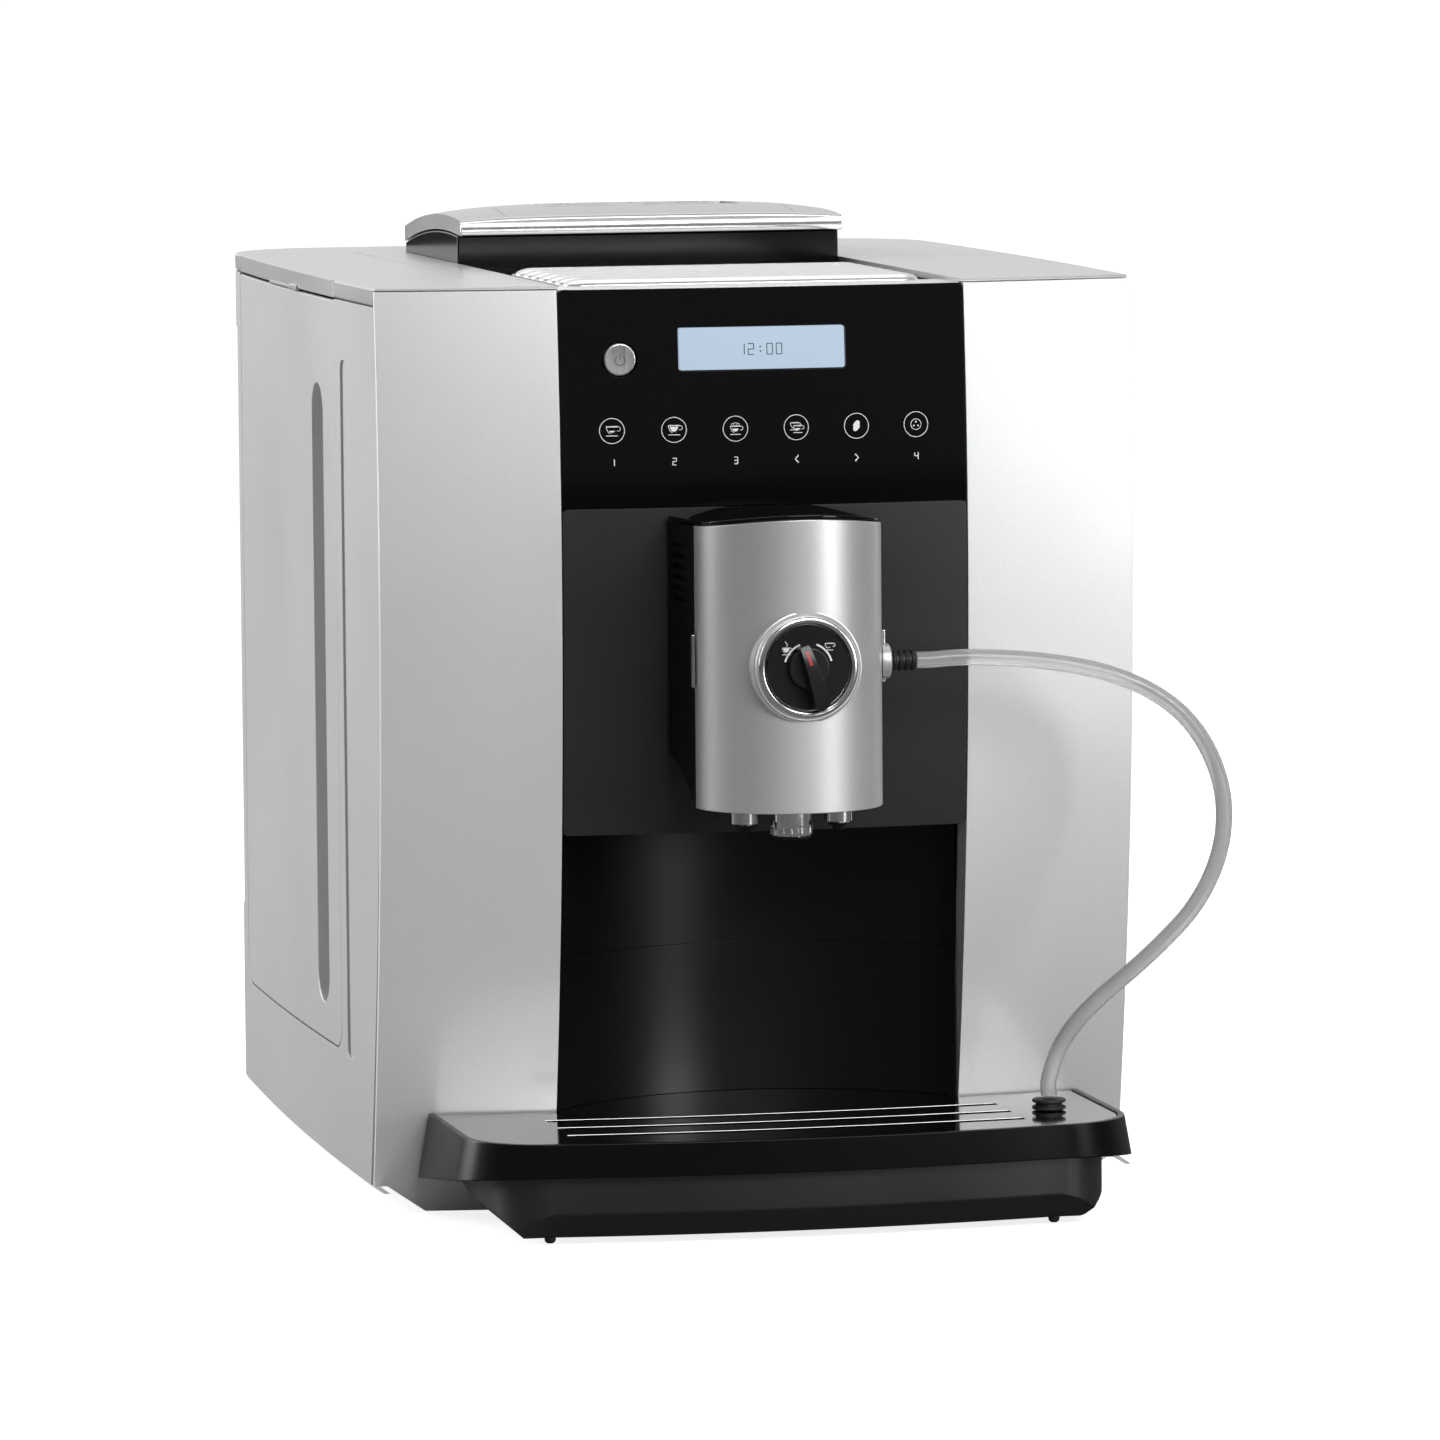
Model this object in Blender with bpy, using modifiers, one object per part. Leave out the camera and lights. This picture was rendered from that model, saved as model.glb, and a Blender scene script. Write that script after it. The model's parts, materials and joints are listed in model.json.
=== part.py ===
"""Automatic coffee machine with a bean hopper, a side water tank, a height-adjustable spout and a drip tray.

Metres, +Z up, the front faces -Y and +X is to the right. The pieces are drawn from a datum plane
through the front's outer top corners, and one empty carries them all to the origin, which lies on
the surface that the machine stands on, under the centre of its box without the milk hose.
"""

import math

import bmesh
import bpy
from mathutils import Matrix, Vector

# Body
BODY_HALF_WIDTH = 0.151
SIDE_BULGE = 0.0025
SIDE_WIDEST = 0.145
BODY_DEPTH = 0.362
BODY_TOP = 0.365
SIDE_BOTTOM = 0.0113
REAR_LIFT = 0.0055
REAR_CORNER_RADIUS = 0.042
SHELL = 0.0025
SEAM = 0.0004
RUNNING_GAP = 0.0006
OVERRUN = 0.012

# Front, a surface bowed in plan and upright
FRONT_BOW = 0.0154
FRONT_RISE = 0.0057753
FRONT_CREST_SHARE = 0.6931507
FRONT_CREST = BODY_TOP * FRONT_CREST_SHARE
FRONT_THICKNESS = 0.003
CENTRE_HALF_WIDTH = 0.0812
COLUMN_RETURN = 0.014
COLUMN_FOOT = 0.001
COLUMN_TOE_WIDTH = 0.005
COLUMN_TOE_SLOPE = 0.015
TOP_LIP = 0.0011
DISPLAY_BOTTOM = 0.2786
PANEL_BOTTOM = 0.1508
PANEL_CORNER = 0.002

# Display
LCD_CENTRE_X = -0.001
LCD_CENTRE_Z = BODY_TOP - 0.0251
LCD_HALF_WIDTH = 0.033
LCD_HALF_HEIGHT = 0.0082
LCD_RECESS = 0.0003
BUTTON_X = -0.0574
BUTTON_Z = BODY_TOP - 0.0287
BUTTON_RADIUS = 0.0064
BUTTON_TRAVEL = 0.0015
BUTTON_PROUD = 0.0008
BUTTON_STEM_RADIUS = 0.0025
SWITCH_HEIGHT = 0.0010
FRAME_THICKNESS = 0.003
FRAME_WINDOW_MARGIN = 0.004
BOARD_THICKNESS = 0.0016
BOARD_HALF_WIDTH = 0.069
BOARD_LOW = 0.286
BOARD_HIGH = 0.354
BOARD_CHIP = 0.014
SWITCH_HALF_WIDTH = 0.0030

# Top
TOP_SKIRT = 0.0072
TOP_EDGE_RADIUS = 0.0012
TANK_FRONT = 0.0765
TANK_REAR = BODY_DEPTH - 0.052
TANK_INNER_X = 0.1003
TANK_PANEL_BOTTOM = 0.058
TANK_PANEL_CORNER = 0.012
TANK_SHADOW = 0.0010
LID_TAB_OFFSET = 0.0765
LID_TAB_LENGTH = 0.0686
LID_TAB_PROUD = 0.0005
LID_TAB_HEIGHT = 0.0012
LID_TAB_DROP = 0.0005
LID_NUB_LENGTH = 0.0160
LID_NUB_PROUD = 0.0012
LID_NUB_HEIGHT = 0.0021
DECK_DROP = 0.0033
HOPPER_HALF_WIDTH = 0.0800
DECK_HALF_WIDTH = HOPPER_HALF_WIDTH
HOPPER_REAR = BODY_DEPTH - 0.055
HOPPER_DEPTH = 0.113
HOPPER_FRONT = HOPPER_REAR - HOPPER_DEPTH

# Cup rail plate
RAIL_HALF_WIDTH = 0.0715
RAIL_FRONT = 0.016
RAIL_REAR = HOPPER_FRONT - 0.069
RAIL_RIBS = 7
RAIL_BASE = 0.0014
RAIL_RIB_HEIGHT = 0.0030

# Bean hopper and lid
COLLAR_HEIGHT = 0.012
COLLAR_TOP = BODY_TOP + COLLAR_HEIGHT
COLLAR_CREST_Y = HOPPER_FRONT + 0.028
COLLAR_ARCH_RADIUS = 0.461
HOPPER_WALL = 0.002
HOPPER_STRAIGHT = 0.037
HOPPER_STRAIGHT_BOTTOM = COLLAR_TOP - HOPPER_STRAIGHT
HOPPER_THROAT_Z = 0.291
THROAT_HALF_WIDTH = 0.018
LID_OVERHANG = 0.0065
LID_REAR_OVERHANG = 0.0015
LID_SIDE_HEIGHT = 0.0062
LID_NOSE = 0.0012
LID_CREST_Y = HOPPER_FRONT + 0.028
LID_CREST_RISE = 0.0104
LID_CREST_Z = COLLAR_TOP + LID_CREST_RISE
LID_FRONT_RADIUS = 0.175
LID_BACK_RADIUS = 0.470
LID_WALL = 0.002
LID_OPEN = 80.0
BAND_HEIGHT = 0.0052
BAND_THICKNESS = 0.0011
LOUVRES = 4
LOUVRE_LENGTH = 0.031
LOUVRE_WIDTH = 0.0028
LOUVRE_PITCH = 0.0062
LOUVRE_DEPTH = 0.0009
LOUVRE_SPREAD = 0.0205
LOUVRE_CENTRE_Y = LID_CREST_Y + 0.002

# Side covers
GROOVE_FRONT = 0.052
GROOVE_WIDTH = 0.014
GROOVE_LOW = 0.057
GROOVE_HIGH = BODY_TOP - 0.031
GROOVE_DEPTH = 0.0010
DOOR_LOW = 0.045
DOOR_HIGH = BODY_TOP - 0.019
DOOR_CORNER = 0.010
DOOR_OPEN = 95.0
VENT_ROWS = 7
VENT_COLUMNS = 2
VENT_LENGTH = 0.050
VENT_WIDTH = 0.004
VENT_PITCH = 0.011
VENT_LOW = 0.255
VENT_SPREAD = 0.034
INLET_X = 0.060
INLET_Z = 0.052
INLET_HALF_WIDTH = 0.0137
INLET_HALF_HEIGHT = 0.0097
INLET_FLANGE = 0.0028
INLET_DEPTH = 0.020
INLET_WELL = 0.014
INLET_PIN_GAP = 0.007
INLET_PIN_LENGTH = 0.011
INLET_PIN_WIDTH = 0.0040
INLET_PIN_THICKNESS = 0.0020

# Water tank
GRIP_CENTRE_Y = TANK_FRONT + 0.038
GRIP_HALF_WIDTH = 0.0119
GRIP_LOW = 0.0735
GRIP_HIGH = BODY_TOP - 0.043
GRIP_DEPTH = 0.010
GRIP_WALL = 0.002
TANK_WALL = 0.0022
TANK_SIDE_GAP = 0.001
TANK_RIM_DROP = 0.006
TANK_TRAVEL = 0.120
BAY_WALL = 0.0025
BAY_FLOOR = 0.0590

# Inside
CHASSIS_WALL = 0.0025
CHASSIS_INNER_X = 0.0845
CHASSIS_FRONT = 0.030
CHASSIS_REAR = BODY_DEPTH - 0.062
CHASSIS_ROOF = PANEL_BOTTOM + 0.0037
BASE_INSET = 0.016
BASE_FRONT = 0.045
BASE_BOTTOM = 0.0075
FOOT_RADIUS = 0.009
FOOT_INSET = 0.040
FOOT_REAR_STEP = 0.010
FOOT_FRONT_Y = 0.075
FOOT_REAR_Y = BODY_DEPTH - 0.044
GRINDER_Y = (HOPPER_FRONT + HOPPER_REAR) / 2
GRINDER_MOTOR_RADIUS = 0.024
GRINDER_MOTOR_TOP = 0.232
GRINDER_BURR_RADIUS = 0.034
BREW_LEFT = 0.004
BREW_RIGHT = 0.084
BREW_REAR = GRINDER_Y - GRINDER_BURR_RADIUS - 0.005
BREW_DEPTH = 0.094
BREW_FRONT = BREW_REAR - BREW_DEPTH
BREW_TOP = 0.262
BREW_CYLINDER_RADIUS = 0.026
BREW_CYLINDER_HEIGHT = 0.024
BOILER_LEFT = 0.082
BOILER_RIGHT = 0.012
BOILER_REAR = GRINDER_Y - GRINDER_BURR_RADIUS - 0.020
BOILER_FRONT = BOILER_REAR - 0.078
BOILER_HEIGHT = 0.056
BOILER_STUB_RADIUS = 0.006
BOILER_STUB = 0.012
PUMP_X = -0.040
PUMP_Y = BODY_DEPTH - 0.032
PUMP_RADIUS = 0.019
PUMP_HALF_LENGTH = 0.034
PUMP_NECK_RADIUS = 0.008
PUMP_NECK = 0.018
PUMP_SADDLE = 0.008

# Recess behind the cup
RECESS_START = 0.0045
RECESS_DEPTH = 0.0425
RECESS_WALL = 0.0025
DRAWER_TOP = 0.100

# Drip tray
TRAY_HALF_WIDTH = 0.1313
TRAY_DRAFT = 0.0024
TRAY_FRONT = -0.090
TRAY_FRONT_BOW = 0.009
TRAY_CORNER = 0.032
TRAY_TOP = 0.0411
TRAY_RIM = 0.0026
TRAY_COLUMN_GAP = 0.0015
TRAY_LOW_FRONT = 0.0279
TRAY_LOW_REAR = 0.0158
TRAY_TRAVEL = 0.180
PLATE_TOP = TRAY_TOP - 0.0006
PLATE_THICKNESS = 0.0010
SLOT_COUNT = 3
SLOT_HALF_LENGTH = 0.0905
SLOT_WIDTH = 0.0115
SLOT_PITCH = 0.0215
SLOT_FIRST_Y = -0.0662
TUB_HALF_WIDTH = TRAY_HALF_WIDTH - 0.0103
TUB_FRONT_STEP = 0.0045
TUB_CORNER = 0.022
TUB_WALL = 0.0022
TUB_BAND_LOW = 0.0127
TUB_BOTTOM = 0.0028
TUB_CHAMFER = 0.0105
TUB_REAR_BOTTOM = 0.0165
TUB_NUB_X = TUB_HALF_WIDTH - 0.021
TUB_NUB_RADIUS = 0.0022
TUB_NUB_GAP = 0.0005
DRAWER_HALF_WIDTH = 0.066
DRAWER_DEPTH = 0.135
DRAWER_FLOOR = 0.0215
DRAWER_WALL = 0.002

# Spout
SPOUT_Y = -0.052
SPOUT_HALF_WIDTH = 0.0367
SPOUT_REACH = 0.0335
SPOUT_WALL = 0.002
SPOUT_LOW = 0.1645
SPOUT_TOP = 0.274
SPOUT_ARCH = 0.0036
SPOUT_TRAVEL = 0.045
SPOUT_CORE_LIFT = 0.001
CAP_THICKNESS = 0.0014
CARRIAGE_BACK = -0.0225
CARRIAGE_BACK_HALF_WIDTH = 0.0403
CARRIAGE_HEEL = 0.012
CARRIAGE_RIBS = 6
CARRIAGE_RIB_PITCH = 0.0042
CARRIAGE_RIB_WIDTH = 0.0018
CARRIAGE_RIB_DEPTH = 0.0007
CARRIAGE_RIB_LOW = 0.2435
GUIDE_HALF_WIDTH = 0.012
GUIDE_REACH = 0.0042
GUIDE_FLANGE = 0.005
GUIDE_FLANGE_DEPTH = 0.004
GUIDE_LOW = 0.170
GUIDE_HIGH = 0.2735
CLIP_LOW = 0.2115
CLIP_HEIGHT = 0.0205
CLIP_WIDTH = 0.0032
CLIP_THICKNESS = 0.0013
KNOB_Z = 0.221
BEZEL_FOOT_RADIUS = 0.0215
BEZEL_RADIUS = 0.0196
BEZEL_BORE = 0.0168
BEZEL_FACE = -0.0885
BEZEL_LIP = 0.0016
DIAL_RADIUS = 0.0163
DIAL_SINK = 0.0008
DIAL_THICKNESS = 0.0012
HUB_RADIUS = 0.0079
HUB_HEIGHT = 0.0022
GRIP_BAR_HEIGHT = 0.0078
GRIP_BAR_UP = 0.0092
GRIP_BAR_DOWN = 0.0160
GRIP_BAR_TOP_HALF = 0.0025
GRIP_BAR_LOW_HALF = 0.0038
GRIP_BAR_LEAN = 17.6
SHAFT_RADIUS = 0.0030
SHAFT_LENGTH = 0.0075
KNOB_LEFT = 60.0
KNOB_RIGHT = -95.0
COFFEE_NOZZLE_X = 0.0187
COFFEE_NOZZLE_RADIUS = 0.0055
COFFEE_NOZZLE_DROP = 0.0095
COFFEE_TIP_RADIUS = 0.0040
MILK_NOZZLE_RADIUS = 0.0082
MILK_NOZZLE_DROP = 0.0120
NOZZLE_Y = -0.057
NOZZLE_SEAT = 0.0003

# Milk connector and hose
CONNECTOR_Y = -0.0535
CONNECTOR_Z = 0.2197
CONNECTOR_ROOT_X = 0.0255
CONNECTOR_ROOT_RADIUS = 0.0030
CONNECTOR_FACE_X = 0.0400
CONNECTOR_RADIUS = 0.0069
SLEEVE_LENGTH = 0.0100
SLEEVE_RADIUS = 0.0033
SLEEVE_RIB_RADIUS = 0.0040
SLEEVE_RIBS = 4
HOSE_RADIUS = 0.0032
HOSE_STEP_SHARE = 2.2
HOSE_FOOT_X = 0.1057
HOSE_FOOT_Y = -0.0440
HOSE_FOOT_RADIUS = 0.0067
HOSE_FOOT_WAIST = 0.0052
HOSE_FOOT_HEIGHT = 0.0042
TOUCH_GAP = 0.0004

# Hinge axes and joint places that several pieces share
COLUMN_TOP = BODY_TOP - TOP_LIP - SEAM
SKIRT_LOW = BODY_TOP - TOP_SKIRT
COVER_TOP = SKIRT_LOW - SEAM
PANEL_HALF_WIDTH = CENTRE_HALF_WIDTH - SEAM
BASE_TOP = SIDE_BOTTOM - SEAM
DECK_TOP = BODY_TOP - DECK_DROP
DECK_LOW = DECK_TOP - SHELL
FRAME_TOP = DECK_LOW - SEAM
RAIL_LOW = DECK_TOP + TOUCH_GAP
TRAY_DEEPEST = TRAY_FRONT - TRAY_FRONT_BOW
DATUM_Y = -(BODY_DEPTH + TRAY_DEEPEST) / 2

COLOURS = {
    "silver": ((0.62, 0.63, 0.63, 1.0), 0.34, 0.75),
    "grey_cover": ((0.47, 0.48, 0.48, 1.0), 0.42, 0.35),
    "gloss_black": ((0.008, 0.008, 0.009, 1.0), 0.10, 0.0),
    "black_plastic": ((0.014, 0.014, 0.015, 1.0), 0.38, 0.0),
    "charcoal": ((0.035, 0.036, 0.038, 1.0), 0.34, 0.0),
    "chrome": ((0.80, 0.80, 0.80, 1.0), 0.08, 1.0),
    "mirror_steel": ((0.66, 0.66, 0.65, 1.0), 0.10, 1.0),
    "display_glass": ((0.55, 0.68, 0.80, 1.0), 0.20, 0.0),
    "smoked_plastic": ((0.20, 0.21, 0.22, 1.0), 0.20, 0.0),
    "clear_hose": ((0.62, 0.64, 0.63, 1.0), 0.25, 0.0),
    "rubber": ((0.012, 0.012, 0.012, 1.0), 0.70, 0.0),
    "board_green": ((0.03, 0.16, 0.07, 1.0), 0.50, 0.0),
    "engine_grey": ((0.22, 0.23, 0.24, 1.0), 0.45, 0.2),
    "brass": ((0.60, 0.45, 0.22, 1.0), 0.30, 1.0),
}


# Scene helpers
def clear_scene():
    """Removes what the startup scene holds."""
    for obj in list(bpy.data.objects):
        bpy.data.objects.remove(obj, do_unlink=True)


def collection(name):
    found = bpy.data.collections.new(name)
    bpy.context.scene.collection.children.link(found)
    return found


def material(name):
    """The Principled material of this name, made the first time that it is asked for."""
    found = bpy.data.materials.get(name)
    if found:
        return found
    colour, roughness, metallic = COLOURS[name]
    found = bpy.data.materials.new(name)
    found.use_nodes = True
    shader = found.node_tree.nodes["Principled BSDF"]
    shader.inputs["Base Color"].default_value = colour
    shader.inputs["Roughness"].default_value = roughness
    shader.inputs["Metallic"].default_value = metallic
    return found


def joint_empty(name, place, parent=None):
    """An empty on a joint's axis, which carries the pieces of one body."""
    empty = bpy.data.objects.new(name, None)
    PARTS.objects.link(empty)
    empty.parent = parent
    empty.location = place if parent is None else Vector(place) - Vector(parent["place"])
    empty["place"] = tuple(place)
    return empty


def piece(name, mesh, finish, body):
    """A named part on its body: the mesh is drawn from the datum, and the body's empty carries it."""
    obj = bpy.data.objects.new(name, mesh)
    PARTS.objects.link(obj)
    mesh.materials.clear()
    mesh.materials.append(material(finish))
    obj.parent = body
    obj.location = -Vector(body["place"])
    return obj


def cutter(name, mesh, body):
    """A helper solid for Booleans, kept out of the parts."""
    obj = bpy.data.objects.new(name, mesh)
    CUTTERS.objects.link(obj)
    obj.parent = body
    obj.location = -Vector(body["place"])
    obj.hide_render = True
    obj.display_type = "WIRE"
    return obj


def combine(obj, other, operation):
    """One exact Boolean with a helper solid."""
    modifier = obj.modifiers.new(other.name, "BOOLEAN")
    modifier.operation = operation
    modifier.object = other
    return modifier


def cut(obj, mesh, label):
    return combine(obj, cutter(obj.name + "_" + label, mesh, obj.parent), "DIFFERENCE")


def keep(obj, mesh, label):
    return combine(obj, cutter(obj.name + "_" + label, mesh, obj.parent), "INTERSECT")


def join(obj, mesh, label):
    return combine(obj, cutter(obj.name + "_" + label, mesh, obj.parent), "UNION")


def round_edges(obj, width, segments=1, angle=50.0):
    modifier = obj.modifiers.new("rounded", "BEVEL")
    modifier.width = width
    modifier.segments = segments
    modifier.limit_method = "ANGLE"
    modifier.angle_limit = math.radians(angle)
    modifier.use_clamp_overlap = True
    return modifier


# Mesh helpers
def tidy(work, name):
    """Welds a bmesh, turns its faces outwards and makes it a mesh."""
    bmesh.ops.recalc_face_normals(work, faces=work.faces)
    mesh = bpy.data.meshes.new(name)
    work.to_mesh(mesh)
    work.free()
    return mesh


WELD_DISTANCE = 1e-6


def prism(loops, low, high, axis="Z"):
    """An outline, with any holes after it, pushed along an axis.

    The outline's two numbers are (x, y) for Z, (x, z) for Y and (y, z) for X.
    """
    curve = bpy.data.curves.new("outline", "CURVE")
    curve.dimensions = "2D"
    curve.fill_mode = "BOTH"
    curve.extrude = (high - low) / 2
    for loop in loops:
        spline = curve.splines.new("POLY")
        spline.points.add(len(loop) - 1)
        for point, (first, second) in zip(spline.points, loop):
            point.co = (first, second, 0, 1)
        spline.use_cyclic_u = True
    guide = bpy.data.objects.new("outline", curve)
    bpy.context.scene.collection.objects.link(guide)
    bpy.context.view_layer.update()
    mesh = bpy.data.meshes.new_from_object(guide.evaluated_get(bpy.context.evaluated_depsgraph_get()))
    bpy.data.objects.remove(guide, do_unlink=True)
    bpy.data.curves.remove(curve)
    work = bmesh.new()
    work.from_mesh(mesh)
    bpy.data.meshes.remove(mesh)
    bmesh.ops.remove_doubles(work, verts=work.verts, dist=WELD_DISTANCE)
    bmesh.ops.dissolve_limit(work, angle_limit=math.radians(0.5), verts=work.verts, edges=work.edges)
    columns = {
        "Z": ((1, 0, 0), (0, 1, 0), (0, 0, 1)),
        "Y": ((1, 0, 0), (0, 0, 1), (0, 1, 0)),
        "X": ((0, 0, 1), (1, 0, 0), (0, 1, 0)),
    }[axis]
    turn = Matrix(columns).to_4x4()
    along = {"Z": Vector((0, 0, 1)), "Y": Vector((0, 1, 0)), "X": Vector((1, 0, 0))}[axis]
    bmesh.ops.transform(work, matrix=Matrix.Translation(along * (low + high) / 2) @ turn, verts=work.verts)
    return tidy(work, "prism")


def changed(mesh, action):
    """Runs an action on a mesh as a bmesh and gives the mesh back."""
    work = bmesh.new()
    work.from_mesh(mesh)
    action(work)
    work.to_mesh(mesh)
    work.free()
    return mesh


def sliced(mesh, axis, places):
    """Adds cuts across a mesh at these places along an axis, so that it can be bent."""
    normal = {"X": (1, 0, 0), "Y": (0, 1, 0), "Z": (0, 0, 1)}[axis]

    def slice_all(work):
        for place in places:
            everything = list(work.verts) + list(work.edges) + list(work.faces)
            bmesh.ops.bisect_plane(work, geom=everything, plane_co=Vector(normal) * place, plane_no=normal)

    return changed(mesh, slice_all)


def moved(mesh, shift):
    """Moves each point by what shift(point) gives, then triangulates what may no longer be flat."""

    def move_all(work):
        for vert in work.verts:
            vert.co += Vector(shift(vert.co))
        bmesh.ops.triangulate(work, faces=work.faces)

    return changed(mesh, move_all)


def box(low, high):
    """A box between two corners."""
    work = bmesh.new()
    size = Vector(high) - Vector(low)
    place = (Vector(high) + Vector(low)) / 2
    matrix = Matrix.Translation(place) @ Matrix.Diagonal((*size, 1))
    bmesh.ops.create_cube(work, size=1, matrix=matrix)
    return tidy(work, "box")


def boxes(corners):
    """Several separate boxes in one helper mesh."""
    work = bmesh.new()
    for low, high in corners:
        size = Vector(high) - Vector(low)
        place = (Vector(high) + Vector(low)) / 2
        bmesh.ops.create_cube(work, size=1, matrix=Matrix.Translation(place) @ Matrix.Diagonal((*size, 1)))
    return tidy(work, "boxes")


def funnel(low_corners, low_z, high_corners, high_z):
    """A box whose lower and upper rectangles differ: each is ((x, y), (x, y))."""
    work = bmesh.new()
    bmesh.ops.create_cube(work, size=2)
    for vert in work.verts:
        (left, front), (right, rear) = high_corners if vert.co.z > 0 else low_corners
        vert.co.x = right if vert.co.x > 0 else left
        vert.co.y = rear if vert.co.y > 0 else front
        vert.co.z = high_z if vert.co.z > 0 else low_z
    return tidy(work, "funnel")


def turned(profile, place, axis="Z", segments=24):
    """A profile of (radius, distance) turned about an axis through a place."""
    work = bmesh.new()
    along = {"Z": Vector((0, 0, 1)), "Y": Vector((0, 1, 0)), "X": Vector((1, 0, 0))}[axis]
    side = {"Z": Vector((1, 0, 0)), "Y": Vector((1, 0, 0)), "X": Vector((0, 1, 0))}[axis]
    verts = [work.verts.new(Vector(place) + side * radius + along * distance) for radius, distance in profile]
    closed = profile[0][0] > 0 and profile[-1][0] > 0
    pairs = list(zip(verts, verts[1:] + verts[:1])) if closed else list(zip(verts, verts[1:]))
    edges = [work.edges.new(pair) for pair in pairs]
    bmesh.ops.spin(
        work, geom=verts + edges, cent=place, axis=along, angle=math.tau, steps=segments, use_merge=True
    )
    bmesh.ops.remove_doubles(work, verts=work.verts, dist=WELD_DISTANCE)
    return tidy(work, "turned")


def rod(radius, low, high, place, axis="Z", segments=24):
    """A plain round bar from low to high along its axis."""
    return turned([(0, low), (radius, low), (radius, high), (0, high)], place, axis, segments)


# Outlines
def steps(start, end, count):
    return [start + (end - start) * i / count for i in range(count + 1)]


def side_x(y):
    """Half the width of the body at a depth: it swells behind the front and draws in to the rear."""
    return BODY_HALF_WIDTH + SIDE_BULGE * (1 - ((y - SIDE_WIDEST) / SIDE_WIDEST) ** 2)


def front_plan(x):
    """How far the front bows forward at a place across the body."""
    return FRONT_BOW * (1 - (x / BODY_HALF_WIDTH) ** 2)


def front_rise(z):
    """How far the upright arc of the front stands before the datum at a height."""
    return FRONT_RISE * (1 - ((z - FRONT_CREST) / (BODY_TOP - FRONT_CREST)) ** 2)


def front_y(x, z):
    return -front_plan(x) - front_rise(z)


def rear_corner(inset, count=6):
    """The right rear corner's arc, from the side to the rear."""
    centre_y = BODY_DEPTH - REAR_CORNER_RADIUS
    centre_x = side_x(centre_y) - REAR_CORNER_RADIUS
    radius = REAR_CORNER_RADIUS - inset
    turns = steps(0, math.pi / 2, count)
    return [(centre_x + radius * math.cos(turn), centre_y + radius * math.sin(turn)) for turn in turns]


def body_plan(inset, front_inset=None):
    """The body's outline in plan, drawn in by the inset, or by another one at the front."""
    front = inset if front_inset is None else front_inset
    corner_y = BODY_DEPTH - REAR_CORNER_RADIUS
    side = [(side_x(y) - inset, y) for y in steps(front, corner_y, 10)[:-1]]
    right = side + rear_corner(inset)
    left = [(-x, y) for x, y in reversed(right)]
    width = side_x(front) - inset
    bow = [(x, front - front_plan(x)) for x in steps(-width, width, 16)[1:-1]]
    return right + left + bow


def side_strip(side, start, end, outer_inset, thickness, count=8):
    """A strip of the body's side in plan, from one depth to another."""
    outer = [(side * (side_x(y) - outer_inset), y) for y in steps(start, end, count)]
    inner = [(side * (side_x(y) - outer_inset - thickness), y) for y in steps(end, start, count)]
    return outer + inner


def rounded(low_a, low_b, high_a, high_b, radius, count=3, corners=(True, True, True, True)):
    """A rectangle with round corners, from the lower left one round anticlockwise."""
    centres = [
        (low_a + radius, low_b + radius, math.pi),
        (high_a - radius, low_b + radius, 1.5 * math.pi),
        (high_a - radius, high_b - radius, 0),
        (low_a + radius, high_b - radius, 0.5 * math.pi),
    ]
    sharp = [(low_a, low_b), (high_a, low_b), (high_a, high_b), (low_a, high_b)]
    outline = []
    for (a, b, start), point, is_round in zip(centres, sharp, corners):
        if not is_round:
            outline.append(point)
            continue
        for turn in steps(start, start + math.pi / 2, count):
            outline.append((a + radius * math.cos(turn), b + radius * math.sin(turn)))
    return outline


def circle(centre_a, centre_b, radius, count=20):
    turns = [math.tau * i / count for i in range(count)]
    return [(centre_a + radius * math.cos(turn), centre_b + radius * math.sin(turn)) for turn in turns]


def spout_arc(inset, count=16):
    """The spout's front half in plan, from its left side round the front to its right side."""
    width, reach = SPOUT_HALF_WIDTH - inset, SPOUT_REACH - inset
    turns = steps(math.pi, math.tau, count)
    return [(width * math.cos(turn), SPOUT_Y + reach * math.sin(turn)) for turn in turns]


def recess_y(x, offset=0):
    """The concave wall behind the cup: an arc between the columns, moved back by the offset."""
    half = PANEL_HALF_WIDTH
    radius = (half**2 + RECESS_DEPTH**2) / (2 * RECESS_DEPTH)
    return RECESS_START + RECESS_DEPTH - radius + math.sqrt(radius**2 - x**2) + offset


def recess_strip(front_offset, rear_offset, half_width, count=14):
    front = [(x, recess_y(x, front_offset)) for x in steps(-half_width, half_width, count)]
    rear = [(x, recess_y(x, rear_offset)) for x in steps(half_width, -half_width, count)]
    return front + rear


# Front pieces
def to_front(mesh, both=True):
    """Bends a flat piece drawn at the datum onto the front surface."""
    if both:
        return moved(mesh, lambda co: (0, front_y(co.x, co.z), 0))
    return moved(mesh, lambda co: (0, -front_rise(co.z), 0))


def front_slab(loops, front, thickness, columns=8, rows=5):
    """A panel of the front: an outline in x and z, set back from the front surface."""
    mesh = prism(loops, front, front + thickness, "Y")
    lows = [min(point[i] for point in loops[0]) for i in (0, 1)]
    highs = [max(point[i] for point in loops[0]) for i in (0, 1)]
    sliced(mesh, "X", steps(lows[0], highs[0], columns)[1:-1])
    sliced(mesh, "Z", steps(lows[1], highs[1], rows)[1:-1])
    return to_front(mesh)


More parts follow.
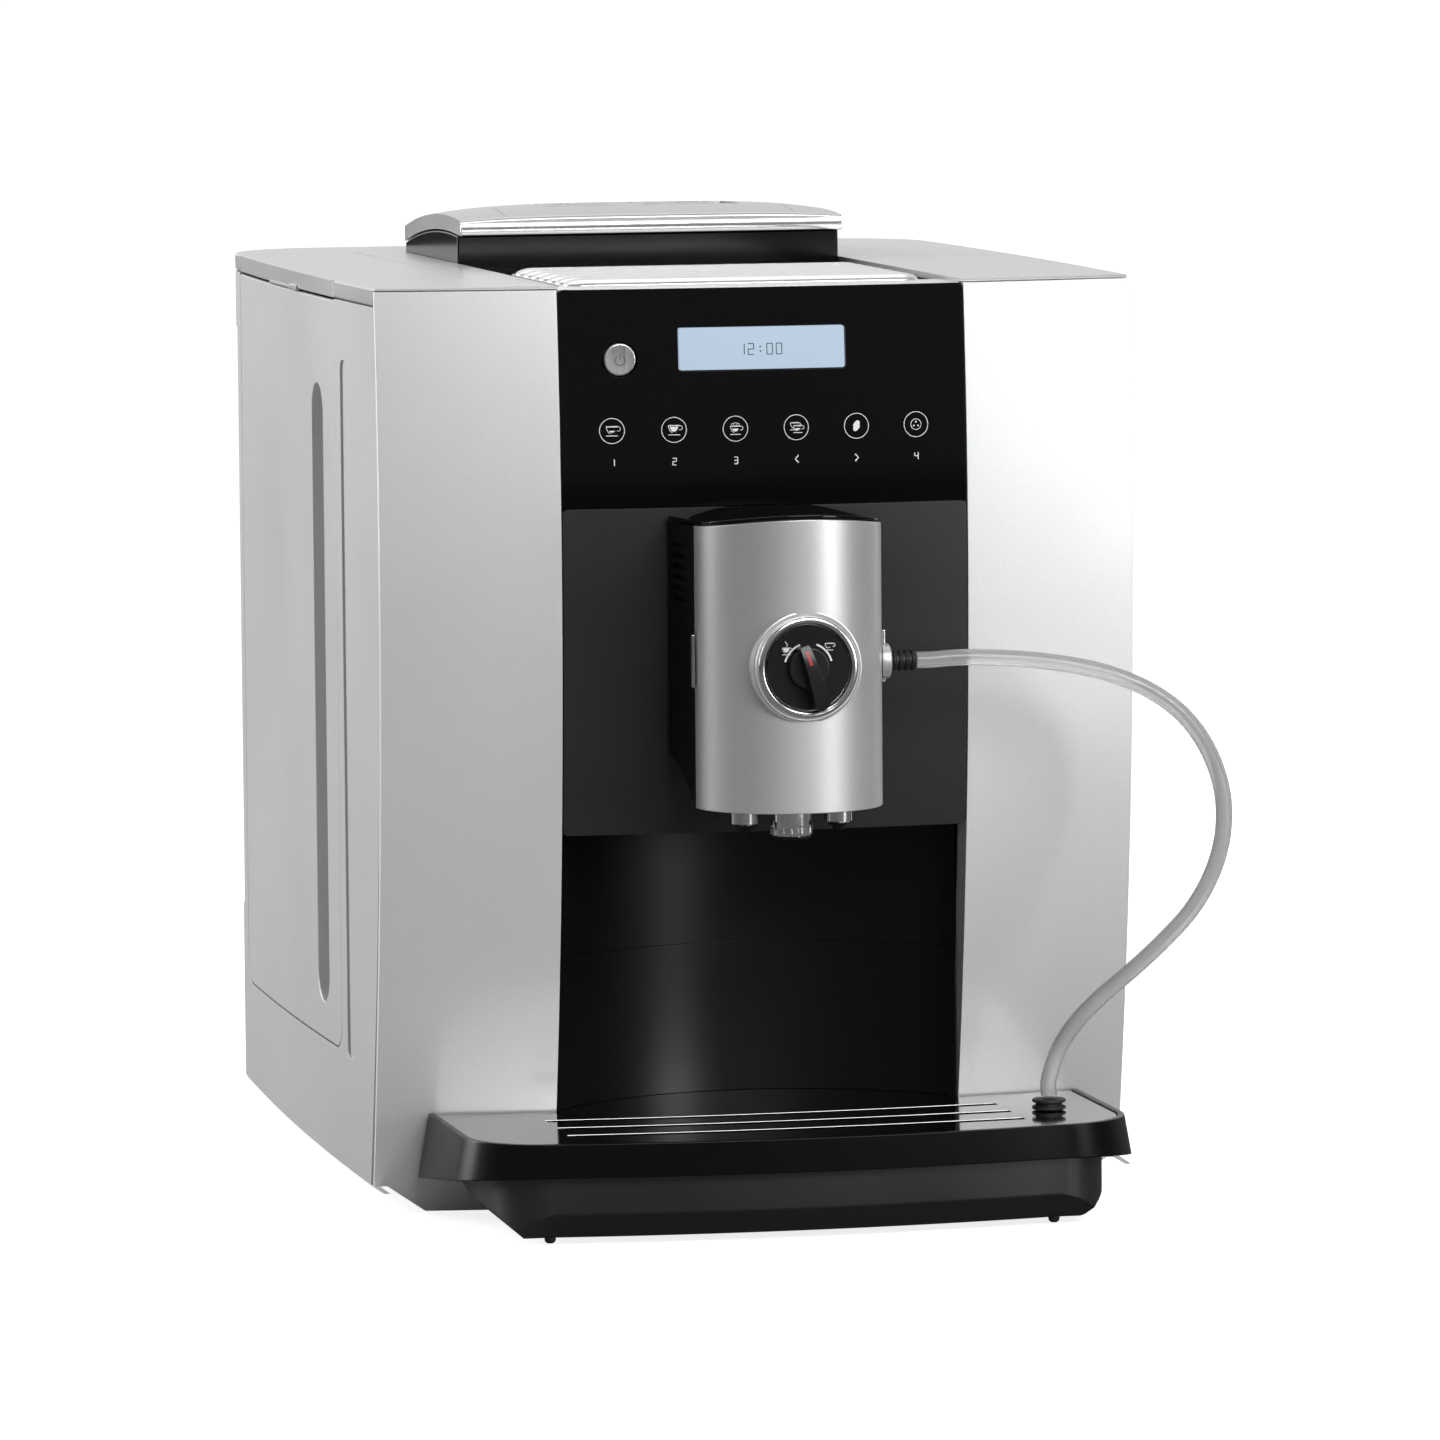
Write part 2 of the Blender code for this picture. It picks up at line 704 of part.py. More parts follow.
def make_column(side, body):
    """A silver front column: a curved face with a return along the black centre."""
    name = "front_column_right" if side > 0 else "front_column_left"
    inner, outer = CENTRE_HALF_WIDTH, BODY_HALF_WIDTH
    face = [(side * x, -front_plan(x)) for x in steps(outer, inner, 7)]
    back = [
        (side * x, -front_plan(x) + FRONT_THICKNESS)
        for x in steps(inner + FRONT_THICKNESS, outer, 6)
    ]
    returned = -front_plan(inner) + COLUMN_RETURN
    flange = [(side * inner, returned), (side * (inner + FRONT_THICKNESS), returned)]
    mesh = prism([face + flange + back], COLUMN_FOOT, COLUMN_TOP)
    sliced(mesh, "Z", steps(COLUMN_FOOT, COLUMN_TOP, 9)[1:-1])
    to_front(mesh, both=False)
    column = piece(name, mesh, "silver", body)
    toe = outer - COLUMN_TOE_WIDTH
    heel = toe - COLUMN_TOE_SLOPE
    below = COLUMN_FOOT - OVERRUN
    corner = [
        (side * heel, COLUMN_FOOT),
        (side * toe, SIDE_BOTTOM),
        (side * (outer + OVERRUN), SIDE_BOTTOM),
        (side * (outer + OVERRUN), below),
        (side * heel, below),
    ]
    cut(column, prism([corner], front_y(0, FRONT_CREST) - OVERRUN, COLUMN_RETURN + CHASSIS_FRONT, "Y"), "toe")
    low_x, high_x = sorted((side * (inner - OVERRUN), side * (inner + OVERRUN)))
    shoulder = -front_plan(inner) + FRONT_THICKNESS
    cover_low = BODY_TOP - SHELL - RUNNING_GAP
    under_cover = box((low_x, shoulder, cover_low), (high_x, CHASSIS_FRONT, BODY_TOP + OVERRUN))
    cut(column, under_cover, "shoulder")
    return column


def guide_slot():
    """The hole that the spout's guide stands in."""
    half, gap = GUIDE_HALF_WIDTH + RUNNING_GAP, RUNNING_GAP
    return rounded(-half, GUIDE_LOW - gap, half, GUIDE_HIGH + gap, PANEL_CORNER / 4, 1)


def make_display(body):
    """The glossy display panel with its window and button holes, and what sits behind it."""
    window = rounded(
        LCD_CENTRE_X - LCD_HALF_WIDTH - SEAM,
        LCD_CENTRE_Z - LCD_HALF_HEIGHT - SEAM,
        LCD_CENTRE_X + LCD_HALF_WIDTH + SEAM,
        LCD_CENTRE_Z + LCD_HALF_HEIGHT + SEAM,
        PANEL_CORNER / 2,
        1,
    )
    button_hole = circle(BUTTON_X, BUTTON_Z, BUTTON_RADIUS + RUNNING_GAP)
    outline = rounded(-PANEL_HALF_WIDTH, DISPLAY_BOTTOM + SEAM, PANEL_HALF_WIDTH, COLUMN_TOP, PANEL_CORNER)
    panel = front_slab([outline, window, button_hole], 0, FRONT_THICKNESS, 8, 3)
    piece("display_panel", panel, "gloss_black", body)

    glass = rounded(
        LCD_CENTRE_X - LCD_HALF_WIDTH,
        LCD_CENTRE_Z - LCD_HALF_HEIGHT,
        LCD_CENTRE_X + LCD_HALF_WIDTH,
        LCD_CENTRE_Z + LCD_HALF_HEIGHT,
        PANEL_CORNER / 2,
        1,
    )
    glass_mesh = front_slab([glass], LCD_RECESS, FRONT_THICKNESS - LCD_RECESS, 6, 1)
    piece("lcd_window", glass_mesh, "display_glass", body)

    inner = FRONT_THICKNESS + SEAM
    half = PANEL_HALF_WIDTH - SEAM
    lcd_hole = rounded(
        LCD_CENTRE_X - LCD_HALF_WIDTH + FRAME_WINDOW_MARGIN,
        LCD_CENTRE_Z - LCD_HALF_HEIGHT + FRAME_WINDOW_MARGIN / 2,
        LCD_CENTRE_X + LCD_HALF_WIDTH - FRAME_WINDOW_MARGIN,
        LCD_CENTRE_Z + LCD_HALF_HEIGHT - FRAME_WINDOW_MARGIN / 2,
        PANEL_CORNER / 2,
        1,
    )
    stem_hole = circle(BUTTON_X, BUTTON_Z, BUTTON_STEM_RADIUS + RUNNING_GAP, 12)
    guide_hole = guide_slot()
    frame_outline = rounded(-half, PANEL_BOTTOM + SEAM, half, FRAME_TOP, PANEL_CORNER, 1)
    frame_mesh = front_slab([frame_outline, lcd_hole, stem_hole, guide_hole], inner, FRAME_THICKNESS, 6, 6)
    piece("front_frame", frame_mesh, "black_plastic", body)


def frame_back(x, z):
    """The rear face of the front frame."""
    return front_y(x, z) + FRONT_THICKNESS + SEAM + FRAME_THICKNESS


def board_front():
    """The flat front of the circuit board, clear of the curved front frame."""
    corners = [frame_back(BOARD_HALF_WIDTH, z) for z in steps(BOARD_LOW, BOARD_HIGH, 4)]
    return max(corners) + 2 * TOUCH_GAP


def make_control_board(body):
    """The circuit board behind the front frame, with the display module and the switch on it."""
    front = board_front()
    rear = front + BOARD_THICKNESS
    board = piece(
        "control_board",
        box((-BOARD_HALF_WIDTH, front, BOARD_LOW), (BOARD_HALF_WIDTH, rear, BOARD_HIGH)),
        "board_green",
        body,
    )
    reach = LCD_HALF_WIDTH - FRAME_WINDOW_MARGIN - RUNNING_GAP
    rise = LCD_HALF_HEIGHT - FRAME_WINDOW_MARGIN / 2 - RUNNING_GAP
    module_front = front_y(LCD_CENTRE_X + reach, LCD_CENTRE_Z + rise) + FRONT_THICKNESS + RUNNING_GAP
    module = box(
        (LCD_CENTRE_X - reach, module_front, LCD_CENTRE_Z - rise),
        (LCD_CENTRE_X + reach, front + BOARD_THICKNESS / 2, LCD_CENTRE_Z + rise),
    )
    join(board, module, "module")
    chip_low = BOARD_LOW + BOARD_CHIP
    chip = box(
        (-BOARD_CHIP, front + BOARD_THICKNESS / 2, chip_low),
        (BOARD_CHIP, rear + BOARD_THICKNESS, chip_low + BOARD_CHIP),
    )
    join(board, chip, "chip")
    half = SWITCH_HALF_WIDTH
    switch = box(
        (BUTTON_X - half, front - SWITCH_HEIGHT, BUTTON_Z - half),
        (BUTTON_X + half, front + BOARD_THICKNESS / 2, BUTTON_Z + half),
    )
    join(board, switch, "switch")


def make_middle_panel(body):
    """The charcoal panel behind the spout, with the slot that the guide stands in."""
    outline = rounded(-PANEL_HALF_WIDTH, PANEL_BOTTOM, PANEL_HALF_WIDTH, DISPLAY_BOTTOM, PANEL_CORNER)
    piece("middle_panel", front_slab([outline, guide_slot()], 0, FRONT_THICKNESS, 8, 5), "charcoal", body)


def make_guide(body):
    """The upright guide that the spout's carriage rides on: a bar with a flange behind the front frame."""
    nose = CARRIAGE_BACK - GUIDE_REACH
    seat = max(frame_back(GUIDE_HALF_WIDTH + GUIDE_FLANGE, GUIDE_LOW), frame_back(GUIDE_HALF_WIDTH, GUIDE_HIGH))
    seat += TOUCH_GAP
    bar = box((-GUIDE_HALF_WIDTH, nose, GUIDE_LOW), (GUIDE_HALF_WIDTH, seat + GUIDE_FLANGE_DEPTH, GUIDE_HIGH))
    guide = piece("spout_guide", bar, "black_plastic", body)
    wide = GUIDE_HALF_WIDTH + GUIDE_FLANGE
    flange = box((-wide, seat, GUIDE_LOW), (wide, seat + GUIDE_FLANGE_DEPTH, GUIDE_HIGH))
    join(guide, flange, "flange")


# Body covers
def rising_underside(low_x, high_x):
    """The space under the covers, whose lower edge rises in a straight line to the rear."""
    rear = BODY_DEPTH + OVERRUN
    wedge = [
        (-OVERRUN, SIDE_BOTTOM - OVERRUN),
        (0, SIDE_BOTTOM - OVERRUN),
        (rear, SIDE_BOTTOM - OVERRUN),
        (rear, SIDE_BOTTOM + REAR_LIFT * rear / BODY_DEPTH),
        (0, SIDE_BOTTOM),
        (-OVERRUN, SIDE_BOTTOM),
    ]
    return prism([wedge], low_x, high_x, "X")


def make_side_cover(side, body):
    """A side cover with its decorative groove and the opening for the tank panel or the service door."""
    left = side < 0
    name = "left_side_cover" if left else "right_side_cover"
    end = BODY_DEPTH - REAR_CORNER_RADIUS
    strip = side_strip(side, 0, end, 0, SHELL, 10)
    cover = piece(name, prism([strip], SIDE_BOTTOM, COVER_TOP), "grey_cover", body)
    low_x, high_x = sorted((side * (BODY_HALF_WIDTH - OVERRUN), side * (BODY_HALF_WIDTH + OVERRUN)))
    behind = [(front_y(BODY_HALF_WIDTH, z) + FRONT_THICKNESS + SEAM, z) for z in steps(0, BODY_TOP, 9)]
    ahead = [(-OVERRUN, BODY_TOP), (-OVERRUN, 0)]
    cut(cover, prism([behind + ahead], low_x, high_x, "X"), "front")
    if left:
        opening = rounded(
            TANK_FRONT, TANK_PANEL_BOTTOM, TANK_REAR, COVER_TOP + OVERRUN, TANK_PANEL_CORNER, 3,
            (True, True, False, False),
        )
    else:
        opening = rounded(TANK_FRONT, DOOR_LOW, TANK_REAR, DOOR_HIGH, DOOR_CORNER)
    cut(cover, prism([opening], low_x, high_x, "X"), "opening")
    floor_y = side_x(GROOVE_FRONT) - GROOVE_DEPTH
    groove_low, groove_high = sorted((side * floor_y, side * (BODY_HALF_WIDTH + OVERRUN)))
    groove = box(
        (groove_low, GROOVE_FRONT, GROOVE_LOW), (groove_high, GROOVE_FRONT + GROOVE_WIDTH, GROOVE_HIGH)
    )
    cut(cover, groove, "groove")
    cut(cover, rising_underside(low_x, high_x), "underside")


def make_rear_cover(body):
    """The rear cover wraps both rear corners, with vents and the opening for the power inlet."""
    start = BODY_DEPTH - REAR_CORNER_RADIUS + SEAM
    outer = rear_corner(0)
    inner = rear_corner(SHELL)
    outer[0] = (outer[0][0], start)
    inner[0] = (inner[0][0], start)
    mirrored = [(-x, y) for x, y in reversed(outer)]
    mirrored_inner = [(-x, y) for x, y in inner]
    outline = outer + mirrored + mirrored_inner + list(reversed(inner))
    cover = piece("rear_cover", prism([outline], SIDE_BOTTOM, COVER_TOP), "grey_cover", body)
    vents = []
    for row in range(VENT_ROWS):
        for column in range(VENT_COLUMNS):
            x = (column - (VENT_COLUMNS - 1) / 2) * 2 * VENT_SPREAD
            z = VENT_LOW + row * VENT_PITCH
            low = (x - VENT_LENGTH / 2, BODY_DEPTH - OVERRUN, z)
            high = (x + VENT_LENGTH / 2, BODY_DEPTH + OVERRUN, z + VENT_WIDTH)
            vents.append((low, high))
    cut(cover, boxes(vents), "vents")
    hole = box(
        (INLET_X - INLET_HALF_WIDTH - SEAM, BODY_DEPTH - OVERRUN, INLET_Z - INLET_HALF_HEIGHT - SEAM),
        (INLET_X + INLET_HALF_WIDTH + SEAM, BODY_DEPTH + OVERRUN, INLET_Z + INLET_HALF_HEIGHT + SEAM),
    )
    cut(cover, hole, "inlet")
    cut(cover, rising_underside(-BODY_HALF_WIDTH - OVERRUN, BODY_HALF_WIDTH + OVERRUN), "underside")


def make_power_inlet(body):
    """A three-pin appliance inlet set flush in the rear cover, with its flange inside."""
    face = BODY_DEPTH
    inlet = piece(
        "power_inlet",
        box(
            (INLET_X - INLET_HALF_WIDTH, face - INLET_DEPTH, INLET_Z - INLET_HALF_HEIGHT),
            (INLET_X + INLET_HALF_WIDTH, face, INLET_Z + INLET_HALF_HEIGHT),
        ),
        "black_plastic",
        body,
    )
    flange_face = face - SHELL - TOUCH_GAP
    wide, tall = INLET_HALF_WIDTH + INLET_FLANGE, INLET_HALF_HEIGHT + INLET_FLANGE
    flange = box(
        (INLET_X - wide, flange_face - INLET_FLANGE, INLET_Z - tall),
        (INLET_X + wide, flange_face, INLET_Z + tall),
    )
    join(inlet, flange, "flange")
    rim = INLET_FLANGE
    well = box(
        (INLET_X - INLET_HALF_WIDTH + rim, face - INLET_WELL, INLET_Z - INLET_HALF_HEIGHT + rim),
        (INLET_X + INLET_HALF_WIDTH - rim, face + OVERRUN, INLET_Z + INLET_HALF_HEIGHT - rim),
    )
    cut(inlet, well, "well")
    half, tall, drop = INLET_PIN_THICKNESS / 2, INLET_PIN_WIDTH / 2, INLET_PIN_THICKNESS
    root, tip = face - INLET_WELL - INLET_FLANGE / 2, face - INLET_WELL + INLET_PIN_LENGTH
    pins = []
    for across, up in ((-INLET_PIN_GAP, -drop), (INLET_PIN_GAP, -drop), (0, drop)):
        x, z = INLET_X + across, INLET_Z + up
        pins.append(((x - half, root, z - tall), (x + half, tip, z + tall)))
    join(inlet, boxes(pins), "pins")


def make_top_cover(body):
    """The top cover: a shallow cap with a skirt, open for the tank lid, the deck and the hopper."""
    cover = piece("top_cover", prism([body_plan(0)], SKIRT_LOW, BODY_TOP), "grey_cover", body)
    round_edges(cover, TOP_EDGE_RADIUS, 2, 60)
    cut(cover, prism([body_plan(SHELL)], SKIRT_LOW - OVERRUN, BODY_TOP - SHELL), "hollow")
    reach = BODY_HALF_WIDTH + OVERRUN
    behind = [(x, -front_plan(x) + FRONT_THICKNESS + SEAM) for x in steps(-reach, reach, 16)]
    ahead = [(reach, -FRONT_BOW - OVERRUN), (-reach, -FRONT_BOW - OVERRUN)]
    cut(cover, prism([behind + ahead], SKIRT_LOW - OVERRUN, BODY_TOP - TOP_LIP), "lip")
    lid_well = box(
        (-BODY_HALF_WIDTH - OVERRUN, TANK_FRONT, SKIRT_LOW - OVERRUN),
        (-TANK_INNER_X, TANK_REAR, BODY_TOP + OVERRUN),
    )
    cut(cover, lid_well, "lid_well")
    deck_well = box(
        (-DECK_HALF_WIDTH - SEAM, -FRONT_BOW - OVERRUN, SKIRT_LOW - OVERRUN),
        (DECK_HALF_WIDTH + SEAM, HOPPER_FRONT - SEAM + OVERRUN, BODY_TOP + OVERRUN),
    )
    cut(cover, deck_well, "deck_well")
    hopper_well = box(
        (-HOPPER_HALF_WIDTH - SEAM, HOPPER_FRONT, SKIRT_LOW - OVERRUN),
        (HOPPER_HALF_WIDTH + SEAM, HOPPER_REAR + SEAM, BODY_TOP + OVERRUN),
    )
    cut(cover, hopper_well, "hopper_well")


def make_deck(body):
    """The black deck between the display and the hopper, and the ribbed cup rail plate with its flat apron."""
    half = DECK_HALF_WIDTH
    front = [(x, -front_plan(x) + FRONT_THICKNESS + SEAM) for x in steps(-half, half, 12)]
    rear = [(half, HOPPER_FRONT - SEAM), (-half, HOPPER_FRONT - SEAM)]
    piece("top_deck", prism([front + rear], DECK_LOW, DECK_TOP), "gloss_black", body)
    pitch = (RAIL_REAR - RAIL_FRONT) / RAIL_RIBS
    top = RAIL_LOW + RAIL_BASE
    ribs = []
    for rib in range(RAIL_RIBS):
        middle = RAIL_FRONT + (rib + 0.5) * pitch
        for turn in steps(math.pi, 0, 4)[:-1]:
            ribs.append((middle + pitch / 2 * math.cos(turn), top + RAIL_RIB_HEIGHT * math.sin(turn)))
    ribs.append((RAIL_REAR, top))
    outline = [(RAIL_FRONT, RAIL_LOW)] + [(RAIL_REAR, RAIL_LOW)] + list(reversed(ribs))
    plate = piece("cup_rail_plate", prism([outline], -RAIL_HALF_WIDTH, RAIL_HALF_WIDTH, "X"), "silver", body)
    behind = RAIL_FRONT + pitch / 4
    apron = front + [(half, behind), (-half, behind)]
    join(plate, prism([apron], RAIL_LOW + SEAM / 4, top), "apron")


# Bean hopper and its lid
def collar_top(y):
    """The arched upper edge of the hopper's collar, lower at the back."""
    return COLLAR_TOP - (y - COLLAR_CREST_Y) ** 2 / (2 * COLLAR_ARCH_RADIUS)


def lid_under(y):
    """The lid's lower edge, which follows the collar."""
    return collar_top(y) + RUNNING_GAP


def lid_crown(y):
    """How far the lid's middle stands above the top of its sides."""
    radius = LID_FRONT_RADIUS if y < LID_CREST_Y else LID_BACK_RADIUS
    return LID_CREST_Z - (y - LID_CREST_Y) ** 2 / (2 * radius) - lid_under(y) - LID_SIDE_HEIGHT


def lid_top(x, y):
    """The lid's upper surface, nearly level across and rounded down to its sides."""
    return lid_under(y) + LID_SIDE_HEIGHT + lid_crown(y) * (1 - (x / HOPPER_HALF_WIDTH) ** 4)


def make_hopper(body):
    """The bean hopper: a collar above the deck and a funnel down to the grinder."""
    low, high = HOPPER_STRAIGHT_BOTTOM, COLLAR_TOP
    half, front, rear = HOPPER_HALF_WIDTH, HOPPER_FRONT, HOPPER_REAR
    profile = [(front, low), (rear, low)] + [(y, collar_top(y)) for y in steps(rear, front, 8)]
    hopper = piece("bean_hopper", prism([profile], -half, half, "X"), "gloss_black", body)
    reach = THROAT_HALF_WIDTH
    throat = ((-reach, GRINDER_Y - reach), (reach, GRINDER_Y + reach))
    outside = ((-half, front), (half, rear))
    join(hopper, funnel(throat, HOPPER_THROAT_Z, outside, low + HOPPER_WALL), "funnel")
    wall = HOPPER_WALL
    inside = ((-half + wall, front + wall), (half - wall, rear - wall))
    straight = box((inside[0][0], inside[0][1], low), (inside[1][0], inside[1][1], high + OVERRUN))
    cut(hopper, straight, "inside")
    bore = THROAT_HALF_WIDTH - wall
    throat_inside = ((-bore, GRINDER_Y - bore), (bore, GRINDER_Y + bore))
    cut(hopper, funnel(throat_inside, HOPPER_THROAT_Z, inside, low + wall / 2), "cone")
    shaft = box((-bore, GRINDER_Y - bore, HOPPER_THROAT_Z - OVERRUN), (bore, GRINDER_Y + bore, low))
    cut(hopper, shaft, "throat")


def make_bean_lid(body):
    """The crowned lid with its louvres, and the chrome band on its front edge."""
    half = HOPPER_HALF_WIDTH
    front, rear = HOPPER_FRONT - LID_OVERHANG, HOPPER_REAR + LID_REAR_OVERHANG
    height = LID_SIDE_HEIGHT
    under = [(y, lid_under(y)) for y in steps(front, rear, 8)]
    over = [(y, lid_under(y) + height) for y in steps(rear, front + LID_NOSE, 10)]
    nose = [
        (front + LID_NOSE / 4, lid_under(front) + height - LID_NOSE / 4),
        (front, lid_under(front) + height - LID_NOSE),
    ]
    mesh = prism([under + over + nose], -half, half, "X")
    across = [half * math.sin(turn) for turn in steps(-math.pi / 2, math.pi / 2, 12)]
    sliced(mesh, "X", across[1:-1])

    def crown(co):
        share = min(max((co.z - lid_under(co.y)) / height, 0), 1)
        return (0, 0, share * lid_crown(co.y) * (1 - (co.x / half) ** 4))

    moved(mesh, crown)
    lid = piece("bean_lid", mesh, "grey_cover", body)
    wall = LID_WALL
    inner_front, inner_rear = front + wall + LID_NOSE, rear - wall
    inner = [(y, lid_under(y) + height - wall) for y in steps(inner_rear, inner_front, 6)]
    low = lid_under(inner_rear) - OVERRUN
    inner += [(inner_front, low), (inner_rear, low)]
    cut(lid, prism([inner], -half + wall, half - wall, "X"), "hollow")
    louvres = []
    for group in (-1, 1):
        for row in range(LOUVRES):
            y = LOUVRE_CENTRE_Y + (row - (LOUVRES - 1) / 2) * LOUVRE_PITCH
            x = group * LOUVRE_SPREAD
            floor = lid_top(x, y) - LOUVRE_DEPTH
            low = (x - LOUVRE_LENGTH / 2, y - LOUVRE_WIDTH / 2, floor)
            high = (x + LOUVRE_LENGTH / 2, y + LOUVRE_WIDTH / 2, floor + OVERRUN)
            louvres.append((low, high))
    cut(lid, boxes(louvres), "louvres")
    band_low = lid_under(front)
    band_front = front - TOUCH_GAP - BAND_THICKNESS
    outline = rounded(-half, band_low, half, band_low + BAND_HEIGHT, BAND_THICKNESS, 2)
    piece("lid_band", prism([outline], band_front, front - TOUCH_GAP, "Y"), "chrome", body)


# Water tank
def make_tank(tank_body, lid_body, body):
    """The tank lid, the vessel and the side panel with its finger groove, and the bay that holds them."""
    inset = TANK_INNER_X + SEAM
    start, end = TANK_FRONT + RUNNING_GAP, TANK_REAR - RUNNING_GAP
    side = [(-side_x(y), y) for y in steps(start, end, 8)]
    lid = piece(
        "tank_lid",
        prism([side + [(-inset, end), (-inset, start)]], SKIRT_LOW, BODY_TOP),
        "grey_cover",
        lid_body,
    )
    hollow_side = [(-side_x(y) + SHELL, y) for y in steps(start + SHELL, end - SHELL, 8)]
    hollow = hollow_side + [(-inset - SHELL, end - SHELL), (-inset - SHELL, start + SHELL)]
    cut(lid, prism([hollow], SKIRT_LOW - OVERRUN, BODY_TOP - SHELL), "hollow")
    tab_start = TANK_FRONT + LID_TAB_OFFSET
    tab_end, nub_end = tab_start + LID_TAB_LENGTH, tab_start + LID_NUB_LENGTH
    tab_low = SKIRT_LOW - LID_TAB_DROP
    nub = side_strip(-1, tab_start, nub_end, -LID_NUB_PROUD, LID_NUB_PROUD + SHELL / 3, 2)
    join(lid, prism([nub], tab_low - SEAM / 2, tab_low + LID_NUB_HEIGHT), "nub")
    tab_from = nub_end - LID_NUB_LENGTH / 4
    tab = side_strip(-1, tab_from, tab_end, -LID_TAB_PROUD, LID_TAB_PROUD + SHELL / 2, 5)
    join(lid, prism([tab], tab_low, tab_low + LID_TAB_HEIGHT), "tab")

    panel_top = SKIRT_LOW - TANK_SHADOW
    strip = side_strip(-1, TANK_FRONT + RUNNING_GAP, TANK_REAR - RUNNING_GAP, 0, SHELL, 8)
    panel = piece(
        "tank_side_panel", prism([strip], TANK_PANEL_BOTTOM + RUNNING_GAP, panel_top), "grey_cover", tank_body
    )
    low_x, high_x = -side_x(SIDE_WIDEST) - OVERRUN, -TANK_INNER_X
    outline = rounded(
        TANK_FRONT + RUNNING_GAP,
        TANK_PANEL_BOTTOM + RUNNING_GAP,
        TANK_REAR - RUNNING_GAP,
        panel_top,
        TANK_PANEL_CORNER - RUNNING_GAP,
        3,
        (True, True, False, False),
    )
    keep(panel, prism([outline], low_x, high_x, "X"), "outline")

    def pill(grow):
        half = GRIP_HALF_WIDTH + grow
        low, high = GRIP_LOW - grow, GRIP_HIGH + grow
        return rounded(GRIP_CENTRE_Y - half, low, GRIP_CENTRE_Y + half, high, half, 5)

    face = -side_x(GRIP_CENTRE_Y)
    floor = face + GRIP_DEPTH
    cup_outer = prism([pill(GRIP_WALL)], face + SHELL / 2, floor + GRIP_WALL, "X")
    join(panel, cup_outer, "grip_cup")
    cut(panel, prism([pill(0)], low_x, floor, "X"), "grip")

    outer_x = -side_x(TANK_REAR) + SHELL + TANK_SIDE_GAP
    inner_x = -TANK_INNER_X + SEAM - BAY_WALL
    floor_z = BAY_FLOOR + TOUCH_GAP
    rim = SKIRT_LOW - TANK_RIM_DROP
    vessel_front, vessel_rear = TANK_FRONT + TANK_WALL + SEAM, TANK_REAR - TANK_WALL - SEAM
    vessel_low, vessel_high = (outer_x, vessel_front, floor_z), (inner_x, vessel_rear, rim)
    vessel = piece("water_tank", box(vessel_low, vessel_high), "smoked_plastic", tank_body)
    front_side = [(-side_x(y) + SHELL + TOUCH_GAP, y) for y in steps(vessel_front, vessel_rear, 6)]
    bulge = front_side + [(outer_x + TANK_WALL, vessel_rear), (outer_x + TANK_WALL, vessel_front)]
    join(vessel, prism([bulge], TANK_PANEL_BOTTOM + TANK_PANEL_CORNER, rim), "bulge")
    wall = TANK_WALL
    hollow = rounded(
        vessel_front + wall,
        floor_z + wall,
        vessel_rear - wall,
        rim + OVERRUN,
        TANK_PANEL_CORNER - wall,
        3,
        (True, True, False, False),
    )
    water = prism([hollow], outer_x + wall, inner_x - wall, "X")
    notch = prism([pill(GRIP_WALL + TOUCH_GAP)], low_x, floor + GRIP_WALL + TOUCH_GAP, "X")
    sleeve = prism([pill(GRIP_WALL + TOUCH_GAP + wall)], low_x, floor + GRIP_WALL + TOUCH_GAP + wall, "X")
    cavity = cutter("water_tank_cavity", water, tank_body)
    combine(cavity, cutter("water_tank_sleeve", sleeve, tank_body), "DIFFERENCE")
    combine(vessel, cavity, "DIFFERENCE")
    ends = rounded(
        vessel_front, floor_z, vessel_rear, rim + OVERRUN, TANK_PANEL_CORNER, 3, (True, True, False, False)
    )
    keep(vessel, prism([ends], low_x, 0, "X"), "ends")
    cut(vessel, notch, "notch")

    bay_outer = [(-side_x(y) + SHELL + SEAM, y) for y in steps(TANK_FRONT, TANK_REAR, 6)]
    bay_inner = -CHASSIS_INNER_X - CHASSIS_WALL - SEAM
    bay_floor = bay_outer + [(bay_inner, TANK_REAR), (bay_inner, TANK_FRONT)]
    bay = piece("tank_bay", prism([bay_floor], BAY_FLOOR - BAY_WALL, BAY_FLOOR), "black_plastic", body)
    wall_x = inner_x + RUNNING_GAP
    wall = box((wall_x, TANK_FRONT, BAY_FLOOR - BAY_WALL / 2), (wall_x + BAY_WALL, TANK_REAR, COVER_TOP))
    join(bay, wall, "wall")


def make_service_door(body):
    """The door on the right side, flush with the cover, hinged at its rear edge."""
    strip = side_strip(1, TANK_FRONT + RUNNING_GAP, TANK_REAR - RUNNING_GAP, 0, SHELL, 8)
    mesh = prism([strip], DOOR_LOW + RUNNING_GAP, DOOR_HIGH - RUNNING_GAP)
    door = piece("service_door", mesh, "grey_cover", body)
    outline = rounded(
        TANK_FRONT + RUNNING_GAP,
        DOOR_LOW + RUNNING_GAP,
        TANK_REAR - RUNNING_GAP,
        DOOR_HIGH - RUNNING_GAP,
        DOOR_CORNER - RUNNING_GAP,
    )
    keep(door, prism([outline], TANK_INNER_X, side_x(SIDE_WIDEST) + OVERRUN, "X"), "outline")


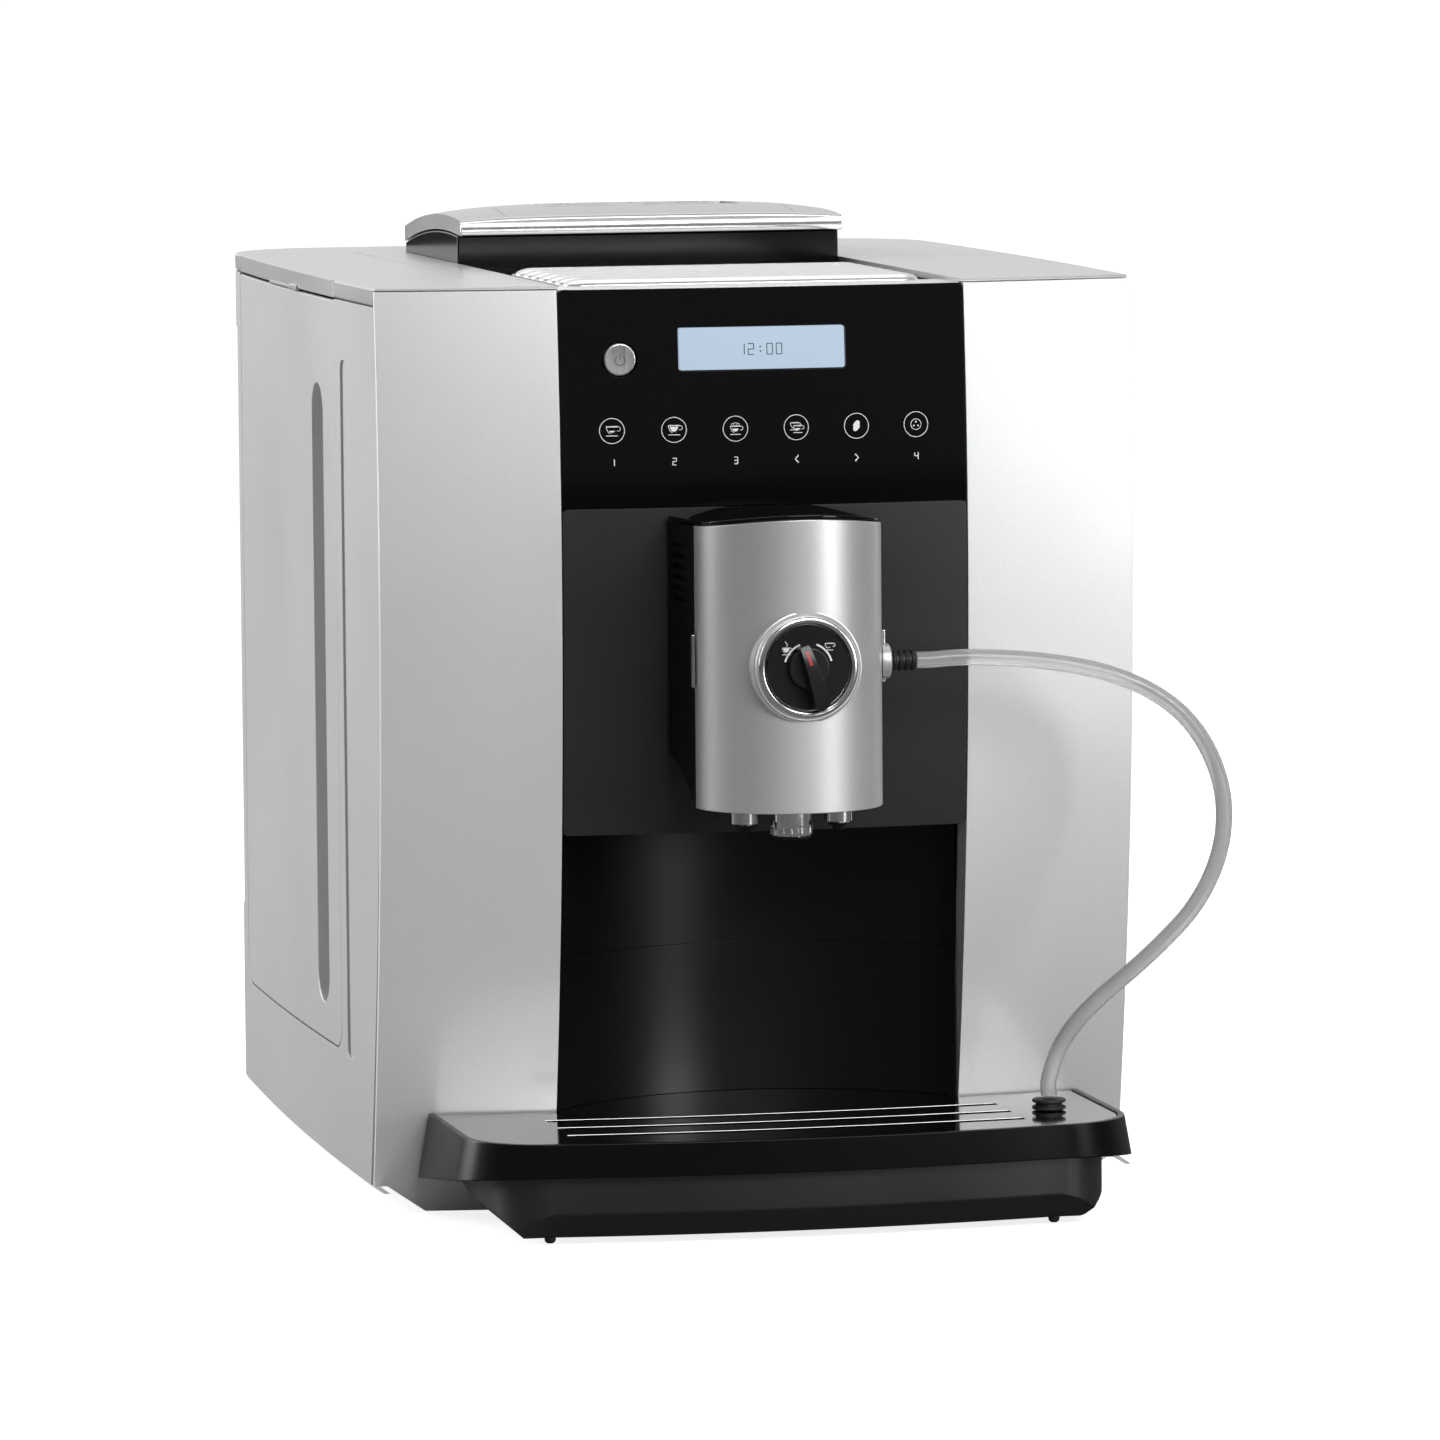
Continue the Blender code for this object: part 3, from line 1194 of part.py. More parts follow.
# Inside the body
def make_base(body):
    """The base pan, its four feet and the chassis over the tray's tunnel."""
    outline = [(x, y) for x, y in body_plan(BASE_INSET) if y > BASE_FRONT]
    half = side_x(BASE_FRONT) - BASE_INSET
    outline = [(half, BASE_FRONT)] + outline + [(-half, BASE_FRONT)]
    piece("base_pan", prism([outline], BASE_BOTTOM, BASE_TOP), "black_plastic", body)
    foot_x = BODY_HALF_WIDTH - FOOT_INSET
    places = {
        "foot_front_left": (-foot_x, FOOT_FRONT_Y),
        "foot_front_right": (foot_x, FOOT_FRONT_Y),
        "foot_rear_left": (-foot_x + FOOT_REAR_STEP, FOOT_REAR_Y),
        "foot_rear_right": (foot_x - FOOT_REAR_STEP, FOOT_REAR_Y),
    }
    for name, (x, y) in places.items():
        top = BASE_BOTTOM - TOUCH_GAP
        profile = [(0, 0), (FOOT_RADIUS - top / 4, 0), (FOOT_RADIUS, top / 4), (FOOT_RADIUS, top), (0, top)]
        piece(name, turned(profile, (x, y, 0)), "rubber", body)
    inner, outer = CHASSIS_INNER_X, CHASSIS_INNER_X + CHASSIS_WALL
    low = BASE_TOP + TOUCH_GAP
    arch = [
        (-outer, low),
        (-inner, low),
        (-inner, CHASSIS_ROOF - CHASSIS_WALL),
        (inner, CHASSIS_ROOF - CHASSIS_WALL),
        (inner, low),
        (outer, low),
        (outer, CHASSIS_ROOF),
        (-outer, CHASSIS_ROOF),
    ]
    piece("chassis", prism([arch], CHASSIS_FRONT, CHASSIS_REAR, "Y"), "black_plastic", body)


def make_engine(body):
    """The grinder, brew unit, boiler and pump, each standing on what carries it."""
    deck = CHASSIS_ROOF + TOUCH_GAP
    burr_top = HOPPER_THROAT_Z - TOUCH_GAP
    profile = [
        (0, deck),
        (GRINDER_MOTOR_RADIUS, deck),
        (GRINDER_MOTOR_RADIUS, GRINDER_MOTOR_TOP),
        (GRINDER_BURR_RADIUS, GRINDER_MOTOR_TOP + GRINDER_BURR_RADIUS / 4),
        (GRINDER_BURR_RADIUS, burr_top - GRINDER_BURR_RADIUS / 4),
        (THROAT_HALF_WIDTH * math.sqrt(2), burr_top),
        (0, burr_top),
    ]
    piece("grinder", turned(profile, (0, GRINDER_Y, 0)), "engine_grey", body)
    brew = piece(
        "brew_unit", box((BREW_LEFT, BREW_FRONT, deck), (BREW_RIGHT, BREW_REAR, BREW_TOP)), "charcoal", body
    )
    centre = ((BREW_LEFT + BREW_RIGHT) / 2, (BREW_FRONT + BREW_REAR) / 2, 0)
    low, high = BREW_TOP - BREW_CYLINDER_HEIGHT / 2, BREW_TOP + BREW_CYLINDER_HEIGHT
    chamber = rod(BREW_CYLINDER_RADIUS, low, high, centre)
    join(brew, chamber, "chamber")
    boiler_top = deck + BOILER_HEIGHT
    boiler = piece(
        "boiler",
        box((-BOILER_LEFT, BOILER_FRONT, deck), (-BOILER_RIGHT, BOILER_REAR, boiler_top)),
        "engine_grey",
        body,
    )
    middle = (BOILER_FRONT + BOILER_REAR) / 2
    for label, x in (("inlet", -BOILER_LEFT), ("outlet", -BOILER_RIGHT)):
        inward = 1 if x == -BOILER_LEFT else -1
        place = (x + inward * 3 * BOILER_STUB_RADIUS, middle, 0)
        low, high = boiler_top - BOILER_STUB, boiler_top + BOILER_STUB
        join(boiler, rod(BOILER_STUB_RADIUS, low, high, place, segments=12), label)
    axis_z = BASE_TOP + TOUCH_GAP + PUMP_SADDLE + PUMP_RADIUS
    half = PUMP_HALF_LENGTH
    pump_profile = [
        (0, -half - PUMP_NECK),
        (PUMP_NECK_RADIUS, -half - PUMP_NECK),
        (PUMP_NECK_RADIUS, -half),
        (PUMP_RADIUS, -half),
        (PUMP_RADIUS, half),
        (PUMP_NECK_RADIUS, half),
        (PUMP_NECK_RADIUS, half + PUMP_NECK),
        (0, half + PUMP_NECK),
    ]
    pump = piece("pump", turned(pump_profile, (PUMP_X, PUMP_Y, axis_z), "X"), "brass", body)
    saddle = box(
        (PUMP_X - half / 2, PUMP_Y - PUMP_RADIUS / 2, BASE_TOP + TOUCH_GAP),
        (PUMP_X + half / 2, PUMP_Y + PUMP_RADIUS / 2, axis_z),
    )
    join(pump, saddle, "saddle")


def make_recess(body):
    """The fixed upper half of the concave wall behind the cup."""
    outline = recess_strip(0, RECESS_WALL, PANEL_HALF_WIDTH - SEAM)
    mesh = prism([outline], DRAWER_TOP + RUNNING_GAP, PANEL_BOTTOM - SEAM)
    piece("splash_panel", mesh, "black_plastic", body)


# Drip tray
def bowed_front(half, front, radius):
    """The front of a tray piece in plan, from right to left: round corners and a bow between them."""
    bow_half = half - radius
    outline = []
    for turn in steps(0, -math.pi / 2, 5):
        outline.append((bow_half + radius * math.cos(turn), front + radius + radius * math.sin(turn)))
    for x in steps(bow_half, -bow_half, 10)[1:-1]:
        outline.append((x, front - TRAY_FRONT_BOW * (1 - (x / bow_half) ** 2)))
    for turn in steps(-math.pi / 2, -math.pi, 5):
        outline.append((-bow_half + radius * math.cos(turn), front + radius + radius * math.sin(turn)))
    return outline


def tray_plan(inset):
    """The tray's outline in plan, open to the columns behind."""
    half = TRAY_HALF_WIDTH - inset
    rear = tray_rear(TRAY_HALF_WIDTH)
    return [(half, rear)] + bowed_front(half, TRAY_FRONT + inset, TRAY_CORNER - inset) + [(-half, rear)]


def tray_rear(x):
    """Where the tray's pieces end before the columns."""
    return front_y(x, TRAY_TOP) - TRAY_COLUMN_GAP


def rear_edge(start, end, count):
    """The rear edge before the columns, between two places across."""
    return [(x, tray_rear(x)) for x in steps(start, end, count)]


def make_tray(body):
    """The tub, the frame round it, the slotted plate and the grounds container, which leave together."""
    make_tray_frame(body)
    make_tub(body)
    make_plate(body)
    make_drawer(body)


def make_tray_frame(body):
    """The frame: a band that flares downwards, with a ledge for the plate and a hole for the tub."""
    back = rear_edge(-TRAY_HALF_WIDTH, TRAY_HALF_WIDTH, 10)[1:-1]
    low_front, low_rear = TRAY_LOW_FRONT, TRAY_LOW_REAR
    rear_y = tray_rear(TRAY_HALF_WIDTH)
    mesh = prism([tray_plan(0) + back], TUB_BOTTOM, TRAY_TOP)

    def flare(co):
        share = (TRAY_TOP - co.z) / (TRAY_TOP - low_front)
        return (share * TRAY_DRAFT * co.x / TRAY_HALF_WIDTH, 0, 0)

    frame = piece("tray_frame", moved(mesh, flare), "black_plastic", body)
    wedge = [
        (TRAY_DEEPEST - OVERRUN, low_front),
        (TRAY_FRONT, low_front),
        (rear_y, low_rear),
        (rear_y + OVERRUN, low_rear),
        (rear_y + OVERRUN, -OVERRUN),
        (TRAY_DEEPEST - OVERRUN, -OVERRUN),
    ]
    reach = TRAY_HALF_WIDTH + OVERRUN
    cut(frame, prism([wedge], -reach, reach, "X"), "underside")
    inner = TRAY_HALF_WIDTH - TRAY_RIM
    plate_well = [(inner, rear_y + OVERRUN)] + tray_plan(TRAY_RIM)[1:-1] + [(-inner, rear_y + OVERRUN)]
    cut(frame, prism([plate_well], plate_ledge(), TRAY_TOP + OVERRUN), "plate_well")
    tub_half = TUB_HALF_WIDTH + SEAM
    tub_hole = [(tub_half, rear_y + OVERRUN)]
    tub_hole += bowed_front(tub_half, TRAY_FRONT + TUB_FRONT_STEP - SEAM, TUB_CORNER + SEAM)
    tub_hole += [(-tub_half, rear_y + OVERRUN)]
    cut(frame, prism([tub_hole], -OVERRUN, TRAY_TOP + OVERRUN), "tub_hole")


def plate_ledge():
    """The height that the plate lies on."""
    return PLATE_TOP - PLATE_THICKNESS - TOUCH_GAP


def make_tub(body):
    """The tub: a bowed front band over a slanted underside, and a narrow rear part inside the machine."""
    ledge = plate_ledge()
    front = TRAY_FRONT + TUB_FRONT_STEP
    bottom_front = front + TUB_CHAMFER
    inner_half = CENTRE_HALF_WIDTH - 2 * RUNNING_GAP
    wing_rear = tray_rear(TUB_HALF_WIDTH)
    drawer_rear = drawer_front(0) + DRAWER_DEPTH
    tub_rear = drawer_rear + TUB_WALL + RUNNING_GAP
    slope_end = tray_rear(0)
    bow_half = TUB_HALF_WIDTH - TUB_CORNER

    def bow(co):
        share = min(max((slope_end - co.y) / (slope_end - front), 0), 1)
        return (0, -share * TRAY_FRONT_BOW * max(1 - (co.x / bow_half) ** 2, 0), 0)

    profile = [
        (front, ledge),
        (front, TUB_BAND_LOW),
        (bottom_front, TUB_BOTTOM),
        (slope_end, TUB_REAR_BOTTOM),
        (tub_rear, TUB_REAR_BOTTOM),
        (tub_rear, ledge),
    ]
    mesh = prism([profile], -TUB_HALF_WIDTH, TUB_HALF_WIDTH, "X")
    across = steps(-bow_half, bow_half, 10)
    tub = piece("drip_tub", moved(sliced(mesh, "X", across), bow), "black_plastic", body)
    neck = tray_rear(CENTRE_HALF_WIDTH)
    plan = bowed_front(TUB_HALF_WIDTH, front, TUB_CORNER)
    plan += [(-TUB_HALF_WIDTH, wing_rear), (-inner_half, neck), (-inner_half, tub_rear + OVERRUN)]
    plan += [(inner_half, tub_rear + OVERRUN), (inner_half, neck), (TUB_HALF_WIDTH, wing_rear)]
    ahead = [(x, y - OVERRUN if abs(x) < bow_half - OVERRUN / 4 else y) for x, y in plan[:22]]
    keep(tub, prism([ahead + plan[22:]], -OVERRUN, TRAY_TOP + OVERRUN), "plan")
    chamfer = TUB_CHAMFER
    for side, label in ((-1, "left"), (1, "right")):
        lean = (TUB_BAND_LOW - TUB_BOTTOM) / chamfer
        wing = [
            (side * (TUB_HALF_WIDTH + OVERRUN), TUB_BAND_LOW + OVERRUN * lean),
            (side * (TUB_HALF_WIDTH - chamfer - OVERRUN), TUB_BOTTOM - OVERRUN * lean),
            (side * (TUB_HALF_WIDTH + OVERRUN), TUB_BOTTOM - OVERRUN),
        ]
        cut(tub, prism([wing], front - OVERRUN, tub_rear, "Y"), "chamfer_" + label)
    wall = TUB_WALL
    inside = [
        (front + wall, ledge + OVERRUN),
        (front + wall, TUB_BAND_LOW + wall / 2),
        (bottom_front + wall / 2, TUB_BOTTOM + wall),
        (slope_end, TUB_REAR_BOTTOM + wall),
        (tub_rear - wall, TUB_REAR_BOTTOM + wall),
        (tub_rear - wall, ledge + OVERRUN),
    ]
    hollow = prism([inside], -TUB_HALF_WIDTH, TUB_HALF_WIDTH, "X")
    pocket = cutter("drip_tub_inside", moved(sliced(hollow, "X", across), bow), body)
    wide = TUB_HALF_WIDTH - chamfer - 3 * wall
    pocket_plan = bowed_front(wide, front + wall - TRAY_FRONT_BOW, TUB_CORNER / 2)
    pocket_plan += [
        (-wide, neck - 2 * wall),
        (-inner_half + wall, neck - 2 * wall),
        (-inner_half + wall, tub_rear),
        (inner_half - wall, tub_rear),
        (inner_half - wall, neck - 2 * wall),
        (wide, neck - 2 * wall),
    ]
    pocket_keep = cutter("drip_tub_pocket", prism([pocket_plan], -OVERRUN, ledge + 2 * OVERRUN), body)
    combine(pocket, pocket_keep, "INTERSECT")
    combine(tub, pocket, "DIFFERENCE")
    for side, label in ((-1, "left"), (1, "right")):
        place = (side * TUB_NUB_X, bottom_front + TUB_NUB_RADIUS, 0)
        join(tub, rod(TUB_NUB_RADIUS, TUB_NUB_GAP, TUB_BOTTOM + wall / 2, place, segments=12), "nub_" + label)


def drawer_front(x):
    """The front face of the grounds container, which carries on the concave wall below the fixed half."""
    return recess_y(x)


def make_plate(body):
    """The mirror-steel plate with its three slots, which runs back under the recess to the container."""
    rim = TRAY_RIM + SEAM
    front = tray_plan(rim)[1:-1]
    half = TRAY_HALF_WIDTH - rim
    edge = PANEL_HALF_WIDTH - RUNNING_GAP
    right = rear_edge(half, CENTRE_HALF_WIDTH, 3)
    left = rear_edge(-CENTRE_HALF_WIDTH, -half, 3)
    hollow = [(x, recess_y(x) - SEAM) for x in steps(-edge, edge, 12)]
    outline = list(reversed(front)) + right + list(reversed(hollow)) + left
    slots = []
    for slot in range(SLOT_COUNT):
        y = SLOT_FIRST_Y + slot * SLOT_PITCH
        low, high = y - SLOT_WIDTH / 2, y + SLOT_WIDTH / 2
        slots.append(rounded(-SLOT_HALF_LENGTH, low, SLOT_HALF_LENGTH, high, SLOT_WIDTH / 8, 1))
    low = PLATE_TOP - PLATE_THICKNESS
    piece("drip_plate", prism([outline] + slots, low, PLATE_TOP), "mirror_steel", body)


def make_drawer(body):
    """The grounds container: its concave front closes the lower half of the recess."""
    wide = PANEL_HALF_WIDTH - RUNNING_GAP
    low = PLATE_TOP + TOUCH_GAP
    wall = recess_strip(0, RECESS_WALL, wide)
    drawer = piece("grounds_container", prism([wall], low, DRAWER_TOP), "black_plastic", body)
    rear = drawer_front(0) + DRAWER_DEPTH
    half = DRAWER_HALF_WIDTH
    front = [(x, recess_y(x, RECESS_WALL / 2)) for x in steps(-half, half, 10)]
    bin_outline = front + [(half, rear), (-half, rear)]
    join(drawer, prism([bin_outline], low, DRAWER_TOP), "bin")
    back_start = drawer_front(0) + RECESS_WALL
    join(drawer, box((-half, back_start, DRAWER_FLOOR), (half, rear, low + DRAWER_WALL)), "well")
    thick = DRAWER_WALL
    inner = [(x, recess_y(x, RECESS_WALL + thick / 2)) for x in steps(-half + thick, half - thick, 8)]
    inner += [(half - thick, rear - thick), (-half + thick, rear - thick)]
    cut(drawer, prism([inner], low + 2 * thick, DRAWER_TOP + OVERRUN), "inside")
    deep = box(
        (-half + thick, back_start + thick, DRAWER_FLOOR + thick), (half - thick, rear - thick, low + 3 * thick)
    )
    cut(drawer, deep, "deep")


# Spout
def spout_arch(x):
    """The spout's vaulted top edge, highest in the middle."""
    return SPOUT_ARCH * (1 - (x / SPOUT_HALF_WIDTH) ** 2)


def make_spout(body):
    """The carriage with its core, the silver cover, the cap and the clips."""
    gap = SEAM
    inner = SPOUT_WALL + gap
    shoulder = SPOUT_Y + gap
    core = spout_arc(inner)
    guide_half = GUIDE_HALF_WIDTH + RUNNING_GAP
    guide_deep = CARRIAGE_BACK - GUIDE_REACH - RUNNING_GAP
    outline = [
        (-CARRIAGE_BACK_HALF_WIDTH, CARRIAGE_BACK),
        (-SPOUT_HALF_WIDTH, shoulder),
        (SPOUT_HALF_WIDTH, shoulder),
        (CARRIAGE_BACK_HALF_WIDTH, CARRIAGE_BACK),
        (guide_half, CARRIAGE_BACK),
        (guide_half, guide_deep),
        (-guide_half, guide_deep),
        (-guide_half, CARRIAGE_BACK),
    ]
    low = SPOUT_LOW + SPOUT_CORE_LIFT
    high = SPOUT_TOP - gap
    carriage = piece("spout_carriage", prism([outline], low + CARRIAGE_HEEL / 6, high), "black_plastic", body)
    reach = CARRIAGE_BACK_HALF_WIDTH + OVERRUN
    heel = [
        (CARRIAGE_BACK + OVERRUN, low + 1.5 * CARRIAGE_HEEL),
        (shoulder - OVERRUN, low - CARRIAGE_HEEL / 6),
        (shoulder - OVERRUN, low - OVERRUN),
        (CARRIAGE_BACK + OVERRUN, low - OVERRUN),
    ]
    cut(carriage, prism([heel], -reach, reach, "X"), "heel")
    root = shoulder + SPOUT_WALL
    core_outline = [(core[0][0], root)] + core + [(core[-1][0], root)]
    join(carriage, prism([core_outline], low, high - SEAM), "core")
    grooves = []
    for side in (-1, 1):
        for rib in range(CARRIAGE_RIBS):
            z = CARRIAGE_RIB_LOW + rib * CARRIAGE_RIB_PITCH
            near = side * (SPOUT_HALF_WIDTH + CARRIAGE_RIB_DEPTH)
            far = side * reach
            low_x, high_x = sorted((near, far))
            rib_low = (low_x, shoulder - CARRIAGE_RIB_WIDTH, z)
            rib_high = (high_x, CARRIAGE_BACK + OVERRUN, z + CARRIAGE_RIB_WIDTH)
            grooves.append((rib_low, rib_high))
    cut(carriage, boxes(grooves), "ribs")
    shaft_place = BEZEL_FACE + DIAL_SINK + DIAL_THICKNESS + SHAFT_LENGTH + RUNNING_GAP
    shaft_hole = rod(SHAFT_RADIUS + RUNNING_GAP, BEZEL_FACE - OVERRUN, shaft_place, (0, 0, KNOB_Z), "Y", 14)
    cut(carriage, shaft_hole, "shaft")

    shell = spout_arc(0) + list(reversed(spout_arc(SPOUT_WALL)))
    mesh = prism([shell], SPOUT_LOW, SPOUT_TOP)
    moved(mesh, lambda co: (0, 0, spout_arch(co.x) if co.z > KNOB_Z else 0))
    cover = piece("spout_cover", mesh, "silver", body)
    cover_hole = rod(SHAFT_RADIUS + RUNNING_GAP, BEZEL_FACE - OVERRUN, shaft_place, (0, 0, KNOB_Z), "Y", 14)
    cut(cover, cover_hole, "shaft")

    cap_outline = [(-CARRIAGE_BACK_HALF_WIDTH, CARRIAGE_BACK)] + spout_arc(0)
    cap_outline += [(CARRIAGE_BACK_HALF_WIDTH, CARRIAGE_BACK)]
    cap_outline += [(guide_half, CARRIAGE_BACK), (guide_half, guide_deep)]
    cap_outline += [(-guide_half, guide_deep), (-guide_half, CARRIAGE_BACK)]
    cap_low = SPOUT_TOP + TOUCH_GAP
    cap = prism([cap_outline], cap_low, cap_low + CAP_THICKNESS)
    sliced(cap, "X", steps(-SPOUT_HALF_WIDTH, SPOUT_HALF_WIDTH, 8)[1:-1])
    moved(cap, lambda co: (0, 0, spout_arch(min(abs(co.x), SPOUT_HALF_WIDTH))))
    piece("spout_cap", cap, "gloss_black", body)

    for side, name in ((-1, "spout_clip_left"), (1, "spout_clip_right")):
        near = SPOUT_HALF_WIDTH + TOUCH_GAP
        low_x, high_x = sorted((side * near, side * (near + CLIP_THICKNESS)))
        clip = box(
            (low_x, SPOUT_Y - CLIP_WIDTH, CLIP_LOW),
            (high_x, SPOUT_Y, CLIP_LOW + CLIP_HEIGHT),
        )
        made = piece(name, clip, "chrome", body)
        round_edges(made, CLIP_THICKNESS / 4)


def spout_envelope(grow, low, high):
    """The space that the spout's cover fills, grown a little, for fitting what sits on it."""
    half = SPOUT_HALF_WIDTH + grow
    return prism([spout_arc(-grow, 24) + [(half, CARRIAGE_BACK), (-half, CARRIAGE_BACK)]], low, high)


def make_knob(spout_body, knob_body):
    """The chrome bezel and dial on the cover, and the knob that turns in them."""
    place = (0, 0, KNOB_Z)
    root = SPOUT_Y - SPOUT_REACH / 2
    profile = [
        (BEZEL_BORE, BEZEL_FACE + BEZEL_LIP / 2),
        (BEZEL_BORE, root),
        (BEZEL_FOOT_RADIUS, root),
        (BEZEL_FOOT_RADIUS, BEZEL_FACE + 2.5 * BEZEL_LIP),
        (BEZEL_RADIUS, BEZEL_FACE + BEZEL_LIP),
        (BEZEL_RADIUS, BEZEL_FACE + BEZEL_LIP / 2),
        ((BEZEL_RADIUS + BEZEL_BORE) / 2, BEZEL_FACE),
    ]
    bezel = piece("knob_bezel", turned(profile, place, "Y", 40), "chrome", spout_body)
    reach = BEZEL_FOOT_RADIUS + OVERRUN
    cut(bezel, spout_envelope(TOUCH_GAP, KNOB_Z - reach, KNOB_Z + reach), "seat")

    dial_front = BEZEL_FACE + DIAL_SINK
    bore = SHAFT_RADIUS + RUNNING_GAP
    dial_profile = [
        (bore, dial_front),
        (bore, dial_front + DIAL_THICKNESS),
        (DIAL_RADIUS, dial_front + DIAL_THICKNESS),
        (DIAL_RADIUS, dial_front),
    ]
    piece("knob_dial", turned(dial_profile, place, "Y", 32), "black_plastic", spout_body)

    hub_back = dial_front - TOUCH_GAP
    hub_profile = [
        (0, hub_back - HUB_HEIGHT),
        (HUB_RADIUS, hub_back - HUB_HEIGHT),
        (HUB_RADIUS, hub_back),
        (SHAFT_RADIUS, hub_back),
        (SHAFT_RADIUS, dial_front + DIAL_THICKNESS + SHAFT_LENGTH),
        (0, dial_front + DIAL_THICKNESS + SHAFT_LENGTH),
    ]
    knob = piece("selector_knob", turned(hub_profile, place, "Y", 24), "black_plastic", knob_body)
    lean = math.radians(GRIP_BAR_LEAN)
    bar_outline = []
    for across, up in (
        (-GRIP_BAR_TOP_HALF, GRIP_BAR_UP),
        (-GRIP_BAR_LOW_HALF, -GRIP_BAR_DOWN),
        (GRIP_BAR_LOW_HALF, -GRIP_BAR_DOWN),
        (GRIP_BAR_TOP_HALF, GRIP_BAR_UP),
    ):
        x = across * math.cos(lean) - up * math.sin(lean)
        z = across * math.sin(lean) + up * math.cos(lean)
        bar_outline.append((x, KNOB_Z + z))
    bar = prism([bar_outline], hub_back - GRIP_BAR_HEIGHT, hub_back - HUB_HEIGHT / 4, "Y")
    join(knob, bar, "grip")


def make_nozzles(body):
    """Two coffee nozzles and the milk froth nozzle, hung under the carriage's core."""
    top = SPOUT_LOW + SPOUT_CORE_LIFT - NOZZLE_SEAT
    for side, name in ((-1, "coffee_nozzle_left"), (1, "coffee_nozzle_right")):
        low = SPOUT_LOW - COFFEE_NOZZLE_DROP
        collar = low + COFFEE_NOZZLE_DROP / 3
        profile = [
            (0, low),
            (COFFEE_TIP_RADIUS / 2, low),
            (COFFEE_TIP_RADIUS, collar - COFFEE_NOZZLE_DROP / 8),
            (COFFEE_TIP_RADIUS, collar),
            (COFFEE_NOZZLE_RADIUS, collar),
            (COFFEE_NOZZLE_RADIUS, top),
            (0, top),
        ]
        piece(name, turned(profile, (side * COFFEE_NOZZLE_X, NOZZLE_Y, 0), "Z", 20), "chrome", body)
    low = SPOUT_LOW - MILK_NOZZLE_DROP
    bore = MILK_NOZZLE_RADIUS - SPOUT_WALL
    profile = [
        (0, low + MILK_NOZZLE_DROP / 2),
        (bore, low + MILK_NOZZLE_DROP / 2),
        (bore, low),
        (MILK_NOZZLE_RADIUS - SPOUT_WALL / 4, low),
        (MILK_NOZZLE_RADIUS, low + SPOUT_WALL / 2),
        (MILK_NOZZLE_RADIUS, top),
        (0, top),
    ]
    piece("milk_nozzle", turned(profile, (0, NOZZLE_Y, 0), "Z", 24), "chrome", body)


def make_connector(body):
    """The conical milk connector on the spout's right side and the ribbed sleeve in it."""
    place = (0, CONNECTOR_Y, CONNECTOR_Z)
    profile = [
        (0, CONNECTOR_ROOT_X),
        (CONNECTOR_ROOT_RADIUS, CONNECTOR_ROOT_X),
        (CONNECTOR_RADIUS, CONNECTOR_FACE_X - CONNECTOR_ROOT_RADIUS),
        (CONNECTOR_RADIUS, CONNECTOR_FACE_X),
        (0, CONNECTOR_FACE_X),
    ]
    connector = piece("milk_connector", turned(profile, place, "X", 24), "silver", body)
    reach = CONNECTOR_RADIUS + OVERRUN
    cut(connector, spout_envelope(TOUCH_GAP, CONNECTOR_Z - reach, CONNECTOR_Z + reach), "seat")
    clip = CLIP_THICKNESS + 2 * TOUCH_GAP
    clip_room = box(
        (SPOUT_HALF_WIDTH - clip, SPOUT_Y - CLIP_WIDTH - TOUCH_GAP, CLIP_LOW - TOUCH_GAP),
        (SPOUT_HALF_WIDTH + clip, SPOUT_Y + OVERRUN, CLIP_LOW + CLIP_HEIGHT + TOUCH_GAP),
    )
    cut(connector, clip_room, "clip_room")

    start = CONNECTOR_FACE_X + TOUCH_GAP
    pitch = SLEEVE_LENGTH / SLEEVE_RIBS
    sleeve = [(0, start), (SLEEVE_RADIUS, start)]
    for rib in range(SLEEVE_RIBS):
        base = start + rib * pitch
        sleeve += [
            (SLEEVE_RADIUS, base + pitch / 4),
            (SLEEVE_RIB_RADIUS, base + pitch / 2),
            (SLEEVE_RIB_RADIUS, base + 3 * pitch / 4),
            (SLEEVE_RADIUS, base + pitch * 7 / 8),
        ]
    sleeve += [(SLEEVE_RADIUS, start + SLEEVE_LENGTH), (0, start + SLEEVE_LENGTH)]
    piece("hose_sleeve", turned(sleeve, place, "X", 16), "rubber", body)


def hose_points():
    """The hose's route, chosen by hand from the connector over to its foot on the tray."""
    start = CONNECTOR_FACE_X + 2 * TOUCH_GAP + SLEEVE_LENGTH
    foot_top = PLATE_TOP + TOUCH_GAP + HOSE_FOOT_HEIGHT + 3 * TOUCH_GAP
    return [
        (start, CONNECTOR_Y, CONNECTOR_Z),
        (start + HOSE_RADIUS * 2, CONNECTOR_Y, CONNECTOR_Z),
        (0.0700, -0.0540, 0.2203),
        (0.0880, -0.0565, 0.2196),
        (0.1060, -0.0600, 0.2176),
        (0.1240, -0.0638, 0.2137),
        (0.1400, -0.0675, 0.2070),
        (0.1530, -0.0708, 0.1972),
        (0.1622, -0.0738, 0.1838),
        (0.1672, -0.0762, 0.1680),
        (0.1672, -0.0780, 0.1518),
        (0.1627, -0.0787, 0.1362),
        (0.1545, -0.0778, 0.1218),
        (0.1435, -0.0745, 0.1090),
        (0.1325, -0.0690, 0.0975),
        (0.1225, -0.0610, 0.0868),
        (0.1145, -0.0525, 0.0758),
        (0.1095, -0.0450, 0.0645),
        (HOSE_FOOT_X, HOSE_FOOT_Y, foot_top + HOSE_RADIUS * 2),
        (HOSE_FOOT_X, HOSE_FOOT_Y, foot_top),
    ]


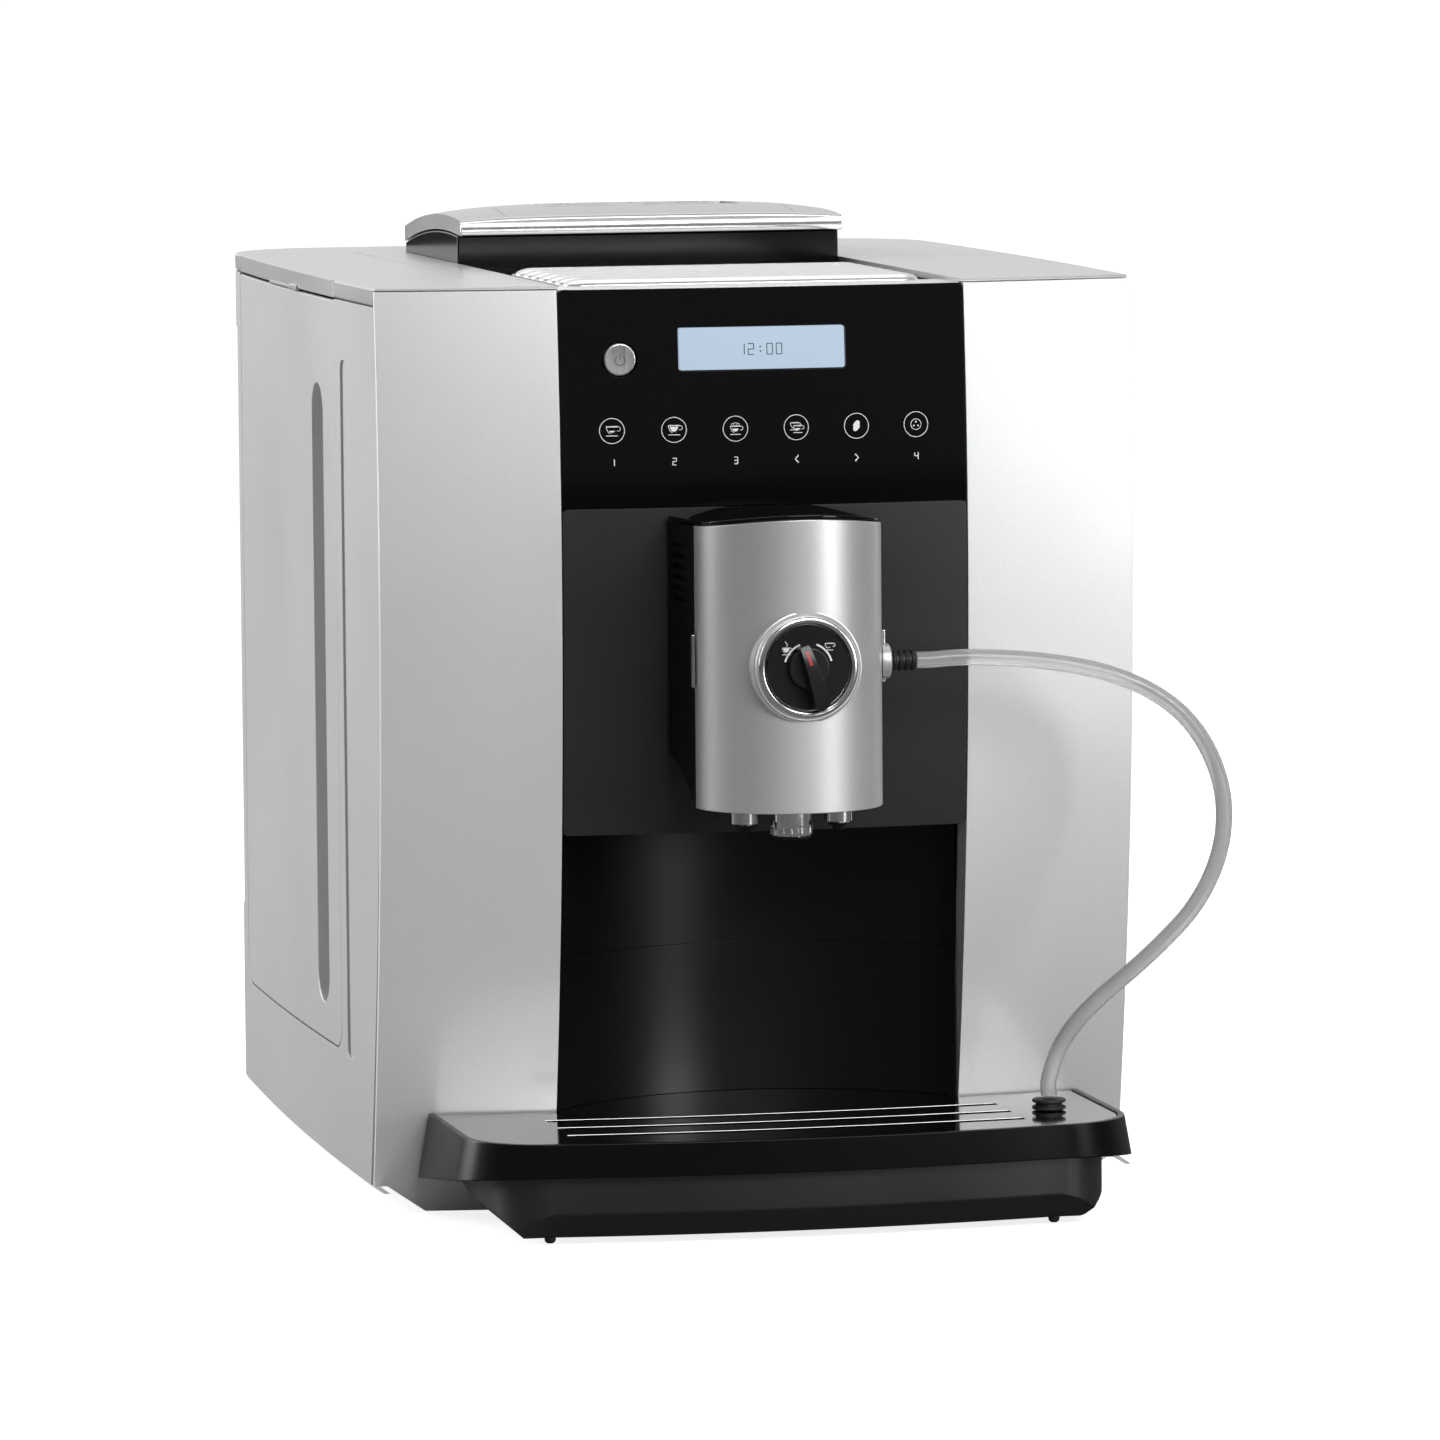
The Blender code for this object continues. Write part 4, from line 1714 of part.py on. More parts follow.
def smooth_path(route, spacing):
    """Points at a steady spacing on a smooth curve through the route's points."""
    points = [Vector(point) for point in route]
    ends = [2 * points[0] - points[1]] + points + [2 * points[-1] - points[-2]]
    dense = []
    for before, here, there, after in zip(ends, ends[1:], ends[2:], ends[3:]):
        for share in steps(0, 1, 12)[:-1]:
            dense.append(
                0.5 * (
                    2 * here
                    + (there - before) * share
                    + (2 * before - 5 * here + 4 * there - after) * share**2
                    + (3 * here - before - 3 * there + after) * share**3
                )
            )
    dense.append(points[-1])
    total = sum((b - a).length for a, b in zip(dense, dense[1:]))
    count = max(round(total / spacing), 2)
    path, walked, target = [dense[0]], 0.0, total / count
    for a, b in zip(dense, dense[1:]):
        length = (b - a).length
        while walked + length >= target and len(path) < count:
            path.append(a + (b - a) * (target - walked) / length)
            target += total / count
        walked += length
    path.append(dense[-1])
    return path, total


def make_hose(body):
    """The clear milk hose as a tube along its route, and the rubber foot that it ends in."""
    path, total = smooth_path(hose_points(), HOSE_RADIUS * 2 * HOSE_STEP_SHARE)
    curve = bpy.data.curves.new("milk_hose", "CURVE")
    curve.dimensions = "3D"
    curve.bevel_depth = HOSE_RADIUS
    curve.bevel_resolution = 2
    curve.use_fill_caps = True
    spline = curve.splines.new("POLY")
    spline.points.add(len(path) - 1)
    for point, co in zip(spline.points, path):
        point.co = (*co, 1)
    hose = bpy.data.objects.new("milk_hose", curve)
    PARTS.objects.link(hose)
    curve.materials.append(material("clear_hose"))
    hose.parent = body
    hose.location = -Vector(body["place"])
    print(f"milk hose {total:.3f} m, {len(path)} points")

    low = PLATE_TOP + TOUCH_GAP
    high = low + HOSE_FOOT_HEIGHT
    third = HOSE_FOOT_HEIGHT / 3
    profile = [
        (0, low),
        (HOSE_FOOT_RADIUS, low),
        (HOSE_FOOT_RADIUS, low + third),
        (HOSE_FOOT_WAIST, low + third * 1.2),
        (HOSE_FOOT_WAIST, low + third * 1.8),
        (HOSE_FOOT_RADIUS, low + third * 2),
        (HOSE_FOOT_RADIUS, high),
        (0, high),
    ]
    piece("hose_foot", turned(profile, (HOSE_FOOT_X, HOSE_FOOT_Y, 0), "Z", 20), "rubber", body)


def make_power_button(body):
    """The round brushed button with its stem, which presses in."""
    front = front_y(BUTTON_X, BUTTON_Z) - BUTTON_PROUD
    back = front + BUTTON_PROUD + FRONT_THICKNESS + SEAM - BUTTON_TRAVEL - 2 * RUNNING_GAP
    stem_end = board_front() - SWITCH_HEIGHT - BUTTON_TRAVEL - TOUCH_GAP
    profile = [
        (0, front),
        (BUTTON_RADIUS - BUTTON_PROUD / 2, front),
        (BUTTON_RADIUS, front + BUTTON_PROUD / 2),
        (BUTTON_RADIUS, back),
        (BUTTON_STEM_RADIUS, back),
        (BUTTON_STEM_RADIUS, stem_end),
        (0, stem_end),
    ]
    piece("power_button", turned(profile, (BUTTON_X, 0, BUTTON_Z), "Y", 24), "silver", body)


def build():
    clear_scene()
    global PARTS, CUTTERS
    PARTS = collection("coffee_machine")
    CUTTERS = collection("cutters")
    machine = joint_empty("machine", (0, 0, 0))
    housing = joint_empty("housing", (0, 0, 0), machine)
    hinge_y = TANK_REAR - RUNNING_GAP
    tray = joint_empty("drip_tray", (0, TRAY_FRONT, TRAY_TOP), housing)
    spout = joint_empty("spout", (0, SPOUT_Y, SPOUT_LOW), housing)
    knob = joint_empty("knob", (0, BEZEL_FACE, KNOB_Z), spout)
    button = joint_empty("button", (BUTTON_X, front_y(BUTTON_X, BUTTON_Z), BUTTON_Z), housing)
    tank = joint_empty("tank", (-TANK_INNER_X, TANK_FRONT, BAY_FLOOR), housing)
    tank_lid = joint_empty("tank_lid_hinge", (-TANK_INNER_X - SEAM, TANK_FRONT, BODY_TOP), housing)
    lid_rear = HOPPER_REAR + LID_REAR_OVERHANG
    bean_lid = joint_empty("bean_lid_hinge", (0, lid_rear, lid_under(lid_rear)), housing)
    places = {"tank lid": tank_lid, "bean lid": bean_lid}
    door = joint_empty("door_hinge", (side_x(hinge_y), hinge_y, DOOR_LOW), housing)
    places["door"] = door

    make_base(housing)
    make_column(-1, housing)
    make_column(1, housing)
    make_side_cover(-1, housing)
    make_side_cover(1, housing)
    make_rear_cover(housing)
    make_power_inlet(housing)
    make_top_cover(housing)
    make_deck(housing)
    make_display(housing)
    make_control_board(housing)
    make_middle_panel(housing)
    make_guide(housing)
    make_recess(housing)
    make_hopper(housing)
    make_engine(housing)
    make_tank(tank, tank_lid, housing)
    make_bean_lid(bean_lid)
    make_service_door(door)
    make_tray(tray)
    make_spout(spout)
    make_knob(spout, knob)
    make_nozzles(spout)
    make_connector(spout)
    make_power_button(button)
    make_hose(housing)
    machine.location.y = DATUM_Y
    bpy.context.view_layer.update()
    print(f"datum plane at y = {DATUM_Y:.5f}")
    for name, empty in places.items():
        print(name, "hinge at", [round(value, 5) for value in empty.matrix_world.translation])


build()
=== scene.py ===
# %% [markdown]
# # Automatic coffee machine
#
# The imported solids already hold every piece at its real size. This notebook dresses them: each
# piece that shows gets its fine form and its finish, a camera stands where the photographer
# stood, and soft lights make the lacquer and the black gloss read as they do in a studio.

# %% Load the frame
import json
import math

import bmesh
import bpy
from mathutils import Matrix, Vector


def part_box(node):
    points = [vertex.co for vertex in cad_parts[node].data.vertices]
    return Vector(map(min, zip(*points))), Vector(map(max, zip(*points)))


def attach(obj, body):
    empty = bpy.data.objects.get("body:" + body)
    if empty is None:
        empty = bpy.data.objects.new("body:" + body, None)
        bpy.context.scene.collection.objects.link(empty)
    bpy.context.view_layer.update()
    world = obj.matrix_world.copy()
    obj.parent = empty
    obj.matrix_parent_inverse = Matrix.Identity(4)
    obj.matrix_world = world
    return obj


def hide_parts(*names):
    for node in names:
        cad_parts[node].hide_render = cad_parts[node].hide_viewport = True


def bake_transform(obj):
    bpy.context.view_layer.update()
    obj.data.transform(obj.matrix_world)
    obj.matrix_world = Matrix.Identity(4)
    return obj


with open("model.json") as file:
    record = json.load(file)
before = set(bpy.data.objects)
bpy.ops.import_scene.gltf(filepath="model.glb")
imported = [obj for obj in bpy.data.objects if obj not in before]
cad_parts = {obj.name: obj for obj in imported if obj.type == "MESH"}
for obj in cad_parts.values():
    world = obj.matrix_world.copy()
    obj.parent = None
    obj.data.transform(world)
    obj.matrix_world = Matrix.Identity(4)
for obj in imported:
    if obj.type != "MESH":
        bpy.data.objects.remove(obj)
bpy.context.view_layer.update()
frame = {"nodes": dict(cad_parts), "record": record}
machine = bpy.data.collections.new("machine_look")
bpy.context.scene.collection.children.link(machine)

# %% [markdown]
# The pieces are drawn from a datum plane through the front's outer top corners, as a designer
# would draw them, and one shift along Y puts them on the frame. The shift is read from the rear
# cover, whose rear face lies a known depth behind the datum.

# %% Driving sizes
BODY_DEPTH = 0.362
BODY_HALF_WIDTH = 0.151
BODY_TOP = float(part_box("top_cover")[1][2])
DATUM_Y = float(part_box("rear_cover")[1][1]) - BODY_DEPTH
SIDE_BULGE = 0.0025
SIDE_WIDEST = 0.145
FRONT_BOW = 0.0154
FRONT_RISE = 0.0057753
FRONT_CREST = 0.253
CENTRE_HALF_WIDTH = 0.0812
REAR_CORNER_RADIUS = 0.042
SEAM = 0.0004
SHELL = 0.0025


def steps(start, end, count):
    return [start + (end - start) * i / count for i in range(count + 1)]


def side_x(y):
    """Half the body's width at a depth."""
    return BODY_HALF_WIDTH + SIDE_BULGE * (1 - ((y - SIDE_WIDEST) / SIDE_WIDEST) ** 2)


def front_plan(x):
    return FRONT_BOW * (1 - (x / BODY_HALF_WIDTH) ** 2)


def front_rise(z):
    """How far the upright arc stands before the datum at a height."""
    return FRONT_RISE * (1 - ((z - FRONT_CREST) / (BODY_TOP - FRONT_CREST)) ** 2)


def front_y(x, z):
    """The bowed front surface."""
    return -front_plan(x) - front_rise(z)


print("datum plane at y =", round(DATUM_Y, 4))

# %% [markdown]
# ## The camera
#
# The machine was photographed from far away with a long lens, from a little to the left and a
# little above. The place and angles below were found by matching corners of known size.

# %% Camera
CAMERA_PLACE = Vector((-0.8081, -3.5301 + DATUM_Y, 0.5398))
CAMERA_YAW = math.radians(12.66)
CAMERA_PITCH = math.radians(5.47)
CAMERA_ROLL = math.radians(0.469)
FOCAL_PIXELS = 9277.8
PICTURE_WIDTH = 1440
SENSOR = 36.0

forward = Vector((
    math.sin(CAMERA_YAW) * math.cos(CAMERA_PITCH),
    math.cos(CAMERA_YAW) * math.cos(CAMERA_PITCH),
    -math.sin(CAMERA_PITCH),
))
right = Vector((math.cos(CAMERA_YAW), -math.sin(CAMERA_YAW), 0))
down = forward.cross(right)
picture_right = right * math.cos(CAMERA_ROLL) + down * math.sin(CAMERA_ROLL)
picture_down = down * math.cos(CAMERA_ROLL) - right * math.sin(CAMERA_ROLL)
turn = Matrix((picture_right, -picture_down, -forward)).transposed()
camera = bpy.data.objects.new("camera", bpy.data.cameras.new("camera"))
camera.data.sensor_width = SENSOR
camera.data.lens = FOCAL_PIXELS * SENSOR / PICTURE_WIDTH
camera.matrix_world = Matrix.Translation(CAMERA_PLACE) @ turn.to_4x4()
camera.data.clip_end = 100
bpy.context.scene.collection.objects.link(camera)
bpy.context.scene.camera = camera
print("lens", round(camera.data.lens, 1), "mm")

# %% [markdown]
# ## Finishes
#
# Each finish is a Principled shader. Small noise breaks up the roughness and the surface a
# little, because a moulded or lacquered face is never perfectly even.


# %% Material helpers
NOISE_SPAN = (0.3, 0.7)
FLAKE_SCALE, FLAKE_HEIGHT = 2600, 0.000004


def shader_of(name, colour, roughness, metallic=0.0):
    """A new material and its nodes, with plain values on the Principled shader."""
    made = bpy.data.materials.new(name)
    made.use_nodes = True
    nodes, links = made.node_tree.nodes, made.node_tree.links
    shader = nodes["Principled BSDF"]
    shader.inputs["Base Color"].default_value = (*colour, 1)
    shader.inputs["Roughness"].default_value = roughness
    shader.inputs["Metallic"].default_value = metallic
    return made, nodes, links, shader


def noise(nodes, links, scale, detail=2.0, stretch=(1, 1, 1)):
    """Noise on the object's own coordinates, stretched along an axis for a finish with a grain."""
    place = nodes.new("ShaderNodeTexCoord")
    mapping = nodes.new("ShaderNodeMapping")
    mapping.inputs["Scale"].default_value = stretch
    links.new(place.outputs["Object"], mapping.inputs["Vector"])
    made = nodes.new("ShaderNodeTexNoise")
    made.inputs["Scale"].default_value = scale
    made.inputs["Detail"].default_value = detail
    links.new(mapping.outputs["Vector"], made.inputs["Vector"])
    return made


def ranged(nodes, links, source, before, after):
    """A value from one range mapped onto another."""
    made = nodes.new("ShaderNodeMapRange")
    for label, value in zip(("From Min", "From Max", "To Min", "To Max"), (*before, *after)):
        made.inputs[label].default_value = value
    links.new(source, made.inputs["Value"])
    return made.outputs["Result"]


def math_of(nodes, links, operation, *terms):
    """A Math node on sockets and plain numbers."""
    made = nodes.new("ShaderNodeMath")
    made.operation = operation
    for socket, term in zip(made.inputs, terms):
        if isinstance(term, float):
            socket.default_value = term
        else:
            links.new(term, socket)
    return made.outputs[0]


def rough_from(nodes, links, shader, scale, low, high):
    """Roughness that drifts slowly between two values."""
    drift = noise(nodes, links, scale).outputs["Fac"]
    links.new(ranged(nodes, links, drift, NOISE_SPAN, (low, high)), shader.inputs["Roughness"])


def bump_from(nodes, links, shader, source, height):
    made = nodes.new("ShaderNodeBump")
    made.inputs["Distance"].default_value = height
    made.inputs["Strength"].default_value = 1.0
    links.new(source, made.inputs["Height"])
    links.new(made.outputs["Normal"], shader.inputs["Normal"])


def tint_from(nodes, links, shader, source, dark, light):
    """Colour that drifts between two shades of the same finish."""
    mix = nodes.new("ShaderNodeMix")
    mix.data_type = "RGBA"
    mix.inputs["A"].default_value = (*dark, 1)
    mix.inputs["B"].default_value = (*light, 1)
    links.new(ranged(nodes, links, source, NOISE_SPAN, (0, 1)), mix.inputs["Factor"])
    links.new(mix.outputs["Result"], shader.inputs["Base Color"])


def lacquer(name, colour, metallic, roughness, flake, coat):
    """Satin metallic lacquer: a fine flake in colour and surface under a thin clear coat."""
    made, nodes, links, shader = shader_of(name, colour, roughness, metallic)
    flakes = noise(nodes, links, FLAKE_SCALE, 1)
    dark = [value * (1 - flake) for value in colour]
    light = [min(value * (1 + flake), 1) for value in colour]
    tint_from(nodes, links, shader, flakes.outputs["Fac"], dark, light)
    bump_from(nodes, links, shader, flakes.outputs["Fac"], FLAKE_HEIGHT)
    rough_from(nodes, links, shader, 9, roughness - 0.03, roughness + 0.03)
    shader.inputs["Coat Weight"].default_value = coat
    shader.inputs["Coat Roughness"].default_value = 0.25
    return made


def plastic(name, colour, roughness, grain, height, coat=0.0, gloss=0.5):
    """Moulded plastic: fine grain in the surface and a slow drift in roughness."""
    made, nodes, links, shader = shader_of(name, colour, roughness)
    if height:
        bump_from(nodes, links, shader, noise(nodes, links, grain).outputs["Fac"], height)
    rough_from(nodes, links, shader, 14, roughness * 0.85, roughness * 1.15)
    shader.inputs["Specular IOR Level"].default_value = gloss
    shader.inputs["Coat Weight"].default_value = coat
    shader.inputs["Coat Roughness"].default_value = 0.04
    return made


def plated(name, colour, low, high, grain, stretch, height):
    """Chrome or steel: full metal with a directional grain as fine as the real one's."""
    made, nodes, links, shader = shader_of(name, colour, low, 1.0)
    lines = noise(nodes, links, grain, 3, stretch)
    grained = ranged(nodes, links, lines.outputs["Fac"], NOISE_SPAN, (low, high))
    links.new(grained, shader.inputs["Roughness"])
    if height:
        bump_from(nodes, links, shader, lines.outputs["Fac"], height)
    return made


# %% The machine's finishes
LOOK = {
    "silver": lacquer("satin_silver", (0.70, 0.705, 0.71), 0.50, 0.44, 0.05, 0.10),
    "spout_silver": lacquer("spout_silver", (0.64, 0.645, 0.65), 0.75, 0.42, 0.06, 0.0),
    "grey_cover": lacquer("satin_grey", (0.46, 0.465, 0.47), 0.20, 0.42, 0.03, 0.05),
    "top_grey": lacquer("satin_top", (0.50, 0.505, 0.51), 0.25, 0.30, 0.02, 0.30),
    "rail_silver": lacquer("rail_silver", (0.72, 0.725, 0.73), 0.75, 0.24, 0.04, 0.0),
    "lid_silver": lacquer("lid_silver", (0.52, 0.525, 0.53), 0.55, 0.28, 0.04, 0.10),
    "gloss_black": plastic("black_gloss", (0.002, 0.002, 0.0023), 0.07, 30, 0, gloss=0.28),
    "hopper_black": plastic("hopper_gloss", (0.002, 0.002, 0.0023), 0.14, 30, 0, gloss=0.28),
    "black_plastic": plastic("black_satin", (0.004, 0.004, 0.0043), 0.36, 1800, 0.00002, gloss=0.3),
    "knob_black": plastic("knob_satin", (0.008, 0.008, 0.0085), 0.30, 1800, 0.00001),
    "wall_black": plastic("wall_satin", (0.002, 0.002, 0.0022), 0.33, 1500, 0.000015, gloss=0.28),
    "tray_black": plastic("tray_satin", (0.002, 0.002, 0.0022), 0.28, 1500, 0.00001, gloss=0.22),
    "tub_black": plastic("tub_satin", (0.008, 0.008, 0.0085), 0.36, 1200, 0.00002, gloss=0.8),
    "charcoal": plastic("charcoal_satin", (0.014, 0.0145, 0.0155), 0.42, 2200, 0.00001, gloss=0.35),
    "chrome": plated("bright_chrome", (0.80, 0.80, 0.81), 0.13, 0.18, 6, (1, 1, 1), 0),
    "brushed_disc": plated(
        "brushed_disc", (0.62, 0.625, 0.63), 0.26, 0.34, 900, (1, 1, 0.05), 0.000004,
    ),
    "mirror_steel": plated(
        "polished_steel", (0.52, 0.52, 0.515), 0.06, 0.11, 160, (1, 12, 12), 0.000002,
    ),
    "smoked_plastic": plastic("smoked_tank", (0.12, 0.125, 0.13), 0.16, 40, 0, 0.3),
    "rubber": plastic("soft_rubber", (0.007, 0.007, 0.007), 0.55, 900, 0.00003),
    "white_print": plastic("white_print", (0.78, 0.78, 0.78), 0.55, 1000, 0.000002),
    "dark_print": plastic("dark_print", (0.035, 0.045, 0.06), 0.55, 1000, 0.000002),
    "red_inlay": plastic("red_inlay", (0.38, 0.010, 0.013), 0.38, 1000, 0.000002),
    "board_green": plastic("solder_mask", (0.02, 0.13, 0.06), 0.45, 500, 0.00001),
    "engine_grey": lacquer("cast_grey", (0.22, 0.23, 0.24), 0.3, 0.5, 0.08, 0.0),
    "brass": plated("plain_brass", (0.60, 0.45, 0.22), 0.22, 0.34, 120, (8, 1, 1), 0.000005),
}
backlit, nodes, links, shader = shader_of("backlit_glass", (0.10, 0.13, 0.16), 0.35)
glow_map = noise(nodes, links, 12)
tint_from(nodes, links, shader, glow_map.outputs["Fac"], (0.09, 0.12, 0.15), (0.11, 0.14, 0.17))
shader.inputs["Emission Color"].default_value = (0.60, 0.745, 0.925, 1)
shader.inputs["Emission Strength"].default_value = 0.59
LOOK["display_glass"] = backlit
slot_names = {entry["node"]: entry["material_slot"] for entry in frame["record"]["subparts"]}
for node, obj in frame["nodes"].items():
    look = LOOK.get(slot_names[node])
    if look:
        for place in obj.material_slots:
            place.material = look
print(len(LOOK), "finishes on", len(frame["nodes"]), "nodes")

# %% [markdown]
# ## The stage
#
# A large pale floor meets a white world, so the background is white from every side. The floor
# glows only for the camera, a little less near the machine, which keeps the soft shadow and puts
# no light on the pieces. In shiny pieces it looks dark, as the table does in the photograph. The
# world is bright to the camera, dim as a light, and shows shiny pieces a bright wall behind.

# %% Floor and world
FLOOR_SIZE = 120.0
GLOW_REACH, GLOW_LEVEL = (0.7, 3.0), (0.82, 1.0)
MIRROR_DIM, WORLD_DIM = 0.78, 0.20
WALL_HEADING, WALL_LEVEL = (-0.1, 0.6), (0.0, 0.62)

work = bmesh.new()
bmesh.ops.create_grid(work, x_segments=1, y_segments=1, size=FLOOR_SIZE / 2)
floor_mesh = bpy.data.meshes.new("floor")
work.to_mesh(floor_mesh)
work.free()
floor = bpy.data.objects.new("floor", floor_mesh)
bpy.context.scene.collection.objects.link(floor)
floor_look = bpy.data.materials.new("pale_floor")
floor_look.use_nodes = True
nodes, links = floor_look.node_tree.nodes, floor_look.node_tree.links
nodes.remove(nodes["Principled BSDF"])
path = nodes.new("ShaderNodeLightPath")
where = nodes.new("ShaderNodeTexCoord")
reach = nodes.new("ShaderNodeVectorMath")
reach.operation = "LENGTH"
links.new(where.outputs["Object"], reach.inputs[0])
fade = ranged(nodes, links, reach.outputs["Value"], GLOW_REACH, GLOW_LEVEL)
rays = path.outputs
seen = math_of(nodes, links, "MAXIMUM", rays["Is Camera Ray"], rays["Is Transmission Ray"])
glow = nodes.new("ShaderNodeEmission")
glow.inputs["Color"].default_value = (1, 1, 1, 1)
links.new(math_of(nodes, links, "MULTIPLY", seen, fade), glow.inputs["Strength"])
diffuse = nodes.new("ShaderNodeBsdfDiffuse")
diffuse.inputs["Color"].default_value = (0.60, 0.60, 0.60, 1)
both = nodes.new("ShaderNodeAddShader")
links.new(glow.outputs[0], both.inputs[0])
links.new(diffuse.outputs[0], both.inputs[1])
dark = nodes.new("ShaderNodeEmission")
dark.inputs["Strength"].default_value = 0.02
mirrored = nodes.new("ShaderNodeMixShader")
links.new(math_of(nodes, links, "MULTIPLY", rays["Is Glossy Ray"], MIRROR_DIM), mirrored.inputs[0])
links.new(both.outputs[0], mirrored.inputs[1])
links.new(dark.outputs[0], mirrored.inputs[2])
links.new(mirrored.outputs[0], nodes["Material Output"].inputs["Surface"])
floor_mesh.materials.append(floor_look)

world = bpy.context.scene.world or bpy.data.worlds.new("studio")
bpy.context.scene.world = world
world.use_nodes = True
nodes, links = world.node_tree.nodes, world.node_tree.links
background = nodes["Background"]
background.inputs["Color"].default_value = (1, 1, 1, 1)
path = nodes.new("ShaderNodeLightPath")
heading = nodes.new("ShaderNodeTexCoord")
parts = nodes.new("ShaderNodeSeparateXYZ")
links.new(heading.outputs["Generated"], parts.inputs[0])
behind = ranged(nodes, links, parts.outputs["Y"], WALL_HEADING, WALL_LEVEL)
rays = path.outputs
shiny = math_of(nodes, links, "MAXIMUM", rays["Is Glossy Ray"], rays["Is Transmission Ray"])
wall_seen = math_of(nodes, links, "MULTIPLY", shiny, behind)
plain = math_of(nodes, links, "MULTIPLY_ADD", rays["Is Camera Ray"], 1 - WORLD_DIM, wall_seen)
strength = math_of(nodes, links, "ADD", plain, WORLD_DIM)
links.new(strength, background.inputs["Strength"])


# %% Lights
def softbox(name, place, aim, width, height, power):
    """A large area light that points at a place on the machine."""
    data = bpy.data.lights.new(name, "AREA")
    data.shape = "RECTANGLE"
    data.size, data.size_y = width, height
    data.energy = power
    lamp = bpy.data.objects.new(name, data)
    lamp.location = place
    lamp.rotation_euler = (Vector(aim) - Vector(place)).to_track_quat("-Z", "Y").to_euler()
    bpy.context.scene.collection.objects.link(lamp)
    return lamp


MIDDLE = (0, 0, 0.2)
softbox("key_box", (1.75, -2.10, 0.42), MIDDLE, 0.8, 0.9, 15)
softbox("front_box", (0.50, -2.15, 1.45), MIDDLE, 1.5, 0.9, 36)
softbox("left_box", (-2.0, 1.3, 0.9), MIDDLE, 1.2, 1.4, 58)
softbox("top_box", (-0.2, 0.5, 2.2), MIDDLE, 2.4, 2.0, 17)
bpy.context.scene.view_settings.view_transform = "Standard"
print("stage and lights set")

# %% [markdown]
# ## Building blocks
#
# Nearly every cover is a flat outline given a thickness and then bent onto a curved face. So
# the helpers push an outline along an axis, slice it finely, bend it, and round its edges.


# %% Mesh helpers
UNIT = {axis: Vector([float(letter == axis) for letter in "XYZ"]) for axis in "XYZ"}


def mesh_from(work):
    mesh = bpy.data.meshes.new("piece")
    work.to_mesh(mesh)
    work.free()
    return mesh


def evaluated(obj):
    """An object with its modifiers or curve settings, as a plain mesh. The object itself goes."""
    bpy.context.view_layer.update()
    mesh = bpy.data.meshes.new_from_object(obj.evaluated_get(bpy.context.evaluated_depsgraph_get()))
    bpy.data.objects.remove(obj, do_unlink=True)
    return mesh


def work_on(mesh, action):
    work = bmesh.new()
    work.from_mesh(mesh)
    action(work)
    work.to_mesh(mesh)
    work.free()
    return mesh


def prism(loops, low, high, axis="Z"):
    """An outline, with its holes, pushed along an axis: (x, y), (x, z) or (y, z) in metres."""
    curve = bpy.data.curves.new("outline", "CURVE")
    curve.dimensions = "2D"
    curve.fill_mode = "BOTH"
    curve.extrude = (high - low) / 2
    for loop in loops:
        spline = curve.splines.new("POLY")
        spline.points.add(len(loop) - 1)
        for point, (first, second) in zip(spline.points, loop):
            point.co = (first, second, 0, 1)
        spline.use_cyclic_u = True
    guide = bpy.data.objects.new("outline", curve)
    bpy.context.scene.collection.objects.link(guide)
    mesh = evaluated(guide)
    turn = Matrix({
        "Z": ((1, 0, 0), (0, 1, 0), (0, 0, 1)),
        "Y": ((1, 0, 0), (0, 0, 1), (0, 1, 0)),
        "X": ((0, 0, 1), (1, 0, 0), (0, 1, 0)),
    }[axis]).to_4x4()

    def place(work):
        bmesh.ops.remove_doubles(work, verts=work.verts, dist=1e-6)
        flat = math.radians(0.2)
        bmesh.ops.dissolve_limit(work, angle_limit=flat, verts=work.verts, edges=work.edges)
        shift = Matrix.Translation(UNIT[axis] * (low + high) / 2)
        bmesh.ops.transform(work, matrix=shift @ turn, verts=work.verts)
        bmesh.ops.recalc_face_normals(work, faces=work.faces)

    return work_on(mesh, place)


def sliced(mesh, axis, places):
    """Cuts across a mesh at these places, so that it can bend smoothly."""
    normal = UNIT[axis]

    def cuts(work):
        for place in places:
            everything = list(work.verts) + list(work.edges) + list(work.faces)
            bmesh.ops.bisect_plane(work, geom=everything, plane_co=normal * place, plane_no=normal)

    return work_on(mesh, cuts)


def bent(mesh, shift):
    """Moves every point by what shift(point) gives."""

    def move(work):
        for vert in work.verts:
            vert.co += Vector(shift(vert.co))

    return work_on(mesh, move)


def spun(profile, place, axis="Z", segments=64):
    """A profile of (radius, distance) turned about an axis."""
    work = bmesh.new()
    along, side = UNIT[axis], UNIT["Y" if axis == "X" else "X"]
    verts = [
        work.verts.new(Vector(place) + side * radius + along * distance)
        for radius, distance in profile
    ]
    pairs = list(zip(verts, verts[1:]))
    if profile[0][0] > 0 and profile[-1][0] > 0:
        pairs.append((verts[-1], verts[0]))
    edges = [work.edges.new(pair) for pair in pairs]
    bmesh.ops.spin(
        work, geom=verts + edges, cent=place, axis=along, angle=math.tau, steps=segments,
        use_merge=True,
    )
    bmesh.ops.remove_doubles(work, verts=work.verts, dist=1e-6)
    bmesh.ops.recalc_face_normals(work, faces=work.faces)
    return mesh_from(work)


